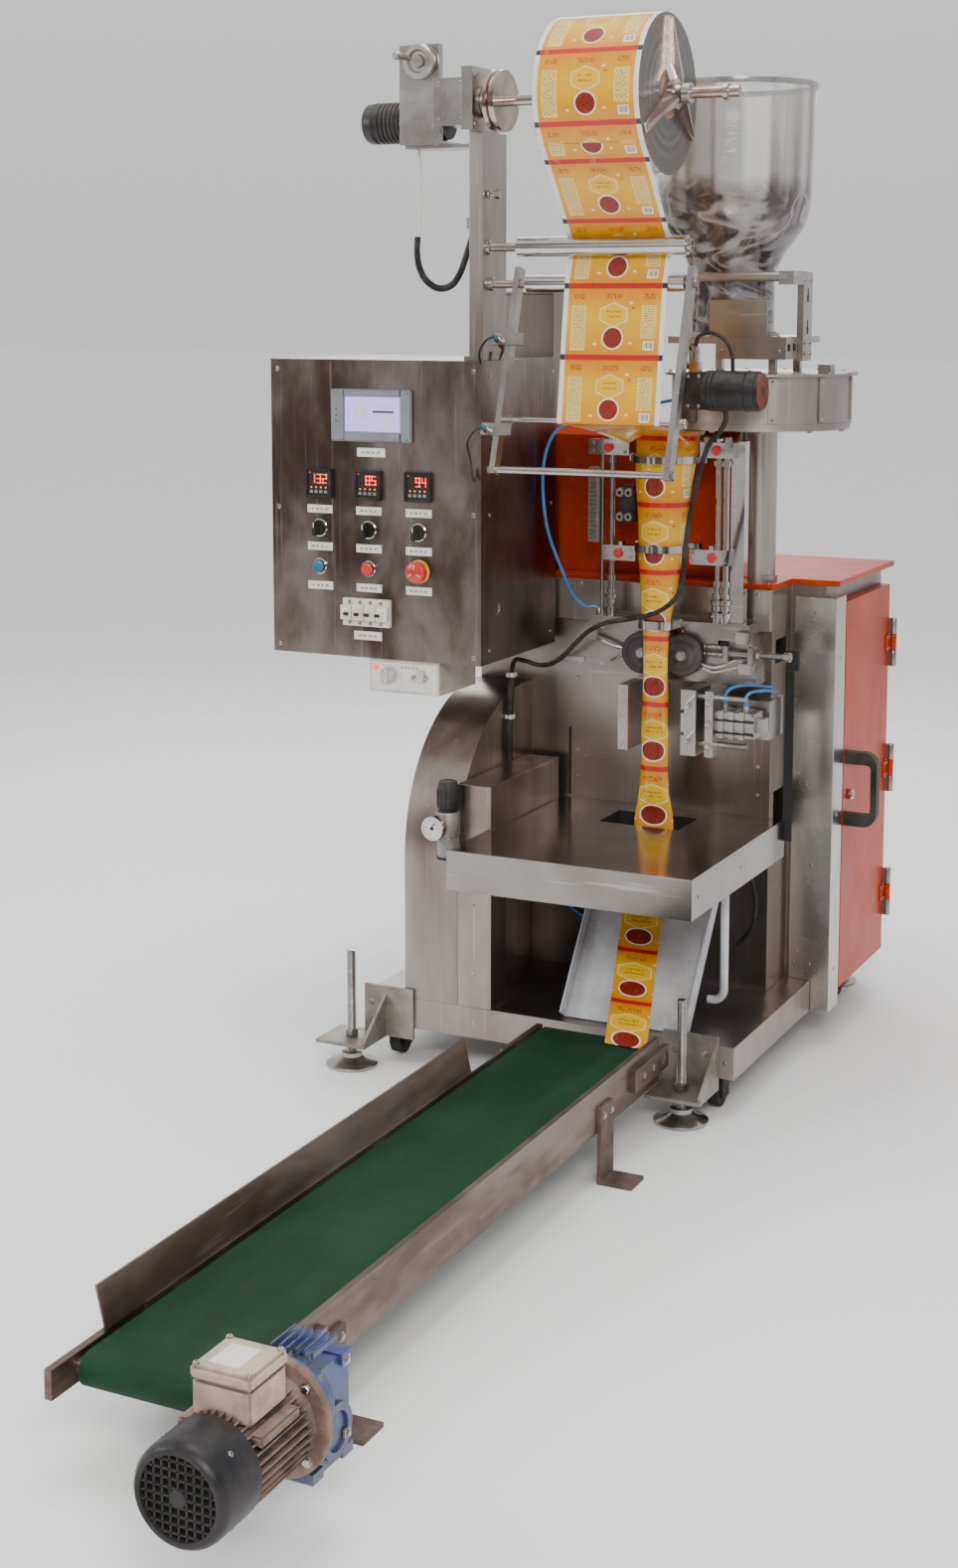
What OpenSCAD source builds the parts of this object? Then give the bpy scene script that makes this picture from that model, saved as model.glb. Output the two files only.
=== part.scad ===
// Vertical form fill seal machine with a take-off belt conveyor.
// Millimetres, +Z up, front of the machine towards -Y.
// Working axes: X = 0 is the film line (centre of the pouch tube), Y = 0 is the
// front face of the base. The finished part is moved so that its origin lies
// on the floor under the middle of its outline.

/* [Base frame] */
// Width of the base frame
base_w = 681; // [640:1:760]
// Distance from the film line to the right side of the base
base_right = 221; // [200:1:240]
// Depth of the base frame and cabinet
base_d = 740; // [700:1:860]
// Height of the underside of the base above the floor
base_z = 65; // [60:1:80]
// Height of the base skirt
base_h = 55; // [45:1:65]
// Thickness of the base sheet
base_t = 4; // [3:0.5:6]

/* [Cabinet] */
// Height of the cabinet top above the floor
cab_top = 838; // [800:1:900]
// Distance from the base front to the working wall of the cabinet
wall_y = 300; // [285:1:320]
// Distance from the base front to the corner column
column_y = 402; // [390:1:420]
// Width of the corner column
column_w = 75; // [60:1:90]
// Depth of the corner column
column_d = 54; // [40:1:70]
// Distance from the film line to the right outer face of the cabinet
cab_right = 255; // [250:1:270]
// Thickness of the cabinet sheet
cab_t = 4; // [3:0.5:6]
// Width of the side pod left of the tray
pod_w = 102; // [90:1:120]
// Height of the side pod
pod_top = 640; // [600:1:680]
// Bend radius at the front of the side pod
pod_r = 270; // [200:1:290]
// Height of the shelf beam across the wall
beam_h = 72; // [60:1:90]
// Distance that the shelf beam stands proud of the wall
beam_out = 12; // [8:1:20]
// Thickness of the roof sheet
roof_t = 10; // [6:1:16]
// Overhang of the roof sheet at the sides
roof_over = 4; // [2:1:10]

/* [Side door] */
// Thickness of the side door
door_t = 18; // [14:1:24]
// Height of the side door
door_h = 700; // [650:1:710]
// Gap around the side door
door_gap = 3; // [2:0.5:6]
// Largest opening angle of the side door
door_open = 105; // [80:1:110]
// Diameter of the side door hinge pin
hinge_pin_d = 6; // [5:1:8]
// Length of one hinge knuckle
knuckle_h = 30; // [24:1:40]
// Height of the bow handle on the side door
handle_h = 134; // [120:1:160]
// Reach of the bow handle
handle_out = 59; // [50:1:70]
// Height of the arms of the bow handle
handle_arm = 22; // [16:1:26]
// Thickness of the grip of the bow handle
handle_grip = 11; // [8:1:14]
// Depth of the bow handle
handle_d = 20; // [14:1:26]

/* [Discharge tray] */
// Width of the discharge tray
tray_w = 425; // [400:1:440]
// Distance that the tray stands out in front of the base
tray_out = 150; // [120:1:170]
// Height of the tray top
tray_top = 433; // [410:1:450]
// Depth of the tray flange
tray_flange = 66; // [50:1:80]
// Thickness of the tray sheet
tray_t = 3; // [2:0.5:5]
// Width of the pouch hole in the tray
hole_w = 147; // [120:1:160]
// Depth of the pouch hole in the tray
hole_d = 93; // [80:1:110]
// Width of the guard box left of the tray
guard_w = 64; // [50:1:70]
// Height of the guard box above the tray
guard_h = 75; // [50:1:100]
// Depth of the guard box
guard_d = 278; // [240:1:290]

/* [Discharge chute] */
// Width of the discharge chute
chute_w = 225; // [200:1:240]
// Thickness of the chute sheet
chute_t = 3; // [2:0.5:5]
// Height of the side lips of the chute
chute_lip = 24; // [15:1:30]
// Slope of the chute above the horizontal
chute_slope = 55; // [50:1:60]
// Length of the chute
chute_len = 345; // [300:1:350]
// Diameter of the bent air pipe beside the chute
pipe_d = 14; // [10:1:18]

/* [Feet] */
// Diameter of a levelling foot
foot_d = 92; // [80:1:110]
// Diameter of a levelling stud
stud_d = 14; // [10:1:20]
// Height of the top of a levelling stud
stud_top = 206; // [180:1:230]
// Depth of a foot bracket
bracket_d = 88; // [70:1:100]
// Width of a foot bracket
bracket_w = 96; // [80:1:100]
// Thickness of a foot bracket plate
bracket_t = 6; // [4:1:8]
// Height of a foot bracket plate above the floor
bracket_z = 46; // [40:1:55]
// Diameter of a caster wheel
caster_d = 46; // [40:1:50]

/* [Control box] */
// Width of the control box
box_w = 400; // [380:1:440]
// Depth of the control box
box_d = 298; // [260:1:310]
// Height of the control box
box_h = 505; // [480:1:540]
// Height of the underside of the control box above the floor
box_z = 716; // [700:1:740]
// Distance from the film line to the right side of the control box
box_right = 225; // [220:1:235]
// Distance that the control box stands out in front of the base
box_out = 20; // [10:1:40]
// Thickness of the screwed front panel
panel_t = 3; // [2:0.5:5]
// Spacing of the instrument columns
inst_pitch = 95; // [85:1:110]
// Face size of a temperature controller
pid_size = 50; // [44:1:54]
// Width of the touch screen bezel
hmi_w = 154; // [140:1:170]
// Height of the touch screen bezel
hmi_h = 88; // [80:1:110]
// Diameter of a selector or push button bezel
bezel_d = 30; // [26:1:34]
// Turning range of a selector knob to each side
selector_turn = 45; // [30:1:60]
// Travel of a push button
button_travel = 4; // [2:0.5:5]
// Travel of the emergency stop
estop_travel = 5; // [3:0.5:6]
// Diameter of the emergency stop head
estop_d = 38; // [34:1:44]

/* [Film unwind] */
// Width of the film
film_w = 176; // [160:1:180]
// Thickness of the modelled film
film_t = 1; // [0.6:0.1:2]
// Height of the reel shaft
shaft_z = 1637; // [1620:1:1650]
// Distance from the base front to the reel shaft
reel_y = 0; // [0:1:10]
// Diameter of the reel shaft
shaft_d = 18; // [14:1:20]
// Radius of the film reel
reel_r = 124; // [110:1:128]
// Diameter of the reel core
core_d = 76; // [70:1:80]
// Radius of the brake pulley
pulley_r = 49; // [40:1:52]
// Width of the film post
post_w = 25; // [20:1:35]
// Depth of the film post
post_d = 89; // [70:1:95]
// Height of the top of the film post
post_top = 1590; // [1560:1:1600]
// Diameter of the upper guide roller
roller1_d = 31; // [26:1:34]
// Diameter of the lower guide roller
roller2_d = 27; // [24:1:30]
// Diameter of the fixed guide roller shafts
roller_shaft_d = 14; // [10:1:16]
// Height of the upper guide roller
roller1_z = 1405; // [1395:1:1415]
// Height of the lower guide roller
roller2_z = 1346; // [1335:1:1350]
// Height of the dancer bar
dancer_z = 1127; // [1120:1:1140]
// Diameter of the position handwheel
handwheel_d = 56; // [50:1:64]

/* [Filling unit] */
// Radius of the hopper rim
hopper_r = 133; // [125:1:145]
// Height of the hopper rim
hopper_top = 1676; // [1660:1:1700]
// Height of the foot of the straight hopper wall
hopper_knee = 1502; // [1480:1:1520]
// Height of the foot of the hopper cone
hopper_low = 1398; // [1385:1:1410]
// Radius of the hopper at the foot of its cone
hopper_neck_r = 82; // [75:1:90]
// Wall of the hopper
hopper_t = 4; // [3:0.5:6]
// Radius of the cup drum
drum_r = 150; // [140:1:155]
// Height of the cup drum
drum_h = 93; // [80:1:100]
// Height of the underside of the cup drum
drum_z = 1107; // [1100:1:1115]
// Diameter of the filler motor
fmotor_d = 65; // [55:1:70]
// Length of the filler motor
fmotor_l = 122; // [110:1:140]

/* [Forming and sealing] */
// Distance from the base front to the pouch tube
tube_y = 195; // [190:1:200]
// Width of the pouch tube between the draw wheels and the tray
tube_w = 46; // [40:1:50]
// Width of the pouch tube at the tray
pouch_w = 72; // [60:1:78]
// Radius of the film at the top of the former
former_r = 58; // [50:1:60]
// Height of the top of the former
former_z = 1100; // [1090:1:1102]
// Diameter of a draw wheel
wheel_d = 72; // [60:1:76]
// Thickness of a draw wheel
wheel_t = 16; // [12:1:20]
// Height of the draw wheel axles
wheel_z = 718; // [710:1:726]
// Gap between the draw wheels
wheel_nip = 1.4; // [1:0.1:3]
// Diameter of the guide columns
gcol_d = 12; // [8:1:16]
// Stroke of the sealing jaw
jaw_stroke = 26; // [10:1:26]
// Height of the sealing jaw block
jaw_h = 112; // [90:1:120]
// Depth of the sealing jaw block
jaw_d = 70; // [50:1:80]
// Thickness of the sealing jaw block
jaw_t = 27; // [20:1:30]
// Diameter of the jaw guide rods
jaw_rod_d = 10; // [8:1:12]

/* [Conveyor] */
// Width of the conveyor belt
belt_w = 190; // [170:1:195]
// Thickness of the conveyor belt
belt_t = 3; // [2:0.5:4]
// Distance between the conveyor roller axes
belt_len = 1243; // [1150:1:1300]
// Height of the roller axes above the floor
belt_z = 120; // [114:1:124]
// Diameter of the bare conveyor rollers
croller_d = 34; // [30:1:40]
// Distance from the base front to the tail roller axis
tail_gap = 95; // [85:1:110]
// Distance from the film line to the middle of the belt
belt_x = 20; // [15:1:25]
// Height of the conveyor side rails
rail_h = 72; // [60:1:76]
// Thickness of the conveyor side rails
rail_t = 3; // [2:0.5:5]
// Height of the left side guard above the rail
cguard_h = 48; // [30:1:60]
// Width of a conveyor foot strap
strap_w = 50; // [40:1:60]
// Thickness of a conveyor foot strap
strap_t = 6; // [4:1:8]

/* [Conveyor drive] */
// Centre distance of the worm gearbox
worm_a = 42; // [38:1:46]
// Width of the worm gearbox across its output bore
gear_w = 75; // [70:1:84]
// Diameter of the motor flange
mflange_d = 136; // [120:1:146]
// Diameter of the motor frame without its ribs
mframe_d = 92; // [86:1:98]
// Height of the motor cooling ribs
rib_h = 7; // [4:1:9]
// Number of cooling ribs around the motor
rib_n = 24; // [12:1:36]
// Diameter of the motor fan cowl
cowl_d = 112; // [108:1:124]
// Length of the motor from flange to cowl
motor_l = 189; // [175:1:215]
// Diameter of the drive shaft
dshaft_d = 18; // [14:1:20]

/* [Hidden] */

eps = 0.01;
turn_gap = 0.05;
face_gap = 0.3;
smooth = 48;
fine = 32;

base_left = base_right - base_w;
base_top = base_z + base_h;
pod_right = base_left + 180;
pod_left = pod_right - pod_w;
guard_x0 = pod_right;
guard_x1 = guard_x0 + guard_w + 1;
tray_x0 = -225;
tray_x1 = tray_x0 + tray_w;
hole_x = -8;
hole_y = tube_y - 4;
wall_right = 172;
column_x0 = cab_right - column_w;
door_y0 = column_y + column_d + door_gap;
door_y1 = base_d - 2 * door_gap;
door_z0 = 95;
knuckle_d = 12;
hinge_x = cab_right + knuckle_d / 2 + 1;
hinge_y = base_d;
bay_inset = 22;
bay_depth = 260;
pipe_rise = 55;
pipe_bend = 20;
plate_h = 90;
selector_up = 219;
button_up = 153;
hmi_t = 6;
pid_t = 8;
clamp_t = 24;
clip_w = 16;
clip_z = 1436;
neck_r = 66;
hoop_top = 1047;
hoop_low = 897;
reg_x = pod_right - 6;
housing_x0 = pod_left + 10;
housing_w = 110;
housing_h = 497;
cover_h = 262;
belt_r = croller_d / 2 + face_gap + belt_t;
belt_top = belt_z + belt_r;
tail_y = -tail_gap;
drive_y = tail_y - belt_len;
belt_x0 = belt_x - belt_w / 2;
belt_x1 = belt_x + belt_w / 2;
rail_z0 = 80;
rail_z1 = rail_z0 + rail_h;
rail_gap = 8;
rail_near = drive_y + 127;
rail_far = tail_y + 5;
bar_t = 10;
gear_x0 = belt_x1 + 60;
gear_x1 = gear_x0 + gear_w;
motor_x = (gear_x0 + gear_x1) / 2;
motor_z = belt_z + worm_a;
flange_y = drive_y - 61;
cowl_y = flange_y - motor_l;
box_x0 = -box_right - box_w;
box_y0 = -box_out;
box_y1 = box_y0 + box_d;
panel_y = box_y0 - panel_t;
inst_x = box_x0 + box_w / 2 - 10;
post_x1 = -box_right - 2;
post_x0 = post_x1 - post_w;
post_y0 = -11;
roller1_y = reel_y + 6;
roller2_y = roller1_y + 12;
dancer_y = roller1_y - 26;
dancer_d = 8;
arm_lean = 16.8;
drum_x = 144;
drum_post_x = drum_x - 20;
drum_flange_d = 67;
cover_x0 = housing_x0 + housing_w + face_gap;
cover_w = drum_post_x - drum_flange_d / 2 - 2.2 - cover_x0;
drum_y = 300;
hopper_x = 92;
fmotor_x0 = 92;
fmotor_y = 104;
wheel_y = tube_y + 22;
draw_top = 775;
draw_y = wheel_y + wheel_t + 6;
fmotor_z = 1175;
beam_z = cab_top - roof_t - beam_h + 2;
jaw_x0 = 60;
jaw_z0 = 559;

// the outline of the whole part, from which its origin is placed
out_x0 = box_x0;
out_x1 = cab_right + handle_out;
out_y0 = cowl_y;
out_y1 = base_d + bracket_d / 2 + foot_d / 2;

module place() {
    translate([-(out_x0 + out_x1) / 2, -(out_y0 + out_y1) / 2, 0]) children();
}

// a cylinder along X from x = 0
module rod_x(d, l, n = smooth) {
    rotate([0, 90, 0]) cylinder(d = d, h = l, $fn = n);
}

// a cylinder along Y from y = 0
module rod_y(d, l, n = smooth) {
    rotate([-90, 0, 0]) cylinder(d = d, h = l, $fn = n);
}

// a profile drawn as [y, z] and extruded along X from x = 0
module extrude_x(l) {
    rotate([90, 0, 90]) linear_extrude(height = l) children();
}

// a profile drawn as [x, z] and extruded along Y from y = 0
module extrude_y(l) {
    translate([0, l, 0]) rotate([90, 0, 0]) linear_extrude(height = l) children();
}

// a rectangle of w by h from the origin with both far corners rounded
module rounded_end(w, h, r) {
    square([w - r, h]);
    translate([0, r]) square([w, h - 2 * r]);
    for (y = [r, h - r]) translate([w - r, y]) circle(r = r, $fn = smooth);
}

function unit3(v) = v / max(norm(v), eps);

// a tube swept along a list of points, with its rings square to the route
module sweep_tube(route, d, sides = 8) {
    last = len(route) - 1;
    function heading(i) = unit3(route[min(i + 1, last)] - route[max(i - 1, 0)]);
    function side_of(h) = unit3(cross(h, abs(h[0]) < 0.9 ? [1, 0, 0] : [0, 1, 0]));
    points = [for (i = [0:last]) let (h = heading(i), s = side_of(h), u = cross(h, s))
        for (k = [0:sides - 1]) route[i] + d / 2 * (cos(360 * k / sides) * s + sin(360 * k / sides) * u)];
    walls = [for (i = [0:last - 1]) for (k = [0:sides - 1])
        let (a = i * sides + k, b = i * sides + (k + 1) % sides) [a, b, b + sides, a + sides]];
    start = [for (k = [sides - 1:-1:0]) k];
    finish = [for (k = [0:sides - 1]) last * sides + k];
    polyhedron(points = points, faces = concat([start], walls, [finish]), convexity = 6);
}

module base_frame() color("silver") place() {
    difference() {
        translate([base_left, 0, base_z]) cube([base_w, base_d, base_h]);
        translate([base_left + base_t, base_t, base_z - eps])
            cube([base_w - 2 * base_t, base_d - 2 * base_t, base_h - base_t + eps]);
    }
}

module main_cabinet() color("gainsboro") place() {
    left = pod_left;
    right = cab_right - door_t - 1;
    top = cab_top - roof_t;
    difference() {
        union() {
            translate([left, wall_y, base_top]) cube([wall_right - left, base_d - wall_y, top - base_top]);
            translate([wall_right - 1, column_y, base_top])
                cube([right - wall_right + 1, base_d - column_y, top - base_top]);
        }
        // compartment behind the side door
        translate([right - bay_depth, door_y0 + bay_inset, door_z0 + bay_inset + 20])
            cube([bay_depth + 1, door_y1 - door_y0 - 2 * bay_inset, door_h - 2 * bay_inset - 20]);
        // slot beside the tray and square opening for the adjusting screw
        translate([wall_right - 60, wall_y + 22, tray_top - 40]) cube([61, column_y - wall_y - 32, 80]);
        translate([wall_right - 60, wall_y + 20, wheel_z - 20]) cube([61, 62, 42]);
    }
    // fixed leaves, knuckles and pins of the door hinges
    for (i = [0:2]) translate([hinge_x, hinge_y, hinge_z(i)]) {
        for (k = [-1, 1]) translate([0, 0, k * knuckle_h * 1.02 - knuckle_h / 2]) {
            cylinder(d = knuckle_d, h = knuckle_h, $fn = fine);
            translate([right - hinge_x, -5, 0]) cube([hinge_x - right, 5, knuckle_h]);
        }
        translate([0, 0, -knuckle_h]) cylinder(d = hinge_pin_d, h = 2 * knuckle_h, $fn = fine);
    }
}

module side_pod() color("gray") place() translate([pod_left, 0, 0]) extrude_x(pod_w - 1) pod_profile();

module pod_profile() {
    difference() {
        translate([0, base_top]) square([wall_y, pod_top - base_top]);
        translate([0, pod_top - pod_r]) difference() {
            translate([-eps, 0]) square([pod_r + eps, pod_r + eps]);
            translate([pod_r, 0]) circle(r = pod_r, $fn = 96);
        }
    }
}

module corner_column() color("lightgray") place() {
    top = cab_top - roof_t - 20;
    difference() {
        translate([column_x0, column_y - cab_t, base_z]) cube([column_w, column_d + cab_t - 1, top - base_z]);
        translate([column_x0 - eps, column_y, base_z - eps]) cube([column_w - cab_t, column_d, cab_top]);
        // notch over the base frame
        translate([column_x0 - eps, 0, base_z - eps])
            cube([base_right - column_x0 + eps, base_d, base_h + eps]);
    }
}

module shelf_beam() color("gainsboro") place() {
    difference() {
        translate([pod_right + guard_w - 18, wall_y - beam_out, beam_z])
            cube([wall_right - pod_right - guard_w + 18, beam_out, beam_h]);
        translate([pod_right + guard_w - 18 - eps, wall_y - beam_out + 3, beam_z + 12])
            cube([wall_right, beam_out, beam_h - 15]);
    }
}

module cabinet_roof() color("orangered") place() {
    translate([pod_left - roof_over, wall_y, cab_top - roof_t])
        cube([wall_right - pod_left + roof_over, base_d - wall_y + roof_over, roof_t]);
    translate([wall_right, column_y - 1, cab_top - roof_t])
        cube([cab_right - wall_right + roof_over, base_d - column_y + 1 + roof_over, roof_t]);
}

function hinge_z(i) = door_z0 + 110 + i * (door_h - 220) / 2;

module side_door() color("orangered") place() {
    x0 = cab_right - door_t;
    translate([x0, door_y0, door_z0]) cube([door_t, door_y1 - door_y0, door_h]);
    // quarter-turn lock
    translate([cab_right, door_y0 + 36, door_z0 + door_h / 2 - 2]) rod_x(18, 4);
    for (i = [0:2]) translate([0, 0, hinge_z(i) - knuckle_h / 2]) difference() {
        union() {
            translate([hinge_x, hinge_y, 0]) cylinder(d = knuckle_d, h = knuckle_h, $fn = fine);
            translate([cab_right, hinge_y - 30, 0]) cube([3, 30, knuckle_h]);
        }
        translate([hinge_x, hinge_y, -1]) cylinder(d = hinge_pin_d + 2 * turn_gap, h = knuckle_h + 2,
            $fn = fine);
    }
}

module door_handle() color("black") place() {
    translate([cab_right, door_y0 + 5, door_z0 + door_h / 2 + 14 - handle_h / 2])
        extrude_y(handle_d) difference() {
            rounded_end(handle_out, handle_h, 24);
            translate([-eps, handle_arm]) rounded_end(handle_out - handle_grip, handle_h - 2 * handle_arm, 8);
        }
}

module discharge_tray() color("lightgray") place() {
    difference() {
        union() {
            translate([tray_x0, -tray_out, tray_top - tray_flange]) cube([tray_w, tray_out - 3, tray_flange]);
            translate([guard_x1 + 0.5, -4, tray_top - tray_flange])
                cube([tray_x1 - guard_x1 - 0.5, wall_y + 4, tray_flange]);
        }
        translate([tray_x0 + tray_t, -tray_out + tray_t, tray_top - tray_flange - eps])
            cube([tray_w - 2 * tray_t, tray_out - tray_t - 3, tray_flange - tray_t]);
        translate([guard_x1 + 0.5 + tray_t, -10, tray_top - tray_flange - eps])
            cube([tray_x1 - guard_x1 - 2 * tray_t, wall_y + 20, tray_flange - tray_t]);
        translate([hole_x - hole_w / 2, hole_y - hole_d / 2, tray_top - 20]) cube([hole_w, hole_d, 40]);
    }
}

module tray_guard() color("lightgray") place() {
    low = tray_top - tray_flange;
    translate([guard_x0, -2, low]) cube([guard_w, guard_d + 2, tray_top + guard_h - low]);
    // front pillar
    translate([guard_x0, -2, base_top]) cube([guard_w, 60, low - base_top + 1]);
}

module discharge_chute() color("gainsboro") place() {
    translate([belt_x - chute_w / 2, 26, base_top]) rotate([chute_slope, 0, 0]) {
        cube([chute_w, chute_len, chute_t]);
        for (x = [0, chute_w - chute_t])
            translate([x, 0, 0]) cube([chute_t, chute_len, chute_lip]);
    }
    // bent pipe under the tray that blows the pouches clear
    translate([belt_x + chute_w / 2 + 26, 120, base_top + pipe_rise]) {
        cylinder(d = pipe_d, h = tray_top - tray_t - base_top - pipe_rise, $fn = fine);
        translate([-pipe_bend, 0, 0]) rotate([90, 90, 0])
            rotate_extrude(angle = 90, $fn = smooth) translate([pipe_bend, 0]) circle(d = pipe_d, $fn = fine);
        translate([-pipe_bend - 8, 0, -pipe_bend]) rod_x(pipe_d, 8, fine);
    }
}

function foot_places() = [[147, -bracket_d / 2], [-464, -bracket_d / 2],
    [147, base_d + bracket_d / 2], [-464 + 45, base_d + bracket_d / 2]];

module foot_brackets() color("silver") place() {
    for (p = foot_places()) {
        back = p[1] > 0;
        difference() {
            translate([p[0] - bracket_w / 2, back ? base_d : -bracket_d, bracket_z])
                cube([bracket_w, bracket_d, bracket_t]);
            translate([p[0], p[1], bracket_z - 1]) cylinder(d = stud_d + 0.6, h = bracket_t + 2, $fn = fine);
        }
        xv = min(max(p[0] - bracket_w / 2, base_left), base_right - bracket_w);
        translate([xv, back ? base_d : -bracket_t, bracket_z]) cube([bracket_w, bracket_t, plate_h]);
        // gusset between the upright plate and the foot plate
        gx = min(p[0] + bracket_w / 2, base_right) - bracket_t;
        translate([gx, back ? base_d : 0, bracket_z]) mirror([0, back ? 0 : 1, 0])
            extrude_x(bracket_t) polygon([[0, 0], [bracket_d - 4, 0], [bracket_d - 4, bracket_t + 6],
                [bracket_t, plate_h - 14], [0, plate_h - 14]]);
    }
}

module levelling_feet() color("silver") place() {
    for (p = foot_places()) translate([p[0], p[1], 0]) {
        rotate_extrude($fn = 64) polygon([[0, 0], [foot_d / 2, 0], [foot_d / 2, 4], [foot_d / 4, 12],
            [stud_d, 16], [stud_d, 24], [0, 24]]);
        translate([0, 0, 20]) cylinder(d = stud_d, h = stud_top - 20, $fn = fine);
        for (z = [bracket_z - 11, bracket_z + bracket_t])
            translate([0, 0, z]) cylinder(d = 24, h = 11, $fn = 6);
    }
}

module casters() color("black") place() {
    for (x = [base_left + 45, base_right - 45]) for (y = [45, base_d - 45]) translate([x, y, 0]) {
        translate([-10, 0, caster_d / 2 + 3]) rod_x(caster_d, 20);
        for (s = [-16, 12]) translate([s, -14, caster_d / 2 - 4])
            cube([4, 28, base_top - base_t - caster_d / 2 + 4]);
        translate([-20, -20, base_top - base_t - 6]) cube([40, 40, 6]);
        translate([-16, 0, caster_d / 2 + 3]) rod_x(8, 32, fine);
    }
}

module control_box() color("silver") place() {
    difference() {
        translate([box_x0, box_y0, box_z]) cube([box_w, box_d, box_h]);
        for (i = [-1:1]) translate([inst_x + i * inst_pitch, box_y0 - 1, box_z + button_up])
            rod_y(18, estop_travel + 3, fine);
        // cable gland and air hole in the right side
        translate([-box_right - 3, box_y0 + 60, box_z + 90]) rod_x(22, 10, fine);
    }
    // hood folded over the front panel
    translate([box_x0, panel_y - 2, box_z + box_h - 3]) cube([box_w, panel_t + 2, 3]);
    // arm that carries the box from the cabinet top
    translate([-box_right - 120, box_y1, cab_top]) cube([100, 60, 160]);
}

module control_panel() color("gray") place() {
    difference() {
        translate([box_x0, panel_y, box_z]) cube([box_w, panel_t, box_h - 3]);
        for (i = [-1:1]) {
            translate([inst_x + i * inst_pitch, panel_y - 1, box_z + selector_up]) rod_y(12, 6, fine);
            translate([inst_x + i * inst_pitch, panel_y - 1, box_z + button_up]) rod_y(14, 6, fine);
        }
    }
}

module touch_screen() color("slategray") place() {
    translate([inst_x - hmi_w / 2 + 7, panel_y - hmi_t, box_z + 368]) difference() {
        union() {
            translate([3, 0, 3]) cube([hmi_w - 6, hmi_t, hmi_h - 6]);
            translate([0, 2, 0]) cube([hmi_w, hmi_t - 2, hmi_h]);
        }
        // sunk picture area
        translate([16, -1, 14]) cube([hmi_w - 36, 2.5, hmi_h - 24]);
    }
}

module temperature_controllers() color("black") place() {
    for (i = [-1:1]) translate([inst_x + i * inst_pitch - pid_size / 2, panel_y - pid_t, box_z + 270])
        difference() {
            union() {
                translate([0, 3, 0]) cube([pid_size, pid_t - 3, pid_size]);
                translate([1.5, 0, 1.5]) cube([pid_size - 3, pid_t, pid_size - 3]);
            }
            // sunk display and key row
            translate([5, -1, 19]) cube([pid_size - 10, 2.5, pid_size - 24]);
            for (k = [0:3]) translate([5 + k * 10, -1, 6]) cube([7, 1.8, 7]);
        }
}

module selector(i) {
    translate([inst_x + i * inst_pitch, panel_y, box_z + selector_up]) {
        translate([0, -6 - face_gap, 0]) rod_y(bezel_d - 4, 6);
        // turning grip with rounded ends
        translate([0, -24, 0]) extrude_y(18) intersection() {
            circle(d = bezel_d - 4, $fn = smooth);
            square([8, bezel_d], center = true);
        }
        translate([0, -face_gap - eps, 0]) rod_y(12 - 2 * turn_gap, 3 + face_gap);
    }
}

module selector_left() color("black") place() selector(-1);
module selector_middle() color("black") place() selector(0);
module selector_right() color("black") place() selector(1);

module push_button(i, head_d, head_l, travel) {
    translate([inst_x + i * inst_pitch, panel_y, box_z + button_up]) {
        translate([0, -travel - 1, 0]) rotate([90, 0, 0]) rotate_extrude($fn = smooth)
            polygon([[0, 0], [head_d / 2 - 3, 0], [head_d / 2, head_l / 3], [head_d / 2, head_l - 3],
                [head_d / 2 - 3, head_l], [0, head_l]]);
        translate([0, -travel - 1 - eps, 0]) rod_y(14 - 2 * turn_gap, travel + 3);
    }
}

module start_button() color("teal") place() push_button(-1, 22, 8, button_travel);
module stop_button() color("red") place() push_button(0, 22, 8, button_travel);
module emergency_stop() color("red") place() push_button(1, estop_d, 14, estop_travel);

module circuit_breaker() color("ivory") place() {
    translate([inst_x - 47, panel_y - 24, box_z + 55]) {
        // stepped front of a four-pole breaker
        extrude_x(90) polygon([[24, 0], [24, 47], [14, 47], [14, 36], [5, 36], [5, 11], [14, 11], [14, 0]]);
        for (k = [0:3]) translate([8 + k * 20, 0, 17]) cube([12, 7, 9]);
    }
}

module feeder_controller() color("gainsboro") place() {
    translate([-437, box_y0, box_z - 57]) {
        cube([133, 138, 57]);
        // speed knob and switch
        translate([38, -12, 30]) rod_y(26, 12);
        translate([34, -15, 18]) cube([8, 4, 24]);
        translate([92, -6, 22]) cube([14, 6, 20]);
    }
}

module film_post() color("silver") place() {
    translate([post_x0, post_y0, box_z + box_h]) cube([post_w, post_d, post_top - box_z - box_h]);
    for (r = [[roller1_y, roller1_z, 121], [roller2_y, roller2_z, 129]])
        translate([post_x1 - 1, r[0], r[1]]) rod_x(roller_shaft_d, r[2] - post_x1 + 6, fine);
    // foot plate on the control box and cable clip
    translate([post_x0 - 10, post_y0, box_z + box_h]) cube([post_w + 10, post_d, 8]);
    translate([post_x0 - clip_w, 10, clip_z]) cube([clip_w, 20, 18]);
}

module unwind_unit() color("silver") place() {
    // bearing plate on the post
    difference() {
        translate([-247, reel_y - 50, post_top]) cube([20, 100, 100]);
        translate([-250, reel_y, shaft_z]) rod_x(shaft_d + 2 * turn_gap, 40);
    }
    translate([-307, reel_y - 32, shaft_z - 38]) cube([60, 64, 76]);
    translate([-375, reel_y - 20, shaft_z - 66]) cube([74, 12, 160]);
    translate([-370, reel_y - 10, shaft_z - 72]) cube([post_x0 + 370, 60, 6]);
    translate([-375, reel_y - 9, shaft_z - 66]) cube([75, 60, 6]);
}

module unwind_motor() color("black") place() {
    translate([-458, reel_y + 27, shaft_z - 26]) rod_x(68, 151);
}

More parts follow.
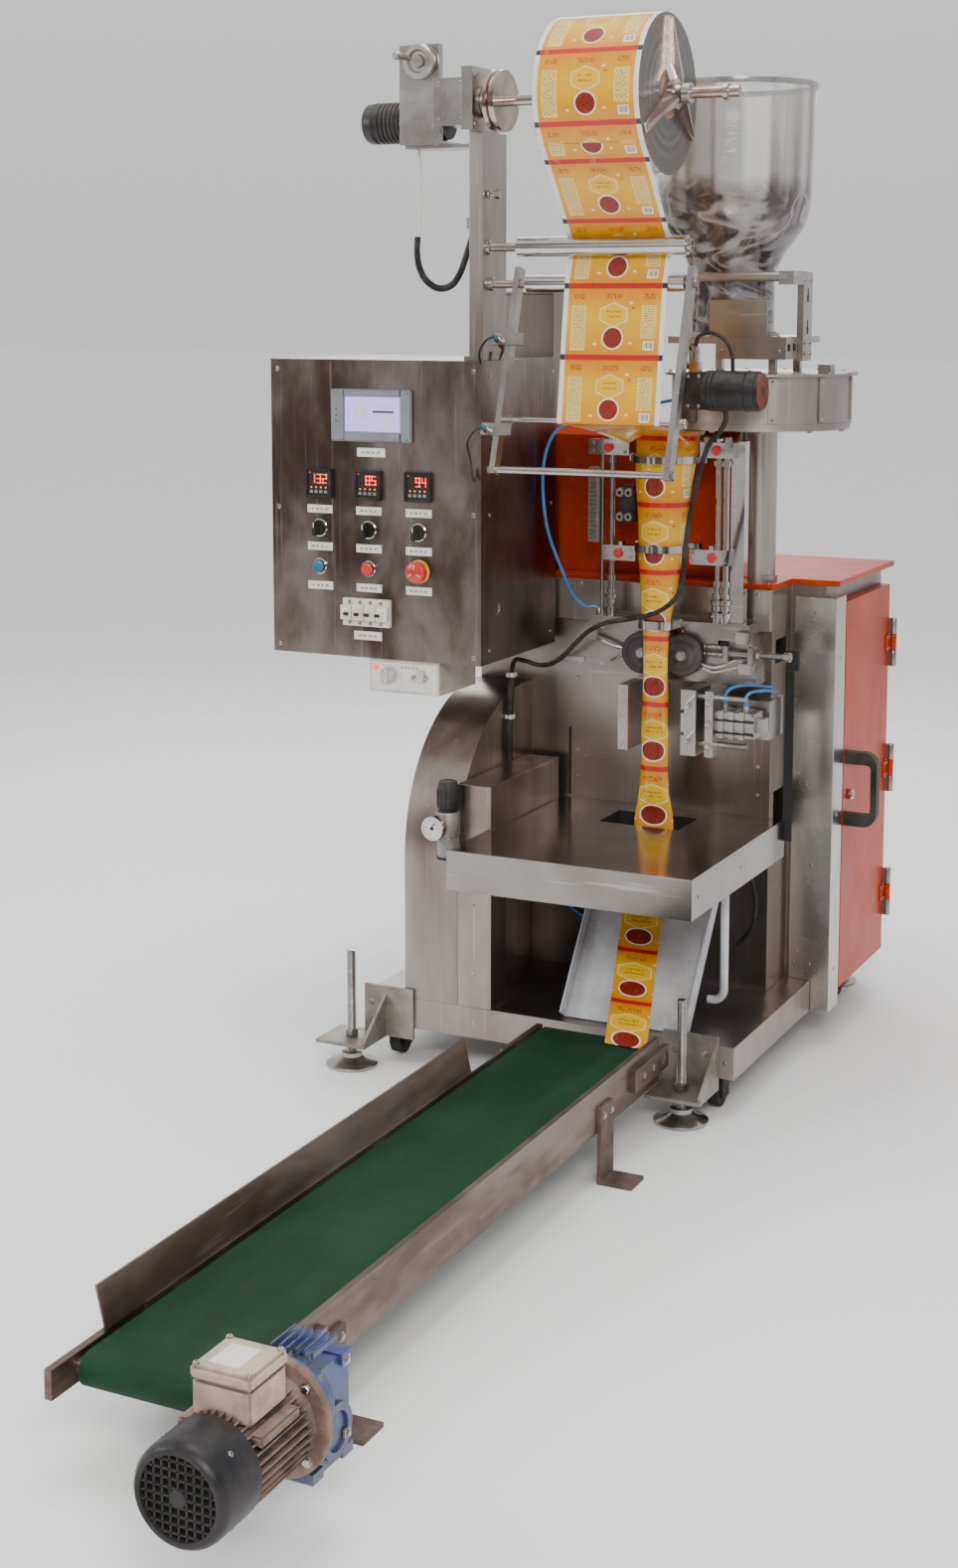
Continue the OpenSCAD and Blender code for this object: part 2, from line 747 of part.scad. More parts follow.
module position_handwheel() color("silver") place() {
    translate([-334, reel_y - 20 - face_gap, shaft_z + 66]) rotate([90, 0, 0]) {
        rotate_extrude($fn = 64) polygon([[0, 0], [handwheel_d / 2 - 2, 0], [handwheel_d / 2, 3],
            [handwheel_d / 2, 11], [handwheel_d / 2 - 3, 14], [handwheel_d / 2 - 9, 14],
            [handwheel_d / 2 - 12, 9],
            [11, 9], [9, 14], [0, 14]]);
        // tapered crank pin
        translate([-18, 6, 8]) rotate_extrude($fn = fine) polygon([[0, 0], [4, 0], [4, 8], [7, 46],
            [5, 50], [0, 50]]);
    }
}

module reel_shaft() color("silver") place() {
    translate([-244, reel_y, shaft_z]) rod_x(shaft_d, 244 + 205);
    translate([-211, reel_y, shaft_z]) rotate([0, 90, 0]) rotate_extrude($fn = 96)
        polygon([[shaft_d / 2 - 1, 0], [pulley_r, 0], [pulley_r, 6], [pulley_r - 5, 8], [pulley_r - 5, 12],
            [pulley_r, 14], [pulley_r, 20], [shaft_d / 2 - 1, 20]]);
    for (s = [0, 1]) translate([s == 0 ? -film_w / 2 : film_w / 2, reel_y, shaft_z])
        mirror([s == 0 ? 1 : 0, 0, 0]) star_clamp();
}

// three-armed clamp with a tapered hub and a ridge along each arm
module star_clamp() {
    tip = reel_r - 6;
    rotate([0, 90, 0]) {
        intersection() {
            linear_extrude(height = clamp_t) {
                circle(r = 24, $fn = smooth);
                for (a = [60, 180, 300]) rotate(a) polygon([[0, -15], [tip, -8], [tip, 8], [0, 15]]);
            }
            rotate_extrude($fn = 96) polygon([[0, 0], [tip, 0], [tip, 5], [46, 7], [24, 16], [0, 16]]);
        }
        intersection() {
            linear_extrude(height = clamp_t) for (a = [60, 180, 300]) rotate(a) translate([0, -3])
                square([tip - 4, 6]);
            rotate_extrude($fn = 96) polygon([[0, 0], [tip, 0], [tip, 6], [24, clamp_t], [0, clamp_t]]);
        }
        cylinder(r1 = 18, r2 = 15, h = clamp_t, $fn = smooth);
    }
}

module film_reel() color("gold") place() {
    translate([-film_w / 2, reel_y, shaft_z]) rotate([0, 90, 0]) rotate_extrude($fn = 128)
        translate([shaft_d / 2, 0]) square([reel_r - shaft_d / 2, film_w]);
}

module guide_roller(d, x0, x1, y, z) {
    difference() {
        translate([x0, y, z]) rod_x(d, x1 - x0);
        translate([x0 - 1, y, z]) rod_x(roller_shaft_d + 2 * turn_gap, x1 - x0 + 2, fine);
    }
}

module upper_guide_roller() color("silver") place()
    guide_roller(roller1_d, -170, 121, roller1_y, roller1_z);

module lower_guide_roller() color("silver") place()
    guide_roller(roller2_d, -160, 114, roller2_y, roller2_z);

module dancer_frame() color("silver") place() {
    bar_x0 = -182;
    bar_x1 = 118;
    for (x = [bar_x0, bar_x1]) difference() {
        union() {
            translate([x, roller2_y, roller2_z]) rotate([-arm_lean, 0, 0])
                translate([0, -10, -318]) cube([10, 20, 344]);
            // lug that carries the dancer bar
            translate([x, dancer_y - 30, dancer_z - 8]) cube([10, 40, 16]);
        }
        translate([x - 1, roller2_y, roller2_z]) rod_x(roller_shaft_d + 2 * turn_gap, 12, fine);
    }
    translate([bar_x0 + 1, dancer_y, dancer_z]) rod_x(dancer_d, bar_x1 - bar_x0 + 2, fine);
    translate([bar_x0 + 5, roller2_y - 310 * sin(arm_lean), roller2_z - 310 * cos(arm_lean)])
        rod_x(12, bar_x1 - bar_x0, fine);
    // plates and barrels of the two film sensors on the left arm
    for (drop = [96, 246]) translate([bar_x0, roller2_y, roller2_z]) rotate([-arm_lean, 0, 0])
        translate([0, 0, -drop]) {
            translate([-22, -13, -10]) cube([54, 3.5, 20]);
            translate([-12, -24, 0]) rotate([-12, 0, 0]) rod_y(12, 46, fine);
        }
}

// a point at distance r from c = [y, z], at an angle from +Z towards +Y
function around(c, r, a) = [c[0] + r * sin(a), c[1] + r * cos(a)];
function bearing(from, to) = atan2(to[0] - from[0], to[1] - from[1]);
function steps(a, b, n) = [for (i = [0:n]) a + (b - a) * i / n];

module film_web() color("orange") place() {
    reel = [reel_y, shaft_z];
    top = [roller1_y, roller1_z];
    low = [roller2_y, roller2_z];
    bar = [dancer_y, dancer_z];
    collar = [tube_y + 3.5, former_z];
    r0 = reel_r + face_gap;
    r1 = roller1_d / 2 + face_gap;
    r2 = roller2_d / 2 + face_gap;
    r3 = dancer_d / 2 + face_gap;
    // directions in which the web touches the reel, both rollers and the dancer bar
    a0 = bearing(reel, top) + acos((r0 + r1 + film_t) / norm(top - reel));
    a1 = bearing(top, low) - acos((r1 + r2 + film_t) / norm(low - top));
    a2 = bearing(low, bar) + 360 + acos((r2 - r3) / norm(bar - low));
    a3 = bearing(bar, collar) + acos(r3 / norm(collar - bar));
    back = concat([around(reel, r0, a0)], [for (a = steps(a0 - 180, a1, 6)) around(top, r1 + film_t, a)],
        [for (a = steps(a1 + 180, a2, 2)) around(low, r2, a)], [for (a = steps(a2, a3, 8))
        around(bar, r3, a)],
        [collar]);
    front = concat([around(reel, r0 + film_t, a0)], [for (a = steps(a0 - 180, a1, 6)) around(top, r1, a)],
        [for (a = steps(a1 + 180, a2, 2)) around(low, r2 + film_t, a)],
        [for (a = steps(a2, a3, 8)) around(bar, r3 + film_t, a)], [collar - [0, film_t]]);
    last = len(front) - 1;
    intersection() {
        translate([-film_w / 2, 0, 0])
            extrude_x(film_w) polygon(concat(back, [for (i = [last:-1:0]) front[i]]));
        // the web narrows between the dancer bar and the collar
        linear_extrude(height = shaft_z) polygon([[-film_w, dancer_y - 300], [film_w, dancer_y - 300],
            [film_w, dancer_y], [film_w / 2, dancer_y + 20], [former_r, collar[0]], [-former_r, collar[0]],
            [-film_w / 2, dancer_y + 20], [-film_w, dancer_y]]);
    }
}

// sections of the film from the collar to the belt: height, half width, half depth, sideways and depth offset
function tube_sections() = [[former_z, former_r, former_r, 0, 62], [1044, 51, 51, 0, 36],
    [984, 45, 45, 0, 28],
    [887, 38, 36, 0, 19], [821, 31, 24, 0, 8], [785, 26, 16, 0, 2], [740, tube_w / 2, 10, 0, 0],
    [480, tube_w / 2 + 4, 10, 0, 0], [433, pouch_w / 2, 4, 0, 0], [400, pouch_w / 2, 2, 3, -7],
    [330, pouch_w / 2, 2, 8, -45], [289, pouch_w / 2, 2, 13, -80], [208, pouch_w / 2, 2, 48, -203],
    [144, pouch_w / 2, 2, 84, -325]];

module pouch_tube() color("orange") place() {
    rows = tube_sections();
    sides = 16;
    last = len(rows) - 1;
    points = [for (r = rows) for (k = [0:sides - 1])
        [r[3] + r[1] * cos(360 * k / sides), tube_y + r[4] + r[2] * sin(360 * k / sides), r[0]]];
    walls = [for (i = [0:last - 1]) for (k = [0:sides - 1])
        let (a = i * sides + k, b = i * sides + (k + 1) % sides) [a, b, b + sides, a + sides]];
    polyhedron(points = points, faces = concat([[for (k = [sides - 1:-1:0]) k]], walls,
        [[for (k = [0:sides - 1]) last * sides + k]]), convexity = 6);
}

module hopper() color([0.8, 0.85, 0.9, 0.5]) place() {
    t = hopper_t;
    foot = drum_z + drum_h + 60;
    spread = hopper_neck_r + 34;
    knee_r = hopper_r - 8;
    translate([hopper_x, drum_y, 0]) rotate_extrude($fn = 96)
        polygon([[neck_r, foot], [neck_r + 12, foot], [neck_r + 12, foot + 6], [neck_r + t, foot + 6],
            [neck_r + t, hopper_low - 34], [hopper_neck_r + t, hopper_low], [spread + t, hopper_low + 46],
            [knee_r + t, hopper_knee], [hopper_r, hopper_top - 4], [hopper_r + 4, hopper_top - 3],
            [hopper_r + 4, hopper_top], [hopper_r - t, hopper_top], [knee_r, hopper_knee],
            [spread, hopper_low + 46], [hopper_neck_r, hopper_low], [neck_r, hopper_low - 34]]);
}

module filler_frame() color("silver") place() {
    top = drum_z + drum_h;
    side = 217;
    // plate that carries the hopper
    difference() {
        translate([10, drum_y - 90, top + 48]) cube([side - 10, 180, 12]);
        translate([hopper_x, drum_y, top]) cylinder(r = neck_r, h = 80, $fn = smooth);
    }
    // side plate with two keyholes
    difference() {
        translate([side, drum_y - 37, top + 20]) cube([11, 47, 146]);
        for (z = [70, 122]) translate([side - 1, drum_y - 14, top + z]) {
            rod_x(13, 13, fine);
            translate([0, -3, 0]) cube([13, 6, 17]);
        }
    }
    for (x = [40, 180]) for (y = [drum_y - 70, drum_y + 60])
        translate([x, y, top]) cube([12, 12, 48]);
    // cross rail, guide rod and cover of the cup drive
    translate([60, drum_y - 85, top + 158]) rod_x(16, side - 60, fine);
    translate([side - 14, drum_y - 92, top + 145]) cube([25, 70, 22]);
    translate([84, drum_y - 92, top + 60]) cube([100, 6, 60]);
    // double channel in front of the hopper plate
    difference() {
        translate([96, drum_y - 92, top + 23]) cube([side - 96, 60, 25]);
        for (y = [8, 36]) translate([95, drum_y - 92 + y, top + 36]) cube([side - 94, 16, 20]);
    }
}

module cup_drum() color("silver") place() {
    translate([drum_x, drum_y, drum_z]) {
        cylinder(r = drum_r, h = drum_h, $fn = 128);
        translate([0, 0, drum_h - 4]) cylinder(r = drum_r + 12, h = 4, $fn = 128);
        translate([0, 0, 8]) cylinder(r = drum_r + 2, h = 3, $fn = 128);
        // seam strips and the stop block on the flange
        for (a = [-118, -64, -30, 10]) rotate([0, 0, a]) translate([drum_r - 2, -7, 14])
            cube([5, 14, drum_h - 20]);
        translate([118, -60, drum_h]) cube([22, 22, 15]);
    }
    // column that carries the drum from the cabinet top
    translate([drum_post_x, drum_y + 60, cab_top]) {
        cylinder(d = 60, h = drum_z - cab_top, $fn = smooth);
        cylinder(d = drum_flange_d, h = 10, $fn = smooth);
    }
}

module filler_motor() color("black") place() {
    difference() {
        translate([fmotor_x0, fmotor_y, fmotor_z]) {
            translate([28, 0, 0]) rod_x(fmotor_d, fmotor_l - 34);
            translate([fmotor_l - 8, 0, 0]) rod_x(fmotor_d - 6, 8);
            translate([0, -30, -30]) cube([30, 60, 60]);
            translate([4, 20, -28]) cube([22, 60, 52]);
            translate([52, 0, 0]) rod_x(fmotor_d + 3, 3);
        }
        translate([drum_x, drum_y, drum_z - 1]) cylinder(r = drum_r + 12.5, h = drum_h + 2, $fn = 128);
    }
}

module guide_columns() color("silver") place() {
    y = 250;
    top = former_z - 16;
    block_h = 26;
    for (p = [[-105, gcol_d], [-123, 7], [89, 10], [104, gcol_d]]) {
        translate([p[0], y, draw_top]) cylinder(d = p[1], h = top - draw_top, $fn = fine);
        if (p[1] > 7) for (z = [draw_top, draw_top + 62, top - 42])
            translate([p[0], y, z]) cylinder(d = p[1] + 7, h = 9, $fn = fine);
    }
    translate([112, y, draw_top]) cube([24, 20, top - draw_top]);
    for (b = [[-144, 75, top - 28], [-118, 62, hoop_low - 23], [60, 60, top - 28], [43, 72, hoop_low - 23]])
        translate([b[0], y - 14, b[2]]) {
            cube([b[1], 28, block_h]);
            translate([b[1] / 2, 14, block_h]) cylinder(d = 13, h = 6, $fn = 6);
        }
    // round hoops that guide the film tube
    for (h = [[hoop_top, 235.2, 55.5, 62, 70], [hoop_low, 215.6, 41.5, 42, 58]]) difference() {
        translate([0, h[1], h[0]]) {
            cylinder(r = h[2] + 4.5, h = 12, $fn = 96);
            for (s = [-1, 1]) translate([s < 0 ? -h[4] : h[3] - 8, y - 8 - h[1], 0])
                cube([h[4] - h[3] + 8, 16, 12]);
        }
        translate([0, h[1], h[0] - 1]) cylinder(r = h[2], h = 14, $fn = 96);
    }
    // flat hoop above the draw wheels with its arms back to the draw unit
    translate([0, tube_y + 1.5, draw_top - 9]) difference() {
        union() {
            flat_hoop(31.5, 20.5);
            for (s = [-31.5, 25]) translate([s, 0, 0]) cube([6.5, draw_y - tube_y - 1.5, 14]);
        }
        translate([0, 0, -1]) scale([1, 1, 2]) flat_hoop(28, 17);
    }
}

// a flat oval plate, half_w to each side and half_d deep
module flat_hoop(half_w, half_d) {
    linear_extrude(height = 14) {
        for (s = [-1, 1]) translate([s * (half_w - half_d), 0]) circle(r = half_d, $fn = smooth);
        square([2 * (half_w - half_d), 2 * half_d], center = true);
    }
}

module draw_unit() color("silver") place() {
    low = wheel_z - 46;
    difference() {
        translate([0, draw_y, 0]) extrude_y(wall_y - draw_y)
            polygon([[-204, low], [-204, low + 18], [-135, draw_top], [150, draw_top], [165, low + 28],
                [165, low]]);
        translate([pod_left, wall_y - beam_out, beam_z]) cube([cab_right - pod_left, wall_y, cab_top]);
        // square hole beside the right wheel
        translate([96, draw_y - 1, wheel_z + 12]) cube([20, 24, 16]);
    }
    for (x = [-1, 1]) translate([x * (wheel_d + wheel_nip) / 2, 0, wheel_z]) {
        translate([0, wheel_y - 4, 0]) rod_y(12, wheel_t + 12, fine);
        translate([0, wheel_y + wheel_t + face_gap, 0]) rod_y(34, 6, fine);
    }
    // adjusting screw of the right wheel with its spring seats
    translate([150, tube_y + 40, wheel_z + 8]) rod_x(10, 78, fine);
    for (x = [112, 156]) translate([x, tube_y + 24, wheel_z - 6]) cube([9, 22, 28]);
    translate([121, tube_y + 35, wheel_z + 8]) rod_x(14, 35, fine);
}

module draw_wheel(x) {
    difference() {
        translate([x, wheel_y, wheel_z]) rod_y(wheel_d, wheel_t, 96);
        translate([x, wheel_y - 1, wheel_z]) rod_y(12 + 2 * turn_gap, wheel_t + 2, fine);
    }
}

module draw_wheel_left() color("dimgray") place() draw_wheel(-(wheel_d + wheel_nip) / 2);
module draw_wheel_right() color("dimgray") place() draw_wheel((wheel_d + wheel_nip) / 2);

module jaw_rods(x0, len, d) {
    for (z = [jaw_z0 + 16, jaw_z0 + jaw_h - 16])
        translate([x0, tube_y, z]) rod_x(d, len, fine);
}

module sealing_jaw() color("silver") place() {
    translate([jaw_x0, tube_y - jaw_d / 2, jaw_z0]) difference() {
        cube([jaw_t, jaw_d, jaw_h]);
        // grooves beside the sealing face
        for (z = [34, jaw_h - 40]) translate([-1, -1, z]) cube([7, jaw_d + 2, 6]);
    }
    jaw_rods(jaw_x0 + jaw_t - 1, 80, jaw_rod_d);
}

module fixed_jaw() color("silver") place() {
    translate([-54, tube_y - jaw_d / 2, jaw_z0]) cube([18, jaw_d, jaw_h]);
    translate([-54, tube_y + jaw_d / 2, jaw_z0 + 30]) cube([18, wall_y - tube_y - jaw_d / 2, 50]);
}

module jaw_cylinder() color("silver") place() {
    bx = jaw_x0 + jaw_t + 16;
    difference() {
        union() {
            translate([bx, tube_y - jaw_d / 2, jaw_z0]) cube([14, jaw_d, jaw_h]);
            translate([bx + 14, tube_y - 22, jaw_z0 + 35]) cube([68, 44, 42]);
            for (x = [20, 38, 56]) translate([bx + x, tube_y - 25, jaw_z0 + 33]) cube([9, 50, 46]);
            translate([bx + 82, tube_y - 12, jaw_z0 + 44]) cube([14, 24, 24]);
            translate([bx, tube_y + jaw_d / 2, jaw_z0 + 24]) cube([90, wall_y - tube_y - jaw_d / 2, 66]);
            // push-in fittings
            for (x = [24, 60]) translate([bx + x, tube_y, jaw_z0 + 77]) cylinder(d = 11, h = 9, $fn = fine);
        }
        jaw_rods(bx - 5, 30, jaw_rod_d + 2 * turn_gap);
    }
}

module conveyor_frame() color("silver") place() {
    len = rail_far - rail_near;
    difference() {
        union() {
            // right rail with its top lip
            translate([belt_x1 + rail_gap, rail_near, rail_z0]) cube([rail_t, len, rail_h]);
            translate([belt_x1 + 2, rail_near, rail_z1 - rail_t]) cube([rail_gap + rail_t - 2, len, rail_t]);
            // left rail
            translate([belt_x0 - rail_gap - rail_t, rail_near, rail_z0]) cube([rail_t, len, rail_h - 10]);
        }
        // slots for the tail shaft
        translate([belt_x0 - rail_gap - rail_t - 1, tail_y, belt_z])
            rod_x(dshaft_d + 2 * turn_gap, belt_w + 2 * rail_gap + 2 * rail_t + 2);
    }
    // left side guard
    gl = belt_x0 - rail_gap - rail_t;
    translate([0, rail_near - 78, 0]) extrude_y(len - 170)
        polygon([[gl, rail_z1 - 30], [gl, rail_z1 - 12], [gl - 12, rail_z1 + cguard_h - 8],
            [gl - 15, rail_z1 + cguard_h - 8], [gl - 3, rail_z1 - 12], [gl - 3, rail_z1 - 30]]);
    // slider bed under the belt and cross ties
    translate([belt_x0, drive_y + 40, belt_top - belt_t - 5]) cube([belt_w, belt_len - 80, 4]);
    for (y = [rail_near + 60, (rail_near + rail_far) / 2, rail_far - 90])
        translate([belt_x0 - rail_gap - 1, y, belt_z - 8])
            cube([belt_w + 2 * rail_gap + 2, 30, belt_r - belt_t + 4]);
    // bearing bars at both ends
    for (x = [belt_x0 - rail_gap - rail_t - bar_t, belt_x1 + rail_gap + rail_t]) {
        difference() {
            translate([x, drive_y - 55, belt_z - 18]) cube([bar_t, 230, 36]);
            translate([x - 1, drive_y, belt_z]) rod_x(dshaft_d + 2 * turn_gap, bar_t + 2);
        }
        difference() {
            translate([x, tail_y - 120, belt_z - 18]) cube([bar_t, 140, 36]);
            translate([x - 1, tail_y, belt_z]) rod_x(dshaft_d + 2 * turn_gap, bar_t + 2);
        }
    }
}

module belt_outline(r) {
    union() {
        translate([drive_y, belt_z]) circle(r = r, $fn = 64);
        translate([tail_y, belt_z]) circle(r = r, $fn = 64);
        translate([drive_y, belt_z - r]) square([belt_len, 2 * r]);
    }
}

module conveyor_belt() color("darkgreen") place() {
    translate([belt_x0, 0, 0]) extrude_x(belt_w) difference() {
        belt_outline(belt_r);
        belt_outline(belt_r - belt_t);
    }
}

module croller(y, x1) {
    translate([belt_x0 + 2, y, belt_z]) rod_x(croller_d, belt_w - 4, 64);
    translate([belt_x0 - rail_gap - rail_t - bar_t + 1, y, belt_z])
        rod_x(dshaft_d, x1 - belt_x0 + rail_gap + rail_t + bar_t - 1);
}

module drive_roller() color("dimgray") place() croller(drive_y, gear_x0 + gear_w / 2);
module tail_roller() color("dimgray") place() croller(tail_y, belt_x1 + rail_gap + rail_t + bar_t - 1);

module conveyor_feet() color("dimgray") place() {
    for (y = [drive_y + 200, tail_y - 222]) for (s = [0, 1]) {
        x = s == 0 ? belt_x1 + rail_gap + rail_t : belt_x0 - rail_gap - rail_t - strap_t;
        translate([x, y - strap_w / 2, 0]) cube([strap_t, strap_w, rail_z1 - 32]);
        translate([s == 0 ? x : x - 50, y - strap_w / 2, 0]) cube([56, strap_w, strap_t]);
    }
}

module worm_gearbox() color("royalblue") place() {
    side_y = flange_y + 8;
    side_d = drive_y - flange_y + 24;
    difference() {
        union() {
            translate([gear_x0, drive_y, belt_z]) rod_x(62, gear_w, 96);
            translate([gear_x0 + 5, side_y, belt_z - 36]) cube([gear_w - 10, side_d, 116]);
            translate([motor_x, flange_y, motor_z]) rod_y(92, 40, 96);
            translate([motor_x, flange_y, motor_z]) rod_y(mflange_d - 12, 9, 96);
            // machined mounting pads below, above and behind, with a rib between them
            for (z = [belt_z - 36, belt_z + 70]) for (y = [0, side_d - 22])
                translate([gear_x0, side_y + y, z]) cube([gear_w, 22, 12]);
            for (x = [gear_x0 + 12, gear_x1 - 20]) translate([x, side_y, belt_z - 30])
                cube([8, side_d + 4, 106]);
            translate([motor_x, side_y + side_d - 2, belt_z + 44]) rod_y(46, 8);
            // breather cap
            translate([motor_x - 8, side_y + side_d - 34, belt_z + 76]) {
                cylinder(d = 18, h = 12, $fn = 6);
                cylinder(d = 12, h = 18, $fn = fine);
            }
        }
        translate([gear_x0 - 1, drive_y, belt_z]) rod_x(dshaft_d + 2 * turn_gap, gear_w / 2 + 2);
        // recess round the output cover
        translate([gear_x1 - 4, drive_y, belt_z]) rod_x(44, 5);
    }
    // boss towards the bearing bar
    difference() {
        translate([belt_x1 + rail_gap + rail_t + bar_t, drive_y, belt_z])
            rod_x(50, gear_x0 - belt_x1 - rail_gap - rail_t - bar_t);
        translate([belt_x1, drive_y, belt_z]) rod_x(dshaft_d + 2 * turn_gap, 80);
    }
}

module conveyor_motor() color("tan") place() {
    face_r = cowl_d / 2 - 6;
    translate([motor_x, 0, motor_z]) {
        translate([0, flange_y - 10, 0]) rod_y(mflange_d, 10, 96);
        translate([0, cowl_y + 60, 0]) rod_y(mframe_d, motor_l - 70, 96);
        for (i = [0:rib_n - 1]) rotate([0, i * 360 / rib_n, 0])
            translate([-1.5, cowl_y + 60, mframe_d / 2 - 3]) cube([3, motor_l - 80, rib_h + 3]);
        // fan cowl with a sunk square grille round its boss
        difference() {
            translate([0, cowl_y, 0]) rotate([-90, 0, 0]) rotate_extrude($fn = 96)
                polygon([[0, 0], [face_r - 1, 0], [cowl_d / 2 - 2, 4], [cowl_d / 2, 12],
                    [cowl_d / 2, 68], [0, 68]]);
            translate([0, cowl_y - 1, 0]) rod_y(2 * face_r - 12, 5, 64);
        }
        intersection() {
            translate([0, cowl_y + 1, 0]) rod_y(2 * face_r - 11, 4, 64);
            for (k = [-3:3]) {
                translate([k * 11 - 1.5, cowl_y, -face_r]) cube([3, 6, 2 * face_r]);
                translate([-face_r, cowl_y, k * 11 - 1.5]) cube([2 * face_r, 6, 3]);
            }
        }
        translate([0, cowl_y + 0.5, 0]) rod_y(26, 6);
        // terminal box with its lid
        translate([-35, cowl_y + 80, mframe_d / 2]) cube([70, 70, 38]);
        translate([-37, cowl_y + 78, mframe_d / 2 + 38]) cube([74, 74, 12]);
    }
}

module filter_regulator() color("gainsboro") place() difference() {
    translate([reg_x, -24, 0]) {
        // bowl, body and setting knob
        translate([0, 0, 372]) rotate_extrude($fn = smooth) polygon([[0, 0], [6, 0], [6, 4], [14, 6],
            [19, 14], [19, 52],
            [20, 54], [20, 94], [17, 98], [17, 104], [19, 106], [18, 142], [15, 146], [0, 146]]);
        translate([-26, -22, 427]) cube([30, 62, 28]);
        // pressure gauge
        translate([-13, -34, 440]) rotate([-90, 0, 0]) rotate_extrude($fn = smooth)
            polygon([[0, 2], [17, 2], [17, 0], [20, 0], [21, 3], [21, 12], [18, 14], [0, 14]]);
    }
    translate([pod_left, 0, 0]) extrude_x(pod_w - 1) pod_profile();
}

module upper_housing() color("silver") place() {
    depth = 190;
    translate([housing_x0, wall_y + 47, cab_top]) difference() {
        union() {
            cube([housing_w, depth, housing_h]);
            // flange on the cabinet top and cap with an overhang
            translate([-8, -8, 0]) cube([housing_w + 8, depth + 16, 6]);
            translate([-4, -4, housing_h - 5]) cube([housing_w + 4, depth + 8, 5]);
        }
        // seam between the two front covers
        translate([8, -1, 236]) cube([housing_w - 16, 3, 4]);
    }
}

module rear_cover() color("orangered") place() {
    depth = 172;
    translate([cover_x0, wall_y + 44, cab_top]) {
        extrude_x(cover_w) polygon([[0, 0], [depth, 0], [depth, cover_h], [18, cover_h], [0, cover_h - 18]]);
        for (x = [0, cover_w - 4]) translate([x, -6, 0]) cube([4, depth, cover_h - 22]);
    }
}

cable_x = pod_right + 3.7;
cable_route = [[152, 104, fmotor_z - fmotor_d / 2 - face_gap], [152, 104, 1126], [142, 101, 1106],
    [122, 100, 1080],
    [96, 108, 992], [78, 122, 906], [69, 135, 853], [49, 142, 821], [13, 148, 798], [-32, 152, 786],
    [-79, 160, 775], [-114, 170, 757], [-145, 182, 731], [-172, 192, 706], [-198, 202, 690], [-226, 212, 684],
    [-252, 216, 688], [cable_x + 5, 213, 690], [cable_x, 208, 676], [cable_x, 203, 640], [cable_x, 196, 580],
    [cable_x, 196, tray_top + guard_h + face_gap]];
// wire and corrugated hose from the unwind unit to the post, and the bundle down to the control box
wire_route = [[-360, 20, shaft_z - 72 - face_gap], [-357, 20, 1530], [-357, 20, 1480], [-361, 20, 1420]];
hose_route = [[-363, 20, 1420], [-364, 20, 1398], [-360, 20, 1374], [-347, 20, 1352], [-324, 20, 1339],
    [-300, 20, 1344], [-284, 19, 1363], [-273, 18, 1388], [-265, 17, 1409],
    [post_x0 - clip_w / 2, 16.5, 1424],
    [post_x0 - clip_w / 2, 16.5, clip_z - face_gap]];
bundle_route = [[post_x0 - 7, 27.5, clip_z - face_gap], [post_x0 - 7, 28, 1424],
    [post_x0 - 14, 32, 1404], [-270, 38, 1380],
    [-272, 50, 1347], [-272, 68, 1304], [-265, 80, 1270], [-257, 88, 1240],
    [-254, 90, box_z + box_h + face_gap]];

module signal_cable() color("black") place() {
    sweep_tube(cable_route, 9, 8);
    sweep_tube(wire_route, 4, 8);
    sweep_tube(hose_route, 12, 10);
    sweep_tube(bundle_route, 8, 8);
}

air_route = [[-5.6, 285, 1150], [-28, 284, 1146], [-70, 276, 1133], [-130, 256, 1117], [-180, 236, 1107],
    [-204, 222, 1090], [-217, 213, 1050], [-217, 205, 994], [-208, 205, 926], [-191, 215, 869],
    [-171, 230, 812],
    [-153, 246, 789], [-139, 254, 788], [-130.5, 257, 783], [-130.5, 257, draw_top + face_gap]];

module air_tube() color("royalblue") place() sweep_tube(air_route, 6, 8);

base_frame();
main_cabinet();
side_pod();
corner_column();
shelf_beam();
cabinet_roof();
side_door();
door_handle();
discharge_tray();
tray_guard();
discharge_chute();
foot_brackets();
levelling_feet();
casters();
control_box();
control_panel();
touch_screen();
temperature_controllers();
selector_left();
selector_middle();
selector_right();
start_button();
stop_button();
emergency_stop();
circuit_breaker();
feeder_controller();
film_post();
unwind_unit();
unwind_motor();
position_handwheel();
reel_shaft();
film_reel();
upper_guide_roller();
lower_guide_roller();
dancer_frame();
film_web();
pouch_tube();
hopper();
filler_frame();
cup_drum();
filler_motor();
guide_columns();
draw_unit();
draw_wheel_left();
draw_wheel_right();
sealing_jaw();
fixed_jaw();
jaw_cylinder();
conveyor_frame();
conveyor_belt();
drive_roller();
tail_roller();
conveyor_feet();
worm_gearbox();
conveyor_motor();
filter_regulator();
upper_housing();
rear_cover();
signal_cable();
air_tube();
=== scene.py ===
"""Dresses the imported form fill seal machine: finishes, film, instruments and hardware."""
import logging
from dataclasses import dataclass
from enum import Enum
from itertools import product
from math import acos, atan2, cos, degrees, hypot, pi, radians, sin, sqrt
from typing import Callable, Iterable, Iterator, Optional, Sequence, Union

import bmesh
import bpy
from mathutils import Matrix, Vector


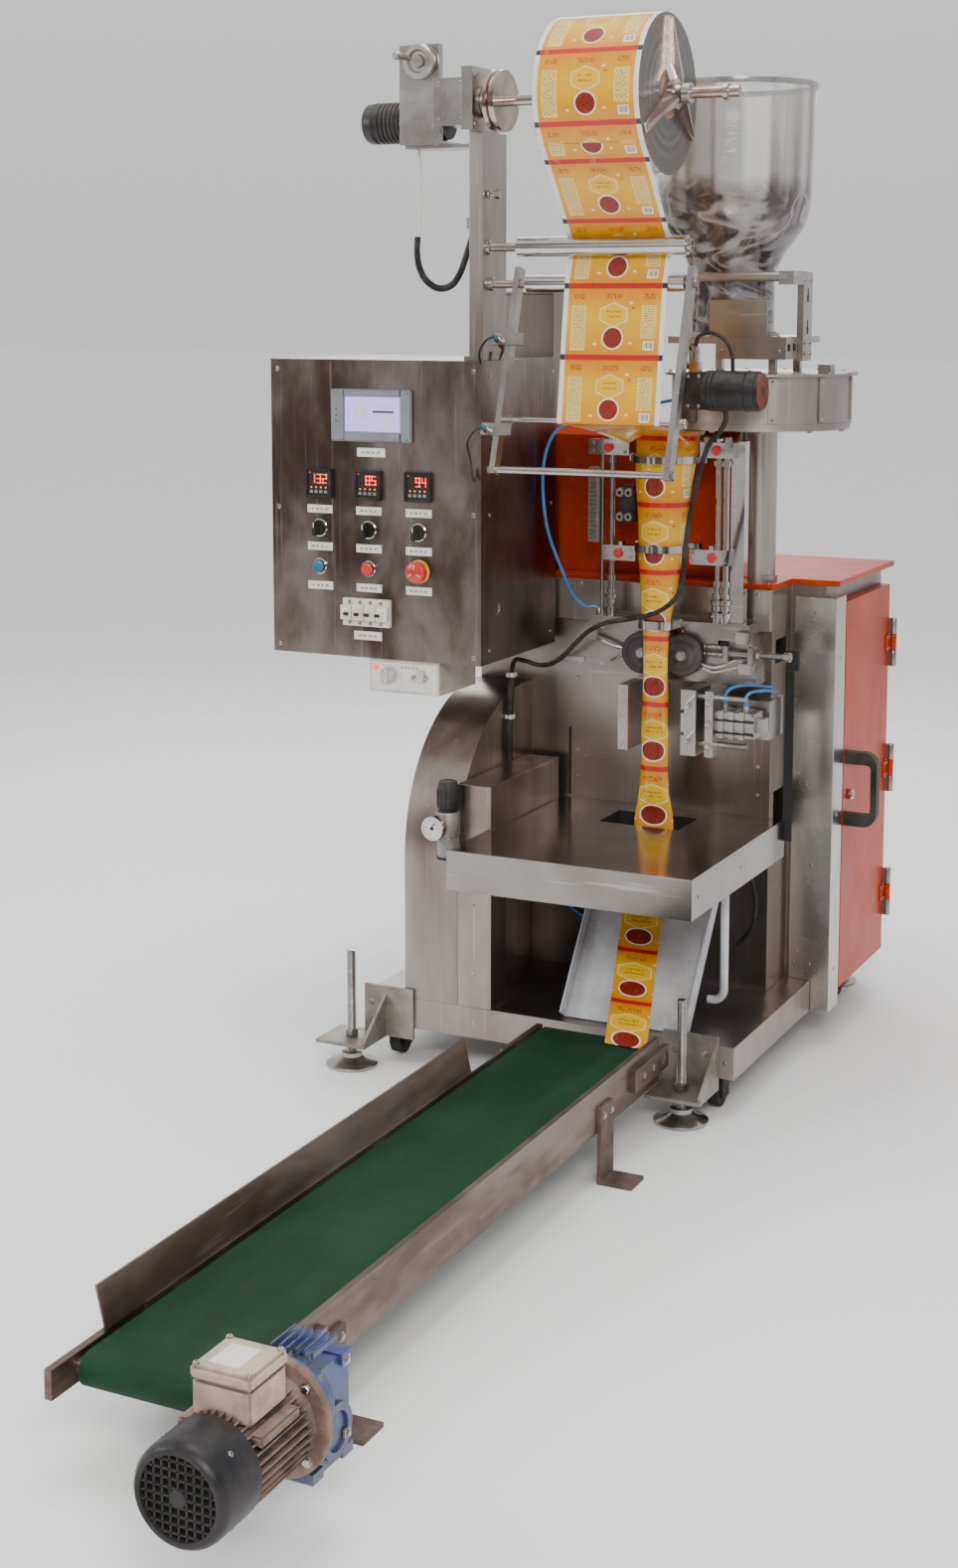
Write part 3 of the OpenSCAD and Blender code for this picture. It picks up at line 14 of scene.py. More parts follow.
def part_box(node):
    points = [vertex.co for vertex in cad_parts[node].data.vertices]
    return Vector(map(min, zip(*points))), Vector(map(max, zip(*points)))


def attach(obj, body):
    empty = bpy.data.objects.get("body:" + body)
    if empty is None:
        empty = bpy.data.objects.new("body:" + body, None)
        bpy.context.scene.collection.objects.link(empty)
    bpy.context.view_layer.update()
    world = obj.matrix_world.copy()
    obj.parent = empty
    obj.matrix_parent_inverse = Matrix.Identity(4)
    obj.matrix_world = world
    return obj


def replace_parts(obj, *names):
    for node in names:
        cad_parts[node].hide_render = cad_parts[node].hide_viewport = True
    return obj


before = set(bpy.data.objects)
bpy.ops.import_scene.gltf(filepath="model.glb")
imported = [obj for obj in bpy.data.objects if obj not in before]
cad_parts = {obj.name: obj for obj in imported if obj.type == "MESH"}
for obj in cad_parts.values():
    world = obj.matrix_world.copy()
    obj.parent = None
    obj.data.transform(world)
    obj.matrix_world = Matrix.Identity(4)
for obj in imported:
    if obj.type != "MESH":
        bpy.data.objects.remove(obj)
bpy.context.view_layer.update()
LOG = logging.getLogger("form_fill_seal")
MM = 0.001
ORIGIN = Vector((155.5, 379.0, 0.0))
PITCH = 114.0
FILM_WIDTH = 176.0
REEL_HEIGHT = 1637.0
FULL_TURN = 2 * pi
Socket = bpy.types.NodeSocket
Value = Union[float, Sequence[float], Socket]
Rgb = tuple[float, float, float]
Point = tuple[float, float, float]
Pair = tuple[float, float]
Profile = Sequence[Pair]
Route = Sequence[Sequence[float]]
Places = Union[float, Sequence[float]]


class Axis(Enum):
    """The direction along which a shape is extruded or turned."""

    X = 0
    Y = 1
    Z = 2

    def turn(self) -> Matrix:
        """Gives the rotation that takes +Z to this axis."""
        if self is Axis.X:
            return Matrix.Rotation(radians(90), 4, "Y")
        if self is Axis.Y:
            return Matrix.Rotation(radians(-90), 4, "X")
        return Matrix.Identity(4)


X, Y, Z = Axis


class Body(Enum):
    """The CAD bodies that pieces ride on."""

    MACHINE = "machine"
    DOOR = "door"
    REEL = "reel"
    HANDWHEEL = "handwheel"
    UPPER_ROLLER = "upper_roller"
    LOWER_ROLLER = "lower_roller"
    LEFT_WHEEL = "left_wheel"
    RIGHT_WHEEL = "right_wheel"
    JAW = "jaw"
    DRIVE = "drive_drum"
    TAIL = "tail_drum"
    SELECTOR_LEFT = "selector_a"
    SELECTOR_MIDDLE = "selector_b"
    SELECTOR_RIGHT = "selector_c"
    START = "start"
    STOP = "stop"
    EMERGENCY = "estop"


def box_mm(node: str) -> tuple[Vector, Vector]:
    """Gives the lowest and highest corner of a CAD node in millimetres."""
    low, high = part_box(node)
    return low / MM, high / MM


def around(count: int, first: float, step: float) -> Iterator[Pair]:
    """Gives the cosine and sine of angles in a row.

    Args:
        count: How many angles.
        first: The first angle in degrees.
        step: Degrees from one angle to the next.
    """
    for k in range(count):
        angle = radians(first + step * k)
        yield cos(angle), sin(angle)


def start_material(name: str) -> tuple[bpy.types.Material, "Graph", bpy.types.Node, Socket]:
    """Makes a material with nodes.

    Args:
        name: The material's name.

    Returns:
        The material, its graph, its Principled shader and the piece's own coordinates.
    """
    made = bpy.data.materials.new(name)
    made.use_nodes = True
    g = Graph(made.node_tree)
    return made, g, made.node_tree.nodes["Principled BSDF"], g.node("TexCoord").outputs["Object"]


class Graph:
    """A node tree with short calls for the nodes that the finishes use."""

    def __init__(self, tree: bpy.types.NodeTree) -> None:
        """Wraps a tree.

        Args:
            tree: The material's or group's node tree.
        """
        self.tree = tree

    def node(self, kind: str, **settings: object) -> bpy.types.Node:
        """Adds a node and sets its properties.

        Args:
            kind: The node's type name without its ShaderNode prefix.
            **settings: Properties to set.

        Returns:
            The new node.
        """
        made = self.tree.nodes.new("ShaderNode" + kind)
        for key, value in settings.items():
            setattr(made, key, value)
        return made

    def feed(self, socket: Socket, value: Optional[Value]) -> None:
        """Links a socket to another or sets its plain value."""
        if value is None:
            return
        if isinstance(value, bpy.types.NodeSocket):
            self.tree.links.new(value, socket)
        elif isinstance(value, (int, float)):
            size = getattr(socket.default_value, "__len__", None)
            socket.default_value = value if size is None else [value] * size()
        else:
            wide = len(socket.default_value)
            socket.default_value = (*value, 1.0)[:wide] if len(value) < wide else value

    def dress(self, shader: bpy.types.Node, **inputs: Value) -> None:
        """Feeds a shader's sockets, with spaces in their names as underscores."""
        for key, value in inputs.items():
            self.feed(shader.inputs[key.replace("_", " ")], value)

    def math(self, operation: str, a: Value, b: Optional[Value] = None,
             clamp: bool = False) -> Socket:
        """Adds a Math node and gives its result."""
        made = self.node("Math", operation=operation, use_clamp=clamp)
        for socket, value in zip(made.inputs, (a, b)):
            self.feed(socket, value)
        return made.outputs[0]

    def mul(self, a: Value, *more: Value, clamp: bool = False) -> Socket:
        """Multiplies values."""
        for b in more:
            a = self.math("MULTIPLY", a, b, clamp)
        return a

    def add(self, a: Value, b: Value, clamp: bool = False) -> Socket:
        """Adds two values."""
        return self.math("ADD", a, b, clamp)

    def sub(self, a: Value, b: Value) -> Socket:
        """Takes the second value from the first."""
        return self.math("SUBTRACT", a, b)

    def away(self, a: Value, b: Value = 0.0) -> Socket:
        """Gives how far one value is from another, without a sign."""
        return self.math("ABSOLUTE", self.sub(a, b) if b else a)

    def reach(self, a: Value, b: Value) -> Socket:
        """Gives the length of two parts at right angles."""
        return self.math("SQRT", self.add(self.mul(a, a), self.mul(b, b)))

    def mix(self, factor: Value, a: Value, b: Value, blend: str = "MIX") -> Socket:
        """Mixes two colours.

        Args:
            factor: How much of the second colour shows.
            a: The first colour.
            b: The second colour.
            blend: The blend mode.

        Returns:
            The mixed colour.
        """
        made = self.node("Mix", data_type="RGBA", blend_type=blend)
        self.feed(made.inputs["Factor"], factor)
        colours = [s for s in made.inputs if s.type == "RGBA"]
        self.feed(colours[0], a)
        self.feed(colours[1], b)
        return next(s for s in made.outputs if s.type == "RGBA")

    def place(self, vector: Socket, scale: Value, turn: Value = (0.0, 0.0, 0.0)) -> Socket:
        """Turns and scales a texture vector."""
        made = self.node("Mapping")
        self.feed(made.inputs["Vector"], vector)
        self.feed(made.inputs["Rotation"], turn)
        self.feed(made.inputs["Scale"], scale)
        return made.outputs[0]

    def noise(self, vector: Socket, scale: Value, detail: float = 3.0, rough: float = 0.55,
              warp: float = 0.0) -> Socket:
        """Adds noise and gives its factor."""
        made = self.node("TexNoise")
        self.feed(made.inputs["Vector"], vector)
        self.feed(made.inputs["Scale"], scale)
        made.inputs["Detail"].default_value = detail
        made.inputs["Roughness"].default_value = rough
        made.inputs["Distortion"].default_value = warp
        return made.outputs["Fac"]

    def inside(self, distance: Socket, edge: float, soft: float = 0.5) -> Socket:
        """Gives 1 inside a distance and 0 outside."""
        return self.sub(1.0, self.band(distance, edge - soft, edge + soft))

    def band(self, value: Socket, low: Value, high: Value) -> Socket:
        """Maps a value from low..high to a smooth 0..1."""
        made = self.node("MapRange", interpolation_type="SMOOTHSTEP")
        self.feed(made.inputs["Value"], value)
        self.feed(made.inputs["From Min"], low)
        self.feed(made.inputs["From Max"], high)
        return made.outputs["Result"]

    def ramp(self, value: Socket, stops: Sequence[tuple[float, Rgb]]) -> Socket:
        """Maps a value through a row of colours."""
        made = self.node("ValToRGB")
        self.feed(made.inputs[0], value)
        row = made.color_ramp.elements
        while len(row) < len(stops):
            row.new(0.5)
        for element, (at, colour) in zip(row, stops):
            element.position = at
            element.color = (*colour, 1.0)
        return made.outputs["Color"]

    def split(self, vector: Socket) -> tuple[Socket, Socket, Socket]:
        """Gives the three parts of a vector."""
        made = self.node("SeparateXYZ")
        self.feed(made.inputs[0], vector)
        return made.outputs[0], made.outputs[1], made.outputs[2]

    def join(self, x: Value, y: Value, z: Value = 0.0) -> Socket:
        """Makes a vector from three values."""
        made = self.node("CombineXYZ")
        for socket, value in zip(made.inputs, (x, y, z)):
            self.feed(socket, value)
        return made.outputs[0]

    def bump(self, height: Value, strength: float, distance: float = 0.001,
             normal: Optional[Socket] = None) -> Socket:
        """Adds a Bump node and gives its normal."""
        made = self.node("Bump")
        made.inputs["Strength"].default_value = strength
        made.inputs["Distance"].default_value = distance
        self.feed(made.inputs["Height"], height)
        self.feed(made.inputs["Normal"], normal)
        return made.outputs[0]

    def group(self, name: str, output: str, **values: Value) -> Socket:
        """Places a shared group.

        Args:
            name: The group's name.
            output: The output to give.
            **values: Input values, with spaces in their names as underscores.

        Returns:
            The named output.
        """
        made = self.node("Group", node_tree=bpy.data.node_groups[name])
        for key, value in values.items():
            self.feed(made.inputs[key.replace("_", " ")], value)
        return made.outputs[output]


class SharedGroups:
    """The effects that several finishes share, each built once."""

    def start(self, name: str, inputs: Sequence[tuple[str, str, float]],
              outputs: Sequence[tuple[str, str]]) -> tuple[Graph, dict[str, Socket],
                                                           bpy.types.Node]:
        """Makes an empty group.

        Args:
            name: The group's name.
            inputs: Name, kind and default of each input.
            outputs: Name and kind of each output.

        Returns:
            The graph, its input sockets by name and its output node.
        """
        tree = bpy.data.node_groups.new(name, "ShaderNodeTree")
        for label, kind, default in inputs:
            made = tree.interface.new_socket(label, in_out="INPUT", socket_type="NodeSocket" + kind)
            if kind == "Float":
                made.default_value = default
        for label, kind in outputs:
            tree.interface.new_socket(label, in_out="OUTPUT", socket_type="NodeSocket" + kind)
        graph = Graph(tree)
        entry = tree.nodes.new("NodeGroupInput")
        leave = tree.nodes.new("NodeGroupOutput")
        return graph, {s.name: s for s in entry.outputs if s.name}, leave

    def cloud(self) -> None:
        """Soft blotches that run down a sheet: wiped stains, and on the steel finishes painted
        reflections too.
        """
        g, i, out = self.start("cloud stain", [("Vector", "Vector", 0), ("Scale", "Float", 4),
                                               ("Low", "Float", 0.4), ("High", "Float", 0.65)],
                               [("Mask", "Float")])
        wide = g.noise(i["Vector"], i["Scale"], 3, 0.55, 0.6)
        finer = g.noise(i["Vector"], g.mul(i["Scale"], 5.3), 3, 0.6)
        both = g.add(g.mul(wide, 0.8), g.mul(finer, 0.2))
        g.feed(out.inputs["Mask"], g.band(both, i["Low"], i["High"]))

    def grain(self) -> None:
        """Fine brushing or rolling marks, as a height and a mask of longer scratches."""
        g, i, out = self.start("brushed grain", [("Vector", "Vector", 0), ("Scale", "Float", 900)],
                               [("Height", "Float"), ("Scratches", "Float")])
        fine = g.noise(i["Vector"], i["Scale"], 2, 0.6)
        long = g.noise(i["Vector"], g.mul(i["Scale"], 0.22), 2, 0.5, 0.3)
        g.feed(out.inputs["Height"], fine)
        g.feed(out.inputs["Scratches"], g.band(long, 0.62, 0.72))

    def dust(self) -> None:
        """Dust that lies on faces that look up and gathers in patches."""
        g, i, out = self.start("settled dust", [("Vector", "Vector", 0), ("Amount", "Float", 0.5),
                                                ("Scale", "Float", 25)], [("Mask", "Float")])
        up = g.split(g.node("NewGeometry").outputs["Normal"])[2]
        lying = g.band(up, -0.4, 1.0)
        patch = g.band(g.noise(i["Vector"], i["Scale"], 5, 0.65, 0.4), 0.36, 0.68)
        mask = g.mul(g.add(g.mul(lying, 0.7), 0.3), patch)
        g.feed(out.inputs["Mask"], g.mul(mask, i["Amount"], clamp=True))

    def crevice(self) -> None:
        """Grime and painted shade that fill corners and gaps, from ambient occlusion broken up by
        noise.
        """
        g, i, out = self.start("crevice dirt",
                               [("Vector", "Vector", 0), ("Distance", "Float", 0.01),
                                ("Amount", "Float", 0.5)], [("Mask", "Float")])
        near = g.node("AmbientOcclusion", samples=6)
        g.feed(near.inputs["Distance"], i["Distance"])
        shade = g.sub(1.0, near.outputs["AO"])
        rough = g.add(g.noise(i["Vector"], 60.0, 3, 0.6), 0.35)
        mask = g.mul(g.band(g.mul(shade, rough), 0.12, 0.62), i["Amount"], clamp=True)
        g.feed(out.inputs["Mask"], mask)

    def build(self) -> None:
        """Builds every group."""
        self.cloud()
        self.grain()
        self.dust()
        self.crevice()


@dataclass(frozen=True)
class Finish:
    """A surface of one stuff: its colours, gloss, grain, stains with painted reflections, and
    crevice grime with painted shade.
    """

    name: str
    base: Rgb
    # Colour of the blotches: stains, and on the steel finishes painted reflections too.
    stain_and_reflection: Rgb
    rough: float = 0.4
    stain_rough: float = 0.5
    metal: float = 0.0
    coat: float = 0.0
    coat_rough: float = 0.1
    blotch_scale: float = 4.0
    blotch_low: float = 0.4
    blotch_high: float = 0.65
    stretch: Point = (1.0, 1.0, 1.0)
    grain_stretch: Point = (1.0, 1.0, 1.0)
    grain_scale: float = 500.0
    grain_bump: float = 0.05
    # Colour, strength and reach of the darkening in corners and gaps: partly grime, partly painted
    # shade.
    dirt_and_shade: Rgb = (0.06, 0.045, 0.035)
    dirt_and_shade_amount: float = 0.5
    dirt_and_shade_reach: float = 0.012
    dust: Rgb = (0.42, 0.36, 0.3)
    dust_amount: float = 0.0
    dust_scale: float = 25.0
    dent: float = 0.0
    dent_scale: float = 9.0
    spec: float = 0.5
    # Below 1, faces that stand upright are darkened by this factor: painted shade.
    upright: float = 1.0

    def colour(self, g: Graph, vector: Socket) -> Socket:
        """Gives the surface's colour before crevice grime, painted crevice shade and dust; upright
        faces get painted shade.
        """
        # Blotches of the second colour: partly stains, partly painted reflections.
        mask = g.group("cloud stain", "Mask", Vector=g.place(vector, self.stretch),
                       Scale=self.blotch_scale, Low=self.blotch_low, High=self.blotch_high)
        colour = g.mix(mask, self.base, self.stain_and_reflection)
        if self.upright == 1.0:
            return colour
        # Upright faces are darkened by the upright factor: painted shade.
        lying = g.away(g.split(g.node("NewGeometry").outputs["Normal"])[2])
        return g.mix(g.band(lying, 0.75, 0.4), colour, (self.upright,) * 3, "MULTIPLY")

    def build(self) -> bpy.types.Material:
        """Makes the material.

        Returns:
            The new material.
        """
        made, g, shader, vector = start_material(self.name)
        colour = self.colour(g, vector)
        grain = g.place(vector, self.grain_stretch)
        height = g.group("brushed grain", "Height", Vector=grain, Scale=self.grain_scale)
        scratch = g.group("brushed grain", "Scratches", Vector=grain, Scale=self.grain_scale)
        colour = g.mix(g.mul(scratch, 0.25), colour, [min(1.0, c * 1.5 + 0.03) for c in self.base])
        rough = g.add(self.rough, g.mul(g.noise(vector, self.blotch_scale * 3, 4, 0.6),
                                        (self.stain_rough - self.rough) * 1.6))
        metal: Value = self.metal
        # Ambient occlusion darkens corners and gaps: partly grime, partly painted shade.
        if self.dirt_and_shade_amount > 0:
            mask = g.group("crevice dirt", "Mask", Vector=vector, Distance=self.dirt_and_shade_reach,
                           Amount=self.dirt_and_shade_amount)
            colour = g.mix(mask, colour, self.dirt_and_shade)
            rough = g.add(rough, g.mul(mask, 0.3))
            if self.metal:
                metal = g.mul(g.sub(1.0, g.mul(mask, 0.7)), metal)
        if self.dust_amount > 0:
            mask = g.group("settled dust", "Mask", Vector=vector, Amount=self.dust_amount,
                           Scale=self.dust_scale)
            colour = g.mix(mask, colour, self.dust)
            rough = g.add(rough, g.mul(mask, 0.5), clamp=True)
            if self.metal:
                metal = g.mul(g.sub(1.0, mask), metal)
        g.dress(shader, Base_Color=colour, Roughness=rough, Metallic=metal,
                Coat_Weight=self.coat, Coat_Roughness=self.coat_rough, Specular_IOR_Level=self.spec)
        normal = g.bump(height, self.grain_bump, 0.0004)
        if self.dent:
            normal = g.bump(g.noise(vector, self.dent_scale, 2, 0.4), self.dent, 0.004, normal)
        g.feed(shader.inputs["Normal"], normal)
        return made


FINISHES: tuple[Finish, ...] = (
    # On the steel finishes the blotches that run down the sheets are partly wiped stains, partly
    # painted reflections.
    Finish("sheet_steel", (0.44, 0.405, 0.38), (0.25, 0.2, 0.18), 0.2, 0.36, 1.0,
           blotch_scale=2.6, stretch=(1.4, 1.4, 0.5), blotch_low=0.34, blotch_high=0.68,
           grain_stretch=(1, 1, 0.03), dirt_and_shade_amount=0.45, dent=0.22, dent_scale=5),
    Finish("cabinet_steel", (0.36, 0.325, 0.3), (0.19, 0.15, 0.132), 0.2, 0.34, 1.0,
           blotch_scale=2.6, stretch=(1.6, 1.6, 0.45), blotch_low=0.34, blotch_high=0.66,
           grain_stretch=(1, 1, 0.03), dirt_and_shade_reach=0.02, dent=0.28, dent_scale=4),
    Finish("panel_steel", (0.27, 0.23, 0.21), (0.075, 0.052, 0.045), 0.24, 0.36, 1.0,
           blotch_scale=5.0, stretch=(1.3, 1, 0.6), blotch_low=0.36, blotch_high=0.66,
           grain_stretch=(1, 1, 0.025), dirt_and_shade_amount=0.25, dirt_and_shade_reach=0.006, dent=0.14,
           dent_scale=6),
    # Its upright faces are darkened to 0.58 of the top's colour: painted shade.
    Finish("tray_steel", (0.52, 0.49, 0.46), (0.33, 0.28, 0.25), 0.1, 0.18, 1.0,
           blotch_scale=3.0, blotch_low=0.35, blotch_high=0.75, grain_stretch=(0.05, 1, 1),
           dirt_and_shade_amount=0.35, dirt_and_shade_reach=0.01, dent=0.1, dent_scale=6, upright=0.58),
    Finish("column_steel", (0.58, 0.55, 0.52), (0.44, 0.4, 0.37), 0.18, 0.3, 1.0, blotch_low=0.35,
           blotch_high=0.75, stretch=(2, 2, 0.4), grain_stretch=(1, 1, 0.03), dirt_and_shade_amount=0.3),
    Finish("bright_steel", (0.5, 0.48, 0.46), (0.3, 0.27, 0.25), 0.16, 0.26, 1.0, blotch_scale=9,
           blotch_low=0.3, blotch_high=0.8, grain_scale=700, dirt_and_shade_amount=0.35, dirt_and_shade_reach=0.004),
    Finish("chrome_rod", (0.62, 0.605, 0.59), (0.44, 0.41, 0.39), 0.06, 0.12, 1.0,
           blotch_scale=9, blotch_low=0.3, blotch_high=0.8, grain_stretch=(0.06, 1, 1),
           grain_bump=0.02, dirt_and_shade_amount=0.25, dirt_and_shade_reach=0.003),
    Finish("machined_aluminium", (0.5, 0.485, 0.465), (0.33, 0.295, 0.27), 0.24, 0.36,
           1.0, blotch_scale=7, blotch_low=0.3, blotch_high=0.8,
           grain_stretch=(0.08, 1, 1), dirt_and_shade_amount=0.4, dirt_and_shade_reach=0.004),
    Finish("clamp_steel", (0.52, 0.455, 0.43), (0.34, 0.235, 0.2), 0.1, 0.18, 1.0,
           blotch_scale=14, blotch_low=0.35, blotch_high=0.75, dirt_and_shade_amount=0.3, dirt_and_shade_reach=0.004),
    Finish("plate_steel", (0.36, 0.34, 0.325), (0.2, 0.17, 0.155), 0.2, 0.32, 1.0,
           blotch_scale=7, blotch_low=0.3, blotch_high=0.8, grain_stretch=(0.08, 1, 1),
           dirt_and_shade_reach=0.008, dent=0.1),
    Finish("cast_bracket", (0.36, 0.335, 0.305), (0.22, 0.185, 0.16), 0.36, 0.5, 0.9,
           blotch_scale=14, grain_scale=260, grain_bump=0.25, dirt_and_shade_reach=0.006, dust_amount=0.1),
    Finish("chute_sheet", (0.62, 0.64, 0.68), (0.45, 0.46, 0.49), 0.35, 0.5, 0.35,
           blotch_scale=9, dust_amount=0.2),
    # The door and roof are polished stainless steel: their orange is a painted reflection of an
    # orange backdrop. The rear cover's orange is paint.
    Finish("orange_paint_and_reflection", (0.52, 0.05, 0.0), (0.36, 0.022, 0.0), 0.24, 0.36, 0.3,
           spec=0.2, blotch_scale=3.5, stretch=(1.6, 1.6, 0.5), blotch_low=0.3,
           blotch_high=0.72, grain_scale=300, grain_bump=0.08, dirt_and_shade_amount=0.45, dent=0.3,
           dent_scale=7),
    Finish("belt_cover", (0.0015, 0.026, 0.0095), (0.004, 0.04, 0.017), 0.55, 0.7,
           blotch_scale=7, stretch=(1, 0.35, 1), grain_scale=1500, grain_bump=0.2,
           dirt_and_shade_amount=0.3, dust=(0.018, 0.055, 0.03), dust_amount=0.2, dust_scale=9, spec=0.25),
    Finish("conveyor_steel", (0.27, 0.215, 0.19), (0.12, 0.08, 0.066), 0.28, 0.45, 0.95,
           blotch_scale=6, stretch=(1, 0.4, 1.6), grain_stretch=(1, 0.05, 1),
           dirt_and_shade_amount=0.6, dirt_and_shade_reach=0.01, dust_amount=0.1, dust=(0.13, 0.095, 0.08), dent=0.15),
    Finish("brown_iron", (0.075, 0.05, 0.042), (0.15, 0.105, 0.085), 0.45, 0.7, 0.3, blotch_scale=22,
           grain_scale=220, grain_bump=0.3, dust_amount=0.4, dust=(0.25, 0.19, 0.16)),
    Finish("motor_casting", (0.25, 0.17, 0.13), (0.12, 0.07, 0.05), 0.5, 0.75, 0.1,
           blotch_scale=22, grain_scale=200, grain_bump=0.35, dirt_and_shade=(0.025, 0.014, 0.01),
           dirt_and_shade_amount=0.95, dirt_and_shade_reach=0.01, dust_amount=0.4, dust=(0.34, 0.26, 0.2)),
    Finish("terminal_box", (0.5, 0.4, 0.3), (0.32, 0.235, 0.17), 0.42, 0.62,
           blotch_scale=20, grain_scale=300, grain_bump=0.12, dirt_and_shade=(0.1, 0.06, 0.045),
           dirt_and_shade_amount=0.7, dust_amount=0.2, dust=(0.6, 0.5, 0.4)),
    Finish("cowl_black", (0.007, 0.007, 0.009), (0.02, 0.019, 0.02), 0.24, 0.42,
           spec=0.3, blotch_scale=16, grain_scale=240, grain_bump=0.1,
           dirt_and_shade=(0.05, 0.036, 0.03), dust_amount=0.14, dust=(0.12, 0.095, 0.08)),
    Finish("blue_enamel", (0.01, 0.045, 0.19), (0.05, 0.07, 0.12), 0.3, 0.5, 0.0, 0.4,
           0.2, blotch_scale=30, blotch_low=0.42, blotch_high=0.6, grain_scale=220,
           grain_bump=0.2, dirt_and_shade=(0.03, 0.018, 0.014), dirt_and_shade_amount=0.9, dirt_and_shade_reach=0.008,
           dust_amount=0.25, dust=(0.22, 0.18, 0.16)),
    Finish("black_plastic", (0.008, 0.008, 0.009), (0.02, 0.019, 0.018), 0.34, 0.5,
           spec=0.3, blotch_scale=20, grain_scale=900, grain_bump=0.12, dirt_and_shade_amount=0.2,
           dust_amount=0.12),
    Finish("handle_black", (0.012, 0.011, 0.011), (0.03, 0.027, 0.025), 0.4, 0.55,
           spec=0.3, blotch_scale=20, grain_bump=0.25, dirt_and_shade_amount=0.2, dust_amount=0.15),
    Finish("black_rubber", (0.007, 0.007, 0.007), (0.02, 0.019, 0.018), 0.5, 0.7,
           spec=0.3, blotch_scale=26, grain_scale=700, grain_bump=0.2, dirt_and_shade_amount=0.0,
           dust_amount=0.2),
    Finish("wheel_rubber", (0.03, 0.024, 0.022), (0.075, 0.06, 0.055), 0.36, 0.55,
           blotch_scale=26, grain_bump=0.2, dirt_and_shade_amount=0.4),
    Finish("black_metal", (0.01, 0.01, 0.011), (0.028, 0.026, 0.025), 0.24, 0.42,
           spec=0.35, blotch_scale=18, grain_scale=400, grain_bump=0.08, dust_amount=0.15),
    Finish("red_plastic", (0.62, 0.022, 0.018), (0.42, 0.012, 0.01), 0.22, 0.36, 0.0, 0.4,
           0.1, blotch_scale=40, dirt_and_shade_amount=0.4, dirt_and_shade_reach=0.004),
    Finish("blue_cap", (0.02, 0.16, 0.24), (0.012, 0.09, 0.15), 0.22, 0.34, 0.0, 0.4,
           0.1, blotch_scale=40, dirt_and_shade_amount=0.3, dirt_and_shade_reach=0.004),
    Finish("blue_hose", (0.03, 0.19, 0.46), (0.02, 0.13, 0.34), 0.25, 0.4, 0.0, 0.3,
           0.15, blotch_scale=30, dirt_and_shade_amount=0.0),
    Finish("white_cord", (0.72, 0.7, 0.67), (0.55, 0.52, 0.48), 0.4, 0.6,
           blotch_scale=40, dirt_and_shade_amount=0.0),
    Finish("ivory_plastic", (0.74, 0.7, 0.63), (0.62, 0.56, 0.48), 0.32, 0.45,
           blotch_scale=18, grain_scale=600, dirt_and_shade=(0.12, 0.09, 0.07), dirt_and_shade_amount=0.6,
           dirt_and_shade_reach=0.005),
    Finish("controller_sheet", (0.62, 0.59, 0.55), (0.48, 0.43, 0.39), 0.35, 0.5, 0.3,
           blotch_scale=12, dirt_and_shade_amount=0.6),
    Finish("bezel_grey", (0.2, 0.215, 0.235), (0.16, 0.17, 0.18), 0.36, 0.46,
           blotch_scale=14, grain_scale=800, dirt_and_shade_amount=0.3),
    Finish("label_white", (0.76, 0.73, 0.69), (0.66, 0.62, 0.57), 0.35, 0.5,
           blotch_scale=25, dirt_and_shade_amount=0.2),
    Finish("label_ink", (0.24, 0.22, 0.21), (0.34, 0.31, 0.29), 0.5, 0.6,
           blotch_scale=60, dirt_and_shade_amount=0.0),
    # Near black: the real dark of display windows, needles and dial marks, and painted shade in
    # holes, slots, gaps and the cowl's inside.
    Finish("dark_trim_and_gap_shade", (0.006, 0.006, 0.006), (0.012, 0.011, 0.01), 0.7, 0.8, dirt_and_shade_amount=0.0),
    Finish("card_core", (0.35, 0.25, 0.16), (0.26, 0.18, 0.11), 0.7, 0.8,
           blotch_scale=30, dirt_and_shade_amount=0.3),
    Finish("yellow_cap", (0.85, 0.5, 0.03), (0.7, 0.36, 0.02), 0.3, 0.45, blotch_scale=40,
           dirt_and_shade_reach=0.004),
    Finish("copper_face", (0.3, 0.085, 0.055), (0.2, 0.05, 0.035), 0.3, 0.45, 0.8,
           blotch_scale=50, dirt_and_shade_amount=0.4),
    Finish("sight_bowl", (0.26, 0.26, 0.25), (0.17, 0.165, 0.155), 0.12, 0.2, 0.0, 0.6,
           0.05, blotch_scale=30, dirt_and_shade_amount=0.3),
)


class Palette:
    """All materials by name, made when first asked for."""

    def __init__(self) -> None:
        """Sorts the finishes by name."""
        self.recipes: dict[str, Callable[[], bpy.types.Material]] = {f.name: f.build
                                                                     for f in FINISHES}
        self.made: dict[str, bpy.types.Material] = {}

    def add(self, name: str, recipe: Callable[[], bpy.types.Material]) -> None:
        """Adds a material that isn't a plain finish."""
        self.recipes[name] = recipe

    def get(self, name: str) -> bpy.types.Material:
        """Gives a material, and makes it the first time."""
        if name not in self.made:
            self.made[name] = self.recipes[name]()
        return self.made[name]


PALETTE = Palette()


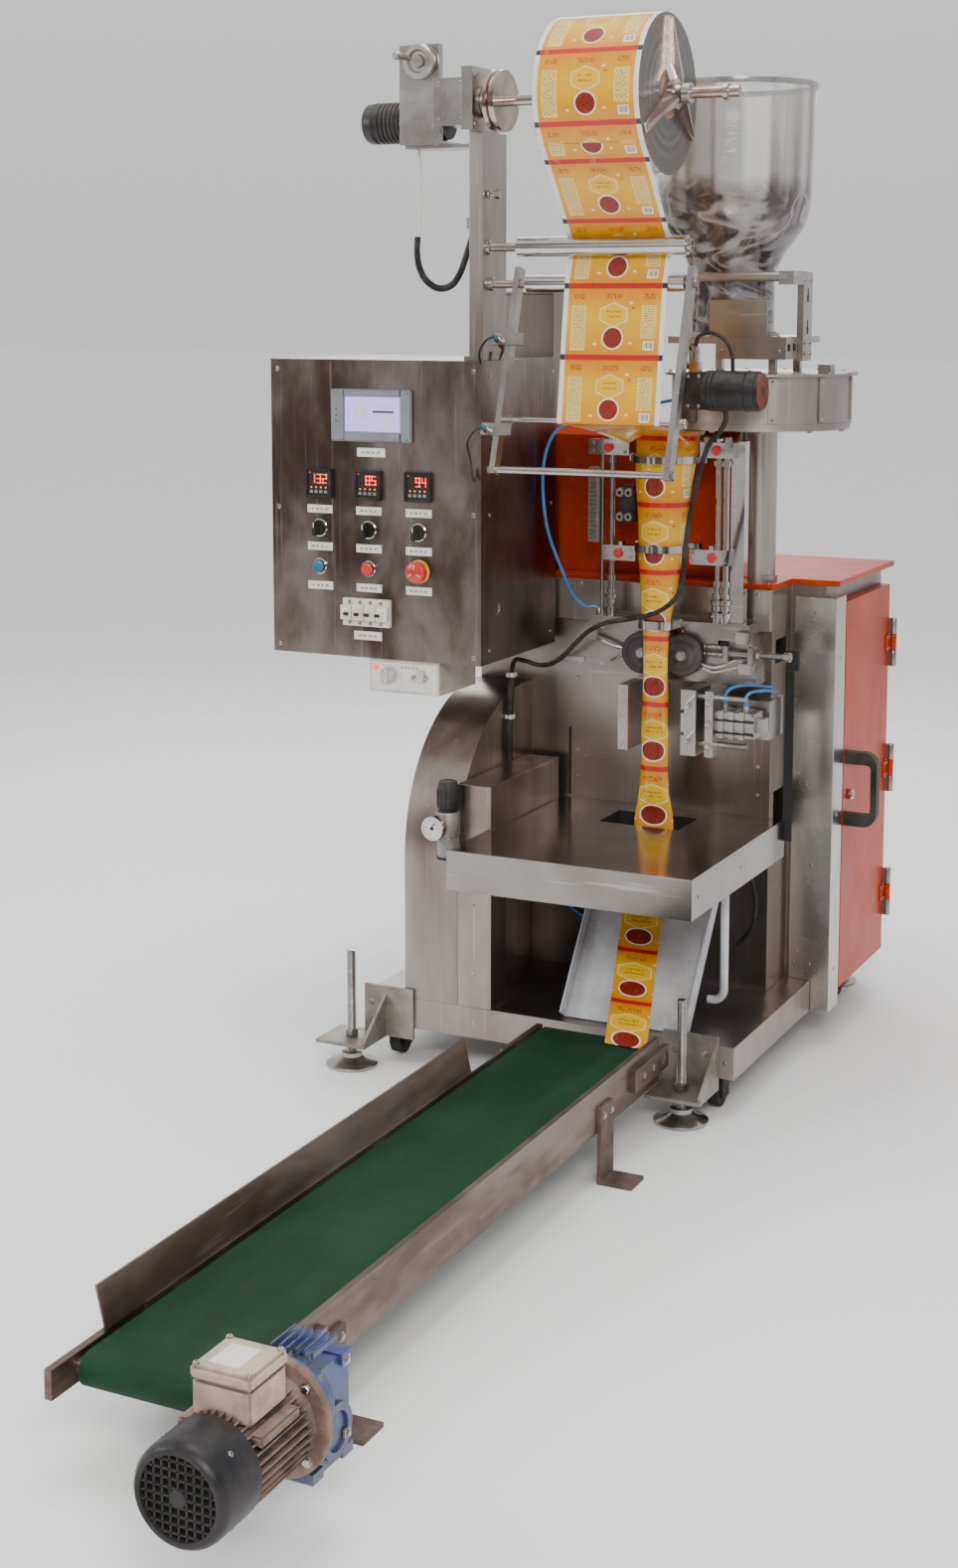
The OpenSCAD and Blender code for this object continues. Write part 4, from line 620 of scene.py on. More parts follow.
class Solid:
    """Collects closed shapes in one mesh, in millimetres from the film line and the base front."""

    def __init__(self, *finishes: str) -> None:
        """Starts an empty mesh.

        Args:
            *finishes: Names of the finishes, in the order of their slots.
        """
        self.bm = bmesh.new()
        self.finishes = list(finishes)

    def mark(self, faces: Iterable[bmesh.types.BMFace], slot: int) -> None:
        """Sets the finish and smooth shading of new faces."""
        for face in faces:
            face.material_index = slot
            face.smooth = True

    def box(self, low: Sequence[float], high: Sequence[float], bevel: float = 0.6, slot: int = 0,
            turn: Optional[Matrix] = None) -> None:
        """Adds a box with rounded edges.

        Args:
            low: Lowest corner.
            high: Highest corner.
            bevel: Width of its rounded edges.
            slot: Its finish.
            turn: A rotation about its centre.
        """
        low, high = Vector(low), Vector(high)
        size = high - low
        made = bmesh.ops.create_cube(self.bm, size=1.0)["verts"]
        bmesh.ops.scale(self.bm, vec=size, verts=made)
        if bevel > 0:
            edges = dict.fromkeys(e for v in made for e in v.link_edges)
            done = bmesh.ops.bevel(self.bm, geom=list(edges), offset=min(bevel, min(size) * 0.49),
                                   segments=2, affect="EDGES", clamp_overlap=True)
            made = [v for v in made if v.is_valid] + [v for f in done["faces"] for v in f.verts]
            made = list(dict.fromkeys(made))
        self.mark({f for v in made for f in v.link_faces}, slot)
        if turn:
            bmesh.ops.transform(self.bm, matrix=turn, verts=made)
        bmesh.ops.translate(self.bm, vec=(low + high) / 2, verts=made)

    def lathe(self, profile: Profile, at: Sequence[float], axis: Axis = Z, slot: int = 0,
              steps: int = 32, turn: Optional[Matrix] = None) -> None:
        """Turns a profile round an axis and closes it.

        Args:
            profile: Radius and distance along the axis, from the first end to the last.
            at: The point at distance zero.
            axis: The axis of turning.
            slot: Its finish.
            steps: Facets round.
            turn: A rotation used in place of the axis.
        """
        place = Matrix.Translation(Vector(at)) @ (turn or axis.turn())
        rings: list[list[bmesh.types.BMVert]] = []
        for radius, along in profile:
            if len(rings) == len(profile) - 1 and (radius, along) == tuple(profile[0]):
                rings.append(rings[0])
                continue
            if radius < 1e-6:
                rings.append([self.bm.verts.new(place @ Vector((0, 0, along)))])
                continue
            rings.append([self.bm.verts.new(place
                                            @ Vector((radius * cos(a), radius * sin(a), along)))
                          for a in (FULL_TURN * k / steps for k in range(steps))])
        self.skin(rings, slot, steps)

    def skin(self, rings: list[list[bmesh.types.BMVert]], slot: int, steps: int) -> None:
        """Joins rings of points into a closed surface."""
        faces = []
        for below, above in zip(rings, rings[1:]):
            for k in range(steps):
                n = (k + 1) % steps
                corners = [below[k % len(below)], below[n % len(below)],
                           above[n % len(above)], above[k % len(above)]]
                unique = list(dict.fromkeys(corners))
                if len(unique) > 2:
                    faces.append(self.bm.faces.new(unique))
        if rings[0] is not rings[-1]:
            faces += [self.bm.faces.new(ring) for ring in (rings[0][::-1], rings[-1])
                      if len(ring) > 2]
        self.mark(faces, slot)

    def disc(self, radius: float, height: float, at: Sequence[float], axis: Axis, slot: int,
             steps: int) -> None:
        """Adds a plain disc, bar or nut."""
        self.lathe([(0, 0), (radius, 0), (radius, height), (0, height)], at, axis, slot, steps)

    def ring(self, inner: float, outer: float, height: float, at: Sequence[float], axis: Axis,
             slot: int, steps: int) -> None:
        """Adds a plain ring round a bore."""
        self.lathe([(inner, 0), (outer, 0), (outer, height), (inner, height), (inner, 0)], at,
                   axis, slot, steps)

    def dial(self, marks: Iterable[Pair], at: Point, radius: float, depth: float,
             slot: int) -> None:
        """Adds the marks of a dial that faces the front.

        Args:
            marks: Cosine and sine of each mark's angle.
            at: The dial's centre, on its face.
            radius: Where the marks lie.
            depth: How far they stand proud.
            slot: Their finish.
        """
        for across, up in marks:
            x, z = at[0] + radius * across, at[2] + radius * up
            self.box((x - 0.6, at[1] - depth, z - 0.6), (x + 0.6, at[1], z + 0.6), 0.0, slot)

    def tube(self, path: Route, radius: float, slot: int = 0, sides: int = 12,
             smooth: int = 6) -> None:
        """Sweeps a round section along a smooth curve through points.

        Args:
            path: Points that the curve passes through.
            radius: Radius of the section.
            slot: Its finish.
            sides: Facets round.
            smooth: Steps between two points.
        """
        route = spline(path, smooth)
        rings = []
        side = Vector((0, 0, 1))
        for i, here in enumerate(route):
            heading = (route[min(i + 1, len(route) - 1)] - route[max(i - 1, 0)]).normalized()
            side = side - heading * side.dot(heading)
            if side.length < 1e-3:
                side = heading.orthogonal()
            side.normalize()
            other = heading.cross(side)
            rings.append([self.bm.verts.new(here + radius * (cos(a) * side + sin(a) * other))
                          for a in (FULL_TURN * k / sides for k in range(sides))])
        self.skin(rings, slot, sides)

    def prism(self, outline: Profile, axis: Axis, low: float, high: float, slot: int = 0,
              bevel: float = 0.0) -> None:
        """Extrudes an outline.

        Args:
            outline: Points in the two other axes, in the order X, Y, Z.
            axis: Direction of extrusion.
            low: Where it starts.
            high: Where it ends.
            slot: Its finish.
            bevel: Width of its rounded edges.
        """
        def spot(p: Pair, d: float) -> Vector:
            """Gives an outline point at a depth."""
            if axis is X:
                return Vector((d, p[0], p[1]))
            return Vector((p[0], d, p[1])) if axis is Y else Vector((p[0], p[1], d))

        first = [self.bm.verts.new(spot(p, low)) for p in outline]
        last = [self.bm.verts.new(spot(p, high)) for p in outline]
        n = len(outline)
        faces = [self.bm.faces.new((first[k], first[(k + 1) % n], last[(k + 1) % n], last[k]))
                 for k in range(n)]
        faces += [self.bm.faces.new(reversed(first)), self.bm.faces.new(last)]
        bmesh.ops.recalc_face_normals(self.bm, faces=faces)
        if bevel > 0:
            edges = dict.fromkeys(e for f in faces for e in f.edges)
            done = bmesh.ops.bevel(self.bm, geom=list(edges), offset=bevel, segments=2,
                                   affect="EDGES", clamp_overlap=True)
            verts = [v for v in first + last if v.is_valid]
            verts += [v for f in done["faces"] for v in f.verts]
            faces = list({f for v in verts for f in v.link_faces})
        self.mark(faces, slot)

    def emit(self, name: str, slot: str, body: Body = Body.MACHINE,
             sharp: float = 32.0) -> bpy.types.Object:
        """Turns the collected shapes into a piece that rides on a body.

        Args:
            name: The piece's name.
            slot: The record's material slot; not used.
            body: The CAD body that carries it.
            sharp: Angle in degrees above which an edge stays sharp.

        Returns:
            The new object.
        """
        bmesh.ops.translate(self.bm, vec=ORIGIN, verts=self.bm.verts)
        bmesh.ops.scale(self.bm, vec=(MM, MM, MM), verts=self.bm.verts)
        bmesh.ops.recalc_face_normals(self.bm, faces=self.bm.faces)
        mesh = bpy.data.meshes.new(name)
        self.bm.to_mesh(mesh)
        self.bm.free()
        mesh.set_sharp_from_angle(angle=radians(sharp))
        return adopt(name, mesh, self.finishes, slot, body)


def adopt(name: str, mesh: bpy.types.Mesh, finishes: Sequence[str], slot: str,
          body: Body = Body.MACHINE) -> bpy.types.Object:
    """Makes an object of a mesh, dresses it and rides it on a body."""
    made = bpy.data.objects.new(name, mesh)
    bpy.context.scene.collection.objects.link(made)
    if not mesh.materials:
        for finish in finishes:
            mesh.materials.append(PALETTE.get(finish))
    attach(made, body.value)
    LOG.info("%s: %d faces on %s", name, len(mesh.polygons), body.value)
    return made


def spline(path: Route, steps: int) -> list[Vector]:
    """Gives a smooth curve through points.

    Args:
        path: Points to pass through.
        steps: Steps between two points.

    Returns:
        The points of the curve.
    """
    points = [Vector(p) for p in path]
    padded = [2 * points[0] - points[1], *points, 2 * points[-1] - points[-2]]
    route = []
    for a, b, c, d in zip(padded, padded[1:], padded[2:], padded[3:]):
        for k in range(steps):
            t = k / steps
            route.append(0.5 * (2 * b + (c - a) * t + (2 * a - 5 * b + 4 * c - d) * t * t
                                + (3 * b - a - 3 * c + d) * t * t * t))
    route.append(points[-1])
    return route


@dataclass
class Studio:
    """The camera at the photograph's angle, a pale floor that ends behind it, and soft light."""

    eye: Point = (1.5155, -2.876, 1.32)
    yaw: float = 26.17
    pitch: float = -7.68
    lens: float = 50.43
    shift_y: float = -0.1198
    floor_size: float = 90.0
    floor_start: float = -3.4
    aim: Point = (0.0, 0.2, 0.8)

    def camera(self) -> None:
        """Makes the camera."""
        data = bpy.data.cameras.new("camera")
        data.lens = self.lens
        data.sensor_width = 36.0
        data.shift_y = self.shift_y
        data.clip_end = 60.0
        made = bpy.data.objects.new("camera", data)
        made.location = self.eye
        made.rotation_euler = (radians(90 + self.pitch), 0, radians(self.yaw))
        bpy.context.scene.collection.objects.link(made)
        bpy.context.scene.camera = made

    def floor(self) -> None:
        """Makes the floor."""
        half, near = self.floor_size / 2, self.floor_start
        mesh = bpy.data.meshes.new("floor")
        mesh.from_pydata([(-half, near, 0), (half, near, 0), (half, half, 0), (-half, half, 0)], [],
                         [(0, 1, 2, 3)])
        made = bpy.data.objects.new("floor", mesh)
        bpy.context.scene.collection.objects.link(made)
        paint, g, shader, vector = start_material("floor_paint")
        spot = g.noise(vector, 2.0, 3, 0.5)
        g.dress(shader, Base_Color=g.mix(spot, (0.9, 0.895, 0.89), (0.93, 0.925, 0.92)),
                Roughness=0.75)
        mesh.materials.append(paint)

    def lamp(self, name: str, at: Point, size: float, power: float, tint: Rgb = (1, 1, 1)) -> None:
        """Adds a soft lamp that looks at the middle of the machine."""
        data = bpy.data.lights.new(name, "AREA")
        data.shape = "RECTANGLE"
        data.size = size
        data.size_y = size * 0.7
        data.energy = power
        data.color = tint
        made = bpy.data.objects.new(name, data)
        made.location = at
        made.rotation_euler = (Vector(self.aim) - Vector(at)).to_track_quat("-Z", "Y").to_euler()
        bpy.context.scene.collection.objects.link(made)

    def light(self) -> None:
        """Makes the lamps and the pale room."""
        self.lamp("key_lamp", (2.2, -3.4, 2.9), 1.5, 115, (1.0, 0.98, 0.95))
        self.lamp("fill_lamp", (-3.4, -2.4, 2.2), 1.8, 55, (0.96, 0.98, 1.0))
        self.lamp("top_lamp", (0.2, 0.2, 4.2), 2.6, 70)
        self.lamp("back_lamp", (-1.5, 3.6, 2.6), 2.0, 40)
        world = bpy.data.worlds.new("studio")
        world.use_nodes = True
        g = Graph(world.node_tree)
        ground = world.node_tree.nodes["Background"]
        x, y, up = g.split(g.node("TexCoord").outputs["Generated"])
        pale = g.ramp(g.band(up, 0.0, 0.9), [(0.0, (0.71, 0.71, 0.705)), (0.25, (1.0, 1.0, 1.0)),
                                             (0.6, (0.7, 0.69, 0.68)), (1.0, (0.95, 0.95, 0.97))])
        turn = g.math("ARCTAN2", x, g.mul(y, -1.0))
        strips: Value = 0.0
        for angle, width in ((-1.25, 0.2), (-0.72, 0.1), (-0.36, 0.07), (0.3, 0.16), (1.1, 0.14)):
            away = g.away(turn, angle)
            strips = g.add(strips, g.sub(1.0, g.band(away, width * 0.5, width * 1.5)))
        dim = g.mix(g.mul(strips, g.band(up, -0.35, 0.1)), (0.13, 0.105, 0.095), (0.86, 0.84, 0.82))
        dim = g.mix(g.band(up, 0.35, 0.8), dim, (0.95, 0.95, 0.97))
        g.feed(ground.inputs["Color"], g.mix(g.band(y, -0.2, 0.3), dim, pale))
        ground.inputs["Strength"].default_value = 1.1
        bpy.context.scene.world = world

    def build(self) -> None:
        """Builds the stage."""
        self.camera()
        self.floor()
        self.light()


CAD_FINISH: dict[str, str] = {node: finish for finish, nodes in (
    ("sheet_steel", "base_frame shelf_beam tray_guard film_post cup_drum"),
    ("cabinet_steel", "main_cabinet side_pod upper_housing"),
    ("column_steel", "corner_column"),
    ("tray_steel", "discharge_tray"),
    ("panel_steel", "control_box control_panel"),
    ("conveyor_steel", "conveyor_frame"),
    # Orange on the door and roof is a painted reflection; on the rear cover it is paint.
    ("orange_paint_and_reflection", "side_door cabinet_roof rear_cover"),
    ("cast_bracket", "foot_brackets filter_regulator"),
    ("bright_steel", "levelling_feet dancer_frame tail_roller drive_roller unwind_unit"),
    ("clamp_steel", "reel_shaft"),
    ("chrome_rod", "upper_guide_roller lower_guide_roller guide_columns"),
    ("machined_aluminium", "sealing_jaw fixed_jaw filler_frame jaw_cylinder position_handwheel"),
    ("plate_steel", "draw_unit"),
    ("chute_sheet", "discharge_chute"),
    ("handle_black", "door_handle"),
    ("black_plastic", "temperature_controllers selector_left selector_middle selector_right"),
    ("black_metal", "unwind_motor filler_motor"),
    ("red_plastic", "stop_button emergency_stop"),
    ("blue_cap", "start_button"),
    ("bezel_grey", "touch_screen"),
    ("ivory_plastic", "circuit_breaker"),
    ("controller_sheet", "feeder_controller"),
    ("white_cord", "film_reel film_web pouch_tube"),
    ("sight_bowl", "hopper"),
    ("wheel_rubber", "draw_wheel_left draw_wheel_right"),
    ("black_rubber", "casters signal_cable"),
    ("belt_cover", "conveyor_belt"),
    ("brown_iron", "conveyor_feet"),
    ("blue_enamel", "worm_gearbox"),
    ("motor_casting", "conveyor_motor"),
    ("blue_hose", "air_tube"),
) for node in nodes.split()}


class FilmPrint:
    """The printed film: a made-up design, placed by the piece's own UV map."""

    def artwork(self) -> None:
        """Builds the group that turns a place in millimetres into the print's colour."""
        g, i, out = SharedGroups().start("film artwork", [("Place", "Vector", 0)],
                                         [("Color", "Color")])
        x, along, _ = g.split(i["Place"])
        y = g.mul(g.math("FRACT", g.math("DIVIDE", along, PITCH)), PITCH)
        bx = g.away(x)
        cloudy = g.mul(g.noise(i["Place"], 0.03, 2), 34.0)
        colour = g.ramp(g.math("DIVIDE", g.add(y, cloudy), 135.0),
                        [(0.0, (0.56, 0.15, 0.0)), (0.35, (0.66, 0.3, 0.0)),
                         (0.65, (0.72, 0.4, 0.0)), (1.0, (0.6, 0.2, 0.0))])

        def block(cx: float, cy: float, half_w: float, half_h: float) -> Socket:
            """Gives a rectangle's mask."""
            return g.mul(g.inside(g.away(x, cx), half_w), g.inside(g.away(y, cy), half_h))

        # cream panels with rows of small print, and a block of bars
        rows = g.band(g.math("FRACT", g.math("DIVIDE", y, 3.6)), 0.5, 0.6)
        words = g.band(g.noise(g.place(i["Place"], (0.5, 0.28, 1)), 1.0, 1), 0.46, 0.52)
        print_rows = g.mul(rows, words)
        for cx, cy, half_w, half_h in ((-60.0, 52.0, 12.5, 36.0), (60.0, 62.0, 12.5, 26.0)):
            colour = g.mix(g.mul(block(cx, cy, half_w, half_h), 0.85), colour, (0.78, 0.6, 0.2))
            colour = g.mix(g.mul(block(cx, cy, half_w - 2, half_h - 2), print_rows), colour,
                           (0.33, 0.12, 0.015))
        colour = g.mix(block(62.0, 24.0, 9.0, 7.0), colour, (0.8, 0.78, 0.74))
        bars = g.band(g.noise(g.join(x, 0.0), 0.9, 0), 0.48, 0.52)
        colour = g.mix(g.mul(block(62.0, 24.5, 7.5, 5.0), bars), colour, (0.06, 0.04, 0.03))
        # six-sided badge with two lines of print
        by = g.away(y, 73.0)
        badge = g.math("MAXIMUM", g.mul(bx, 0.86), g.add(g.mul(bx, 0.46), by))
        colour = g.mix(g.inside(badge, 20.5), colour, (0.76, 0.62, 0.4))
        colour = g.mix(g.inside(badge, 18.6), colour, (0.76, 0.44, 0.0))
        lines = g.mul(g.inside(g.away(g.away(y, 74.0), 4.0), 1.7), g.inside(bx, 12.0), words)
        colour = g.mix(lines, colour, (0.35, 0.12, 0.01))
        # roundel of red grains in a pale ring
        dy = g.sub(y, 36.0)
        radius = g.reach(x, dy)
        colour = g.mix(g.inside(radius, 18.5), colour, (0.82, 0.76, 0.68))
        grains = g.band(g.noise(i["Place"], 0.5, 3), 0.42, 0.6)
        colour = g.mix(g.inside(radius, 16.2), colour, g.mix(grains, (0.13, 0.005, 0.002),
                                                             (0.3, 0.025, 0.006)))
        # red flourishes and small leaves
        curl = g.band(g.noise(g.place(i["Place"], (0.35, 0.5, 1)), 1.0, 1), 0.5, 0.56)
        for cx, half_w in ((0.0, 14.0), (-60.0, 10.0), (60.0, 10.0)):
            colour = g.mix(g.mul(block(cx, 102.0, half_w, 4.5), curl), colour, (0.34, 0.006, 0.001))
        for cx, cy, size, tint in ((29.0, 92.0, 4.0, (0.85, 0.7, 0.45)),
                                   (33.0, 84.0, 3.0, (0.3, 0.05, 0.01)),
                                   (-30.0, 26.0, 4.0, (0.82, 0.72, 0.5)),
                                   (31.0, 28.0, 3.5, (0.82, 0.72, 0.5))):
            leaf = g.add(g.away(x, cx), g.mul(g.away(y, cy), 1.7))
            colour = g.mix(g.inside(leaf, size), colour, tint)
        stripe = g.inside(g.away(y, 5.0), 4.4)
        colour = g.mix(stripe, colour, (0.5, 0.0, 0.001))
        edge = g.band(bx, 79.5, 80.5)
        colour = g.mix(edge, colour, (0.72, 0.7, 0.68))
        mark = g.mul(edge, g.inside(g.away(y, 5.0), 4.6))
        g.feed(out.inputs["Color"], g.mix(mark, colour, (0.03, 0.022, 0.02)))

    def web(self) -> bpy.types.Material:
        """Makes the film's material."""
        made, g, shader, vector = start_material("printed_film")
        place = g.place(g.node("UVMap", uv_map="film").outputs[0], (1000.0, 1000.0, 1.0))
        colour = g.group("film artwork", "Color", Place=place)
        fold = g.noise(g.place(vector, (1, 1, 0.22)), 42.0, 4, 0.6, 0.8)
        crease = g.noise(g.place(vector, (1, 1, 0.5)), 16.0, 3, 0.5, 1.2)
        colour = g.mix(g.mul(g.band(fold, 0.62, 0.75), 0.2), colour, (0.8, 0.55, 0.25))
        g.dress(shader, Base_Color=colour, Roughness=g.add(0.2, g.mul(fold, 0.2)),
                Coat_Weight=0.2, Coat_Roughness=0.08,
                Normal=g.bump(crease, 0.3, 0.004, g.bump(fold, 0.18, 0.0012)))
        return made

    def layers(self) -> bpy.types.Material:
        """Makes the end faces of the wound reel: many thin turns of film."""
        made, g, shader, vector = start_material("wound_edge")
        _, y, z = g.split(vector)
        dy = g.sub(y, ORIGIN[1] * MM)
        dz = g.sub(z, REEL_HEIGHT * MM)
        radius = g.reach(dy, dz)
        turns = g.noise(g.join(g.mul(radius, 900.0), 0.0, 0.0), 1.0, 4, 0.7)
        wide = g.noise(g.join(g.mul(radius, 110.0), 3.0, 0.0), 1.0, 2, 0.5)
        blotch = g.noise(vector, 14.0, 3, 0.6)
        colour = g.ramp(g.add(g.mul(turns, 0.55), g.mul(wide, 0.45)),
                        [(0.3, (0.035, 0.032, 0.032)), (0.5, (0.12, 0.112, 0.11)),
                         (0.7, (0.26, 0.245, 0.235))])
        colour = g.mix(g.mul(g.band(blotch, 0.5, 0.66), 0.5), colour, (0.2, 0.085, 0.05))
        g.dress(shader, Base_Color=colour, Roughness=0.26, Metallic=0.6,
                Normal=g.bump(turns, 0.25, 0.0006))
        return made


class ClearPlastic:
    """The hopper's clear sheet with grey swirls of product dust."""

    def build(self) -> bpy.types.Material:
        """Makes the material."""
        made, g, shader, vector = start_material("clear_acrylic")
        height = g.split(vector)[2]
        swirl = g.noise(g.place(vector, (1.0, 1.0, 2.1), turn=(0.35, 0.5, 0.0)), 6.5, 2, 0.5, 3.4)
        fine = g.noise(g.place(vector, (1.0, 1.0, 2.2), turn=(-0.4, -0.6, 0.0)), 5.0, 1, 0.4, 2.4)
        low = g.sub(1.0, g.band(height, 1.49, 1.53))
        streaks = g.sub(1.0, g.band(g.away(fine, 0.5), 0.0, 0.045))
        dark = g.mul(low, g.add(0.5, g.mul(g.band(swirl, 0.38, 0.6), 0.5)))
        upright = g.band(g.noise(g.place(vector, (1, 1, 0.03)), 17.0, 2, 0.5), 0.5, 0.62)
        colour = g.mix(upright, (0.74, 0.73, 0.72), (0.2, 0.17, 0.16))
        colour = g.mix(dark, colour, (0.052, 0.04, 0.037))
        colour = g.mix(g.mul(g.mul(streaks, low), 0.7), colour, (0.42, 0.37, 0.34))
        # Opacity rises where the sheet is seen edge-on, so it shows its colour most at its outline:
        # a painted reflection.
        fresnel = g.node("LayerWeight")
        fresnel.inputs["Blend"].default_value = 0.42
        rim = fresnel.outputs["Facing"]
        solid = g.add(g.mul(dark, 0.75), g.mul(upright, 0.3))
        alpha = g.add(g.add(solid, g.mul(rim, 0.4)), 0.1, clamp=True)
        g.dress(shader, Base_Color=colour, Alpha=alpha, Roughness=0.12,
                Coat_Weight=0.6, Coat_Roughness=0.05,
                Normal=g.bump(fine, 0.2, 0.004, g.bump(swirl, 0.2, 0.006)))
        return made


class Lit:
    """Displays that glow a little."""

    @staticmethod
    def build(name: str, colour: Rgb, power: float) -> Callable[[], bpy.types.Material]:
        """Gives a recipe for a glowing display.

        Args:
            name: The material's name.
            colour: The colour of the light.
            power: Its strength.

        Returns:
            A call that makes the material.
        """
        def make() -> bpy.types.Material:
            """Makes the display's material."""
            made, g, shader, vector = start_material(name)
            fade = g.noise(vector, 30.0, 2)
            tint = g.mix(g.mul(fade, 0.3), colour, [c * 0.7 for c in colour])
            g.dress(shader, Base_Color=tint, Emission_Color=tint, Emission_Strength=power,
                    Roughness=0.25)
            return made
        return make


class Film:
    """The web, the formed tube and the reel."""

    reel = (0.0, REEL_HEIGHT)
    upper = (6.0, 1405.0)
    lower = (18.0, 1346.0)
    bar = (-20.0, 1127.0)
    collar = (198.5, 1100.0)
    phase = 38.0

    def wrap(self, centre: Pair, radius: float, start: float, end: float,
             parts: int) -> list[Vector]:
        """Gives points on an arc in the Y-Z plane, with angles from +Z towards +Y in degrees."""
        angles = (radians(start + (end - start) * k / parts) for k in range(parts + 1))
        return [Vector((0, centre[0] + radius * sin(a), centre[1] + radius * cos(a)))
                for a in angles]

    def path(self) -> list[Vector]:
        """Gives the middle line of the web from the reel to the collar."""
        def towards(a: Pair, b: Pair) -> float:
            """Gives the direction from a to b in degrees."""
            return degrees(atan2(b[0] - a[0], b[1] - a[1]))

        def reach(a: Pair, b: Pair) -> float:
            """Gives the distance from a to b."""
            return hypot(b[0] - a[0], b[1] - a[1])

        r0, r1, r2, r3 = 124.8, 16.3, 14.3, 4.8
        a0 = towards(self.reel, self.upper) + degrees(acos((r0 + r1) / reach(self.reel,
                                                                             self.upper)))
        a1 = towards(self.upper, self.lower) - degrees(acos((r1 + r2) / reach(self.upper,
                                                                              self.lower)))
        a2 = towards(self.lower, self.bar) + 360 + degrees(acos((r2 - r3) / reach(self.lower,
                                                                                  self.bar)))
        a3 = towards(self.bar, self.collar) + degrees(acos(r3 / reach(self.bar, self.collar)))
        return [*self.wrap(self.reel, r0, a0, a0, 1)[:1], *self.wrap(self.upper, r1, a0 - 180,
                                                                     a1, 12),
                *self.wrap(self.lower, r2, a1 + 180, a2, 4),
                *self.wrap(self.bar, r3, a2, a3, 12), Vector((0, *self.collar))]

    def sheet(self, name: str, rows: list[list[Vector]], place: list[list[Pair]],
              body: Body, material: str = "printed_film") -> bpy.types.Object:
        """Makes a thin sheet of film from rows of points with their places on the print."""
        wide = len(rows[0])
        verts = [tuple((p + ORIGIN) * MM) for row in rows for p in row]
        faces = [(r * wide + c, r * wide + c + 1, (r + 1) * wide + c + 1, (r + 1) * wide + c)
                 for r in range(len(rows) - 1) for c in range(wide - 1)]
        mesh = bpy.data.meshes.new(name)
        mesh.from_pydata(verts, [], faces)
        layer = mesh.uv_layers.new(name="film")
        flat = [uv for row in place for uv in row]
        for loop in mesh.loops:
            layer.data[loop.index].uv = [v * MM for v in flat[loop.vertex_index]]
        mesh.polygons.foreach_set("use_smooth", [True] * len(faces))
        return adopt(name, mesh, [material], "film", body)

    def web(self) -> float:
        """Makes the flat web and gives the length of film up to the collar."""
        points = self.path()
        dense: list[Vector] = []
        for a, b in zip(points, points[1:]):
            parts = max(1, int((b - a).length / 12))
            dense += [a.lerp(b, k / parts) for k in range(parts)]
        dense.append(points[-1])
        rows, place = [], []
        run = 0.0
        bend = self.bar[0] + 12
        for k, p in enumerate(dense):
            run += (p - dense[k - 1]).length if k else 0.0
            after = max(0.0, (p.y - bend) / (self.collar[0]
                                             - bend)) if k > len(dense) * 0.55 else 0.0
            half = FILM_WIDTH / 2 * (1 - after) + 60 * after
            ripple = 1.3 * sin(run / 31.0) * (1 - after)
            row = []
            for c in range(25):
                u = c / 12 - 1
                drop = -30 * after * after * (1 - cos(u * 1.4))
                row.append(p + Vector((u * half, ripple * (u * u - 0.4) * 0.8, drop)))
            rows.append(row)
            place.append([((c / 12 - 1) * FILM_WIDTH / 2, self.phase - run) for c in range(25)])
        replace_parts(self.sheet("film_sheet", rows, place, Body.MACHINE), "film_web")
        return run

    def tube(self, run: float) -> None:
        """Makes the formed tube and the strip of pouches."""
        sections = [(1100, 58, 58, 0, 62), (1072, 54, 54, 0, 48), (1044, 51, 51, 0, 36),
                    (1014, 48, 48, 0, 32), (984, 45, 45, 0, 28), (935, 41, 40, 0, 24),
                    (887, 38, 36, 0, 19), (854, 34, 30, 0, 13), (821, 31, 24, 0, 8),
                    (785, 26, 16, 0, 2), (762, 24, 12, 0, 0), (740, 23, 10, 0, 0),
                    (700, 22, 7, 0, 0), (672, 22.5, 10, 0, 0), (640, 24, 11, 0, 0),
                    (600, 24, 10, 0, 0), (586, 25.5, 3, 0, 0), (560, 24.5, 9, 0, 0),
                    (520, 25, 12, 0, 0), (484, 27, 11, 0, 0), (462, 31, 5, 0, 0),
                    (448, 34, 3, 0, 0), (433, 36, 4.5, 0, 0), (400, 36, 3, 3, -7),
                    (365, 36, 6, 5, -26), (330, 36, 2.5, 8, -45), (289, 36, 6, 13, -80),
                    (250, 36, 3, 29, -140), (208, 36, 5, 48, -203), (175, 36, 2.5, 67, -268),
                    (144, 36, 3, 84, -325)]
        sides = 36
        rows, place = [], []
        last = Vector((0, 199, 1100))
        for k, (z, a, b, ox, oy) in enumerate(sections):
            here = Vector((ox, 195 + oy - b, z))
            run += (here - last).length if k else 0.0
            last = here
            row, uv = [], []
            around = pi * (1.5 * (a + b) - sqrt(a * b)) if b > 20 else 4 * (a + b * 0.3)
            for c in range(sides + 1):
                turn = FULL_TURN * c / sides - pi / 2 - pi
                crumple = 0.7 * sin(5 * turn + z / 17.0) + 0.5 * sin(9 * turn - z / 11.0)
                shrink = min(1.0, b / 8)
                row.append(Vector((ox + (a + crumple * shrink * 0.5) * cos(turn),
                                   195 + oy + (b + crumple * shrink) * sin(turn), z)))
                uv.append(((c / sides - 0.5) * around * (0.96 if b > 20 else 1.0),
                           self.phase - run))
            rows.append(row)
            place.append(uv)
        for row in rows:
            row[-1] = row[0].copy()
        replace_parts(self.sheet("film_tube", rows, place, Body.MACHINE), "pouch_tube")

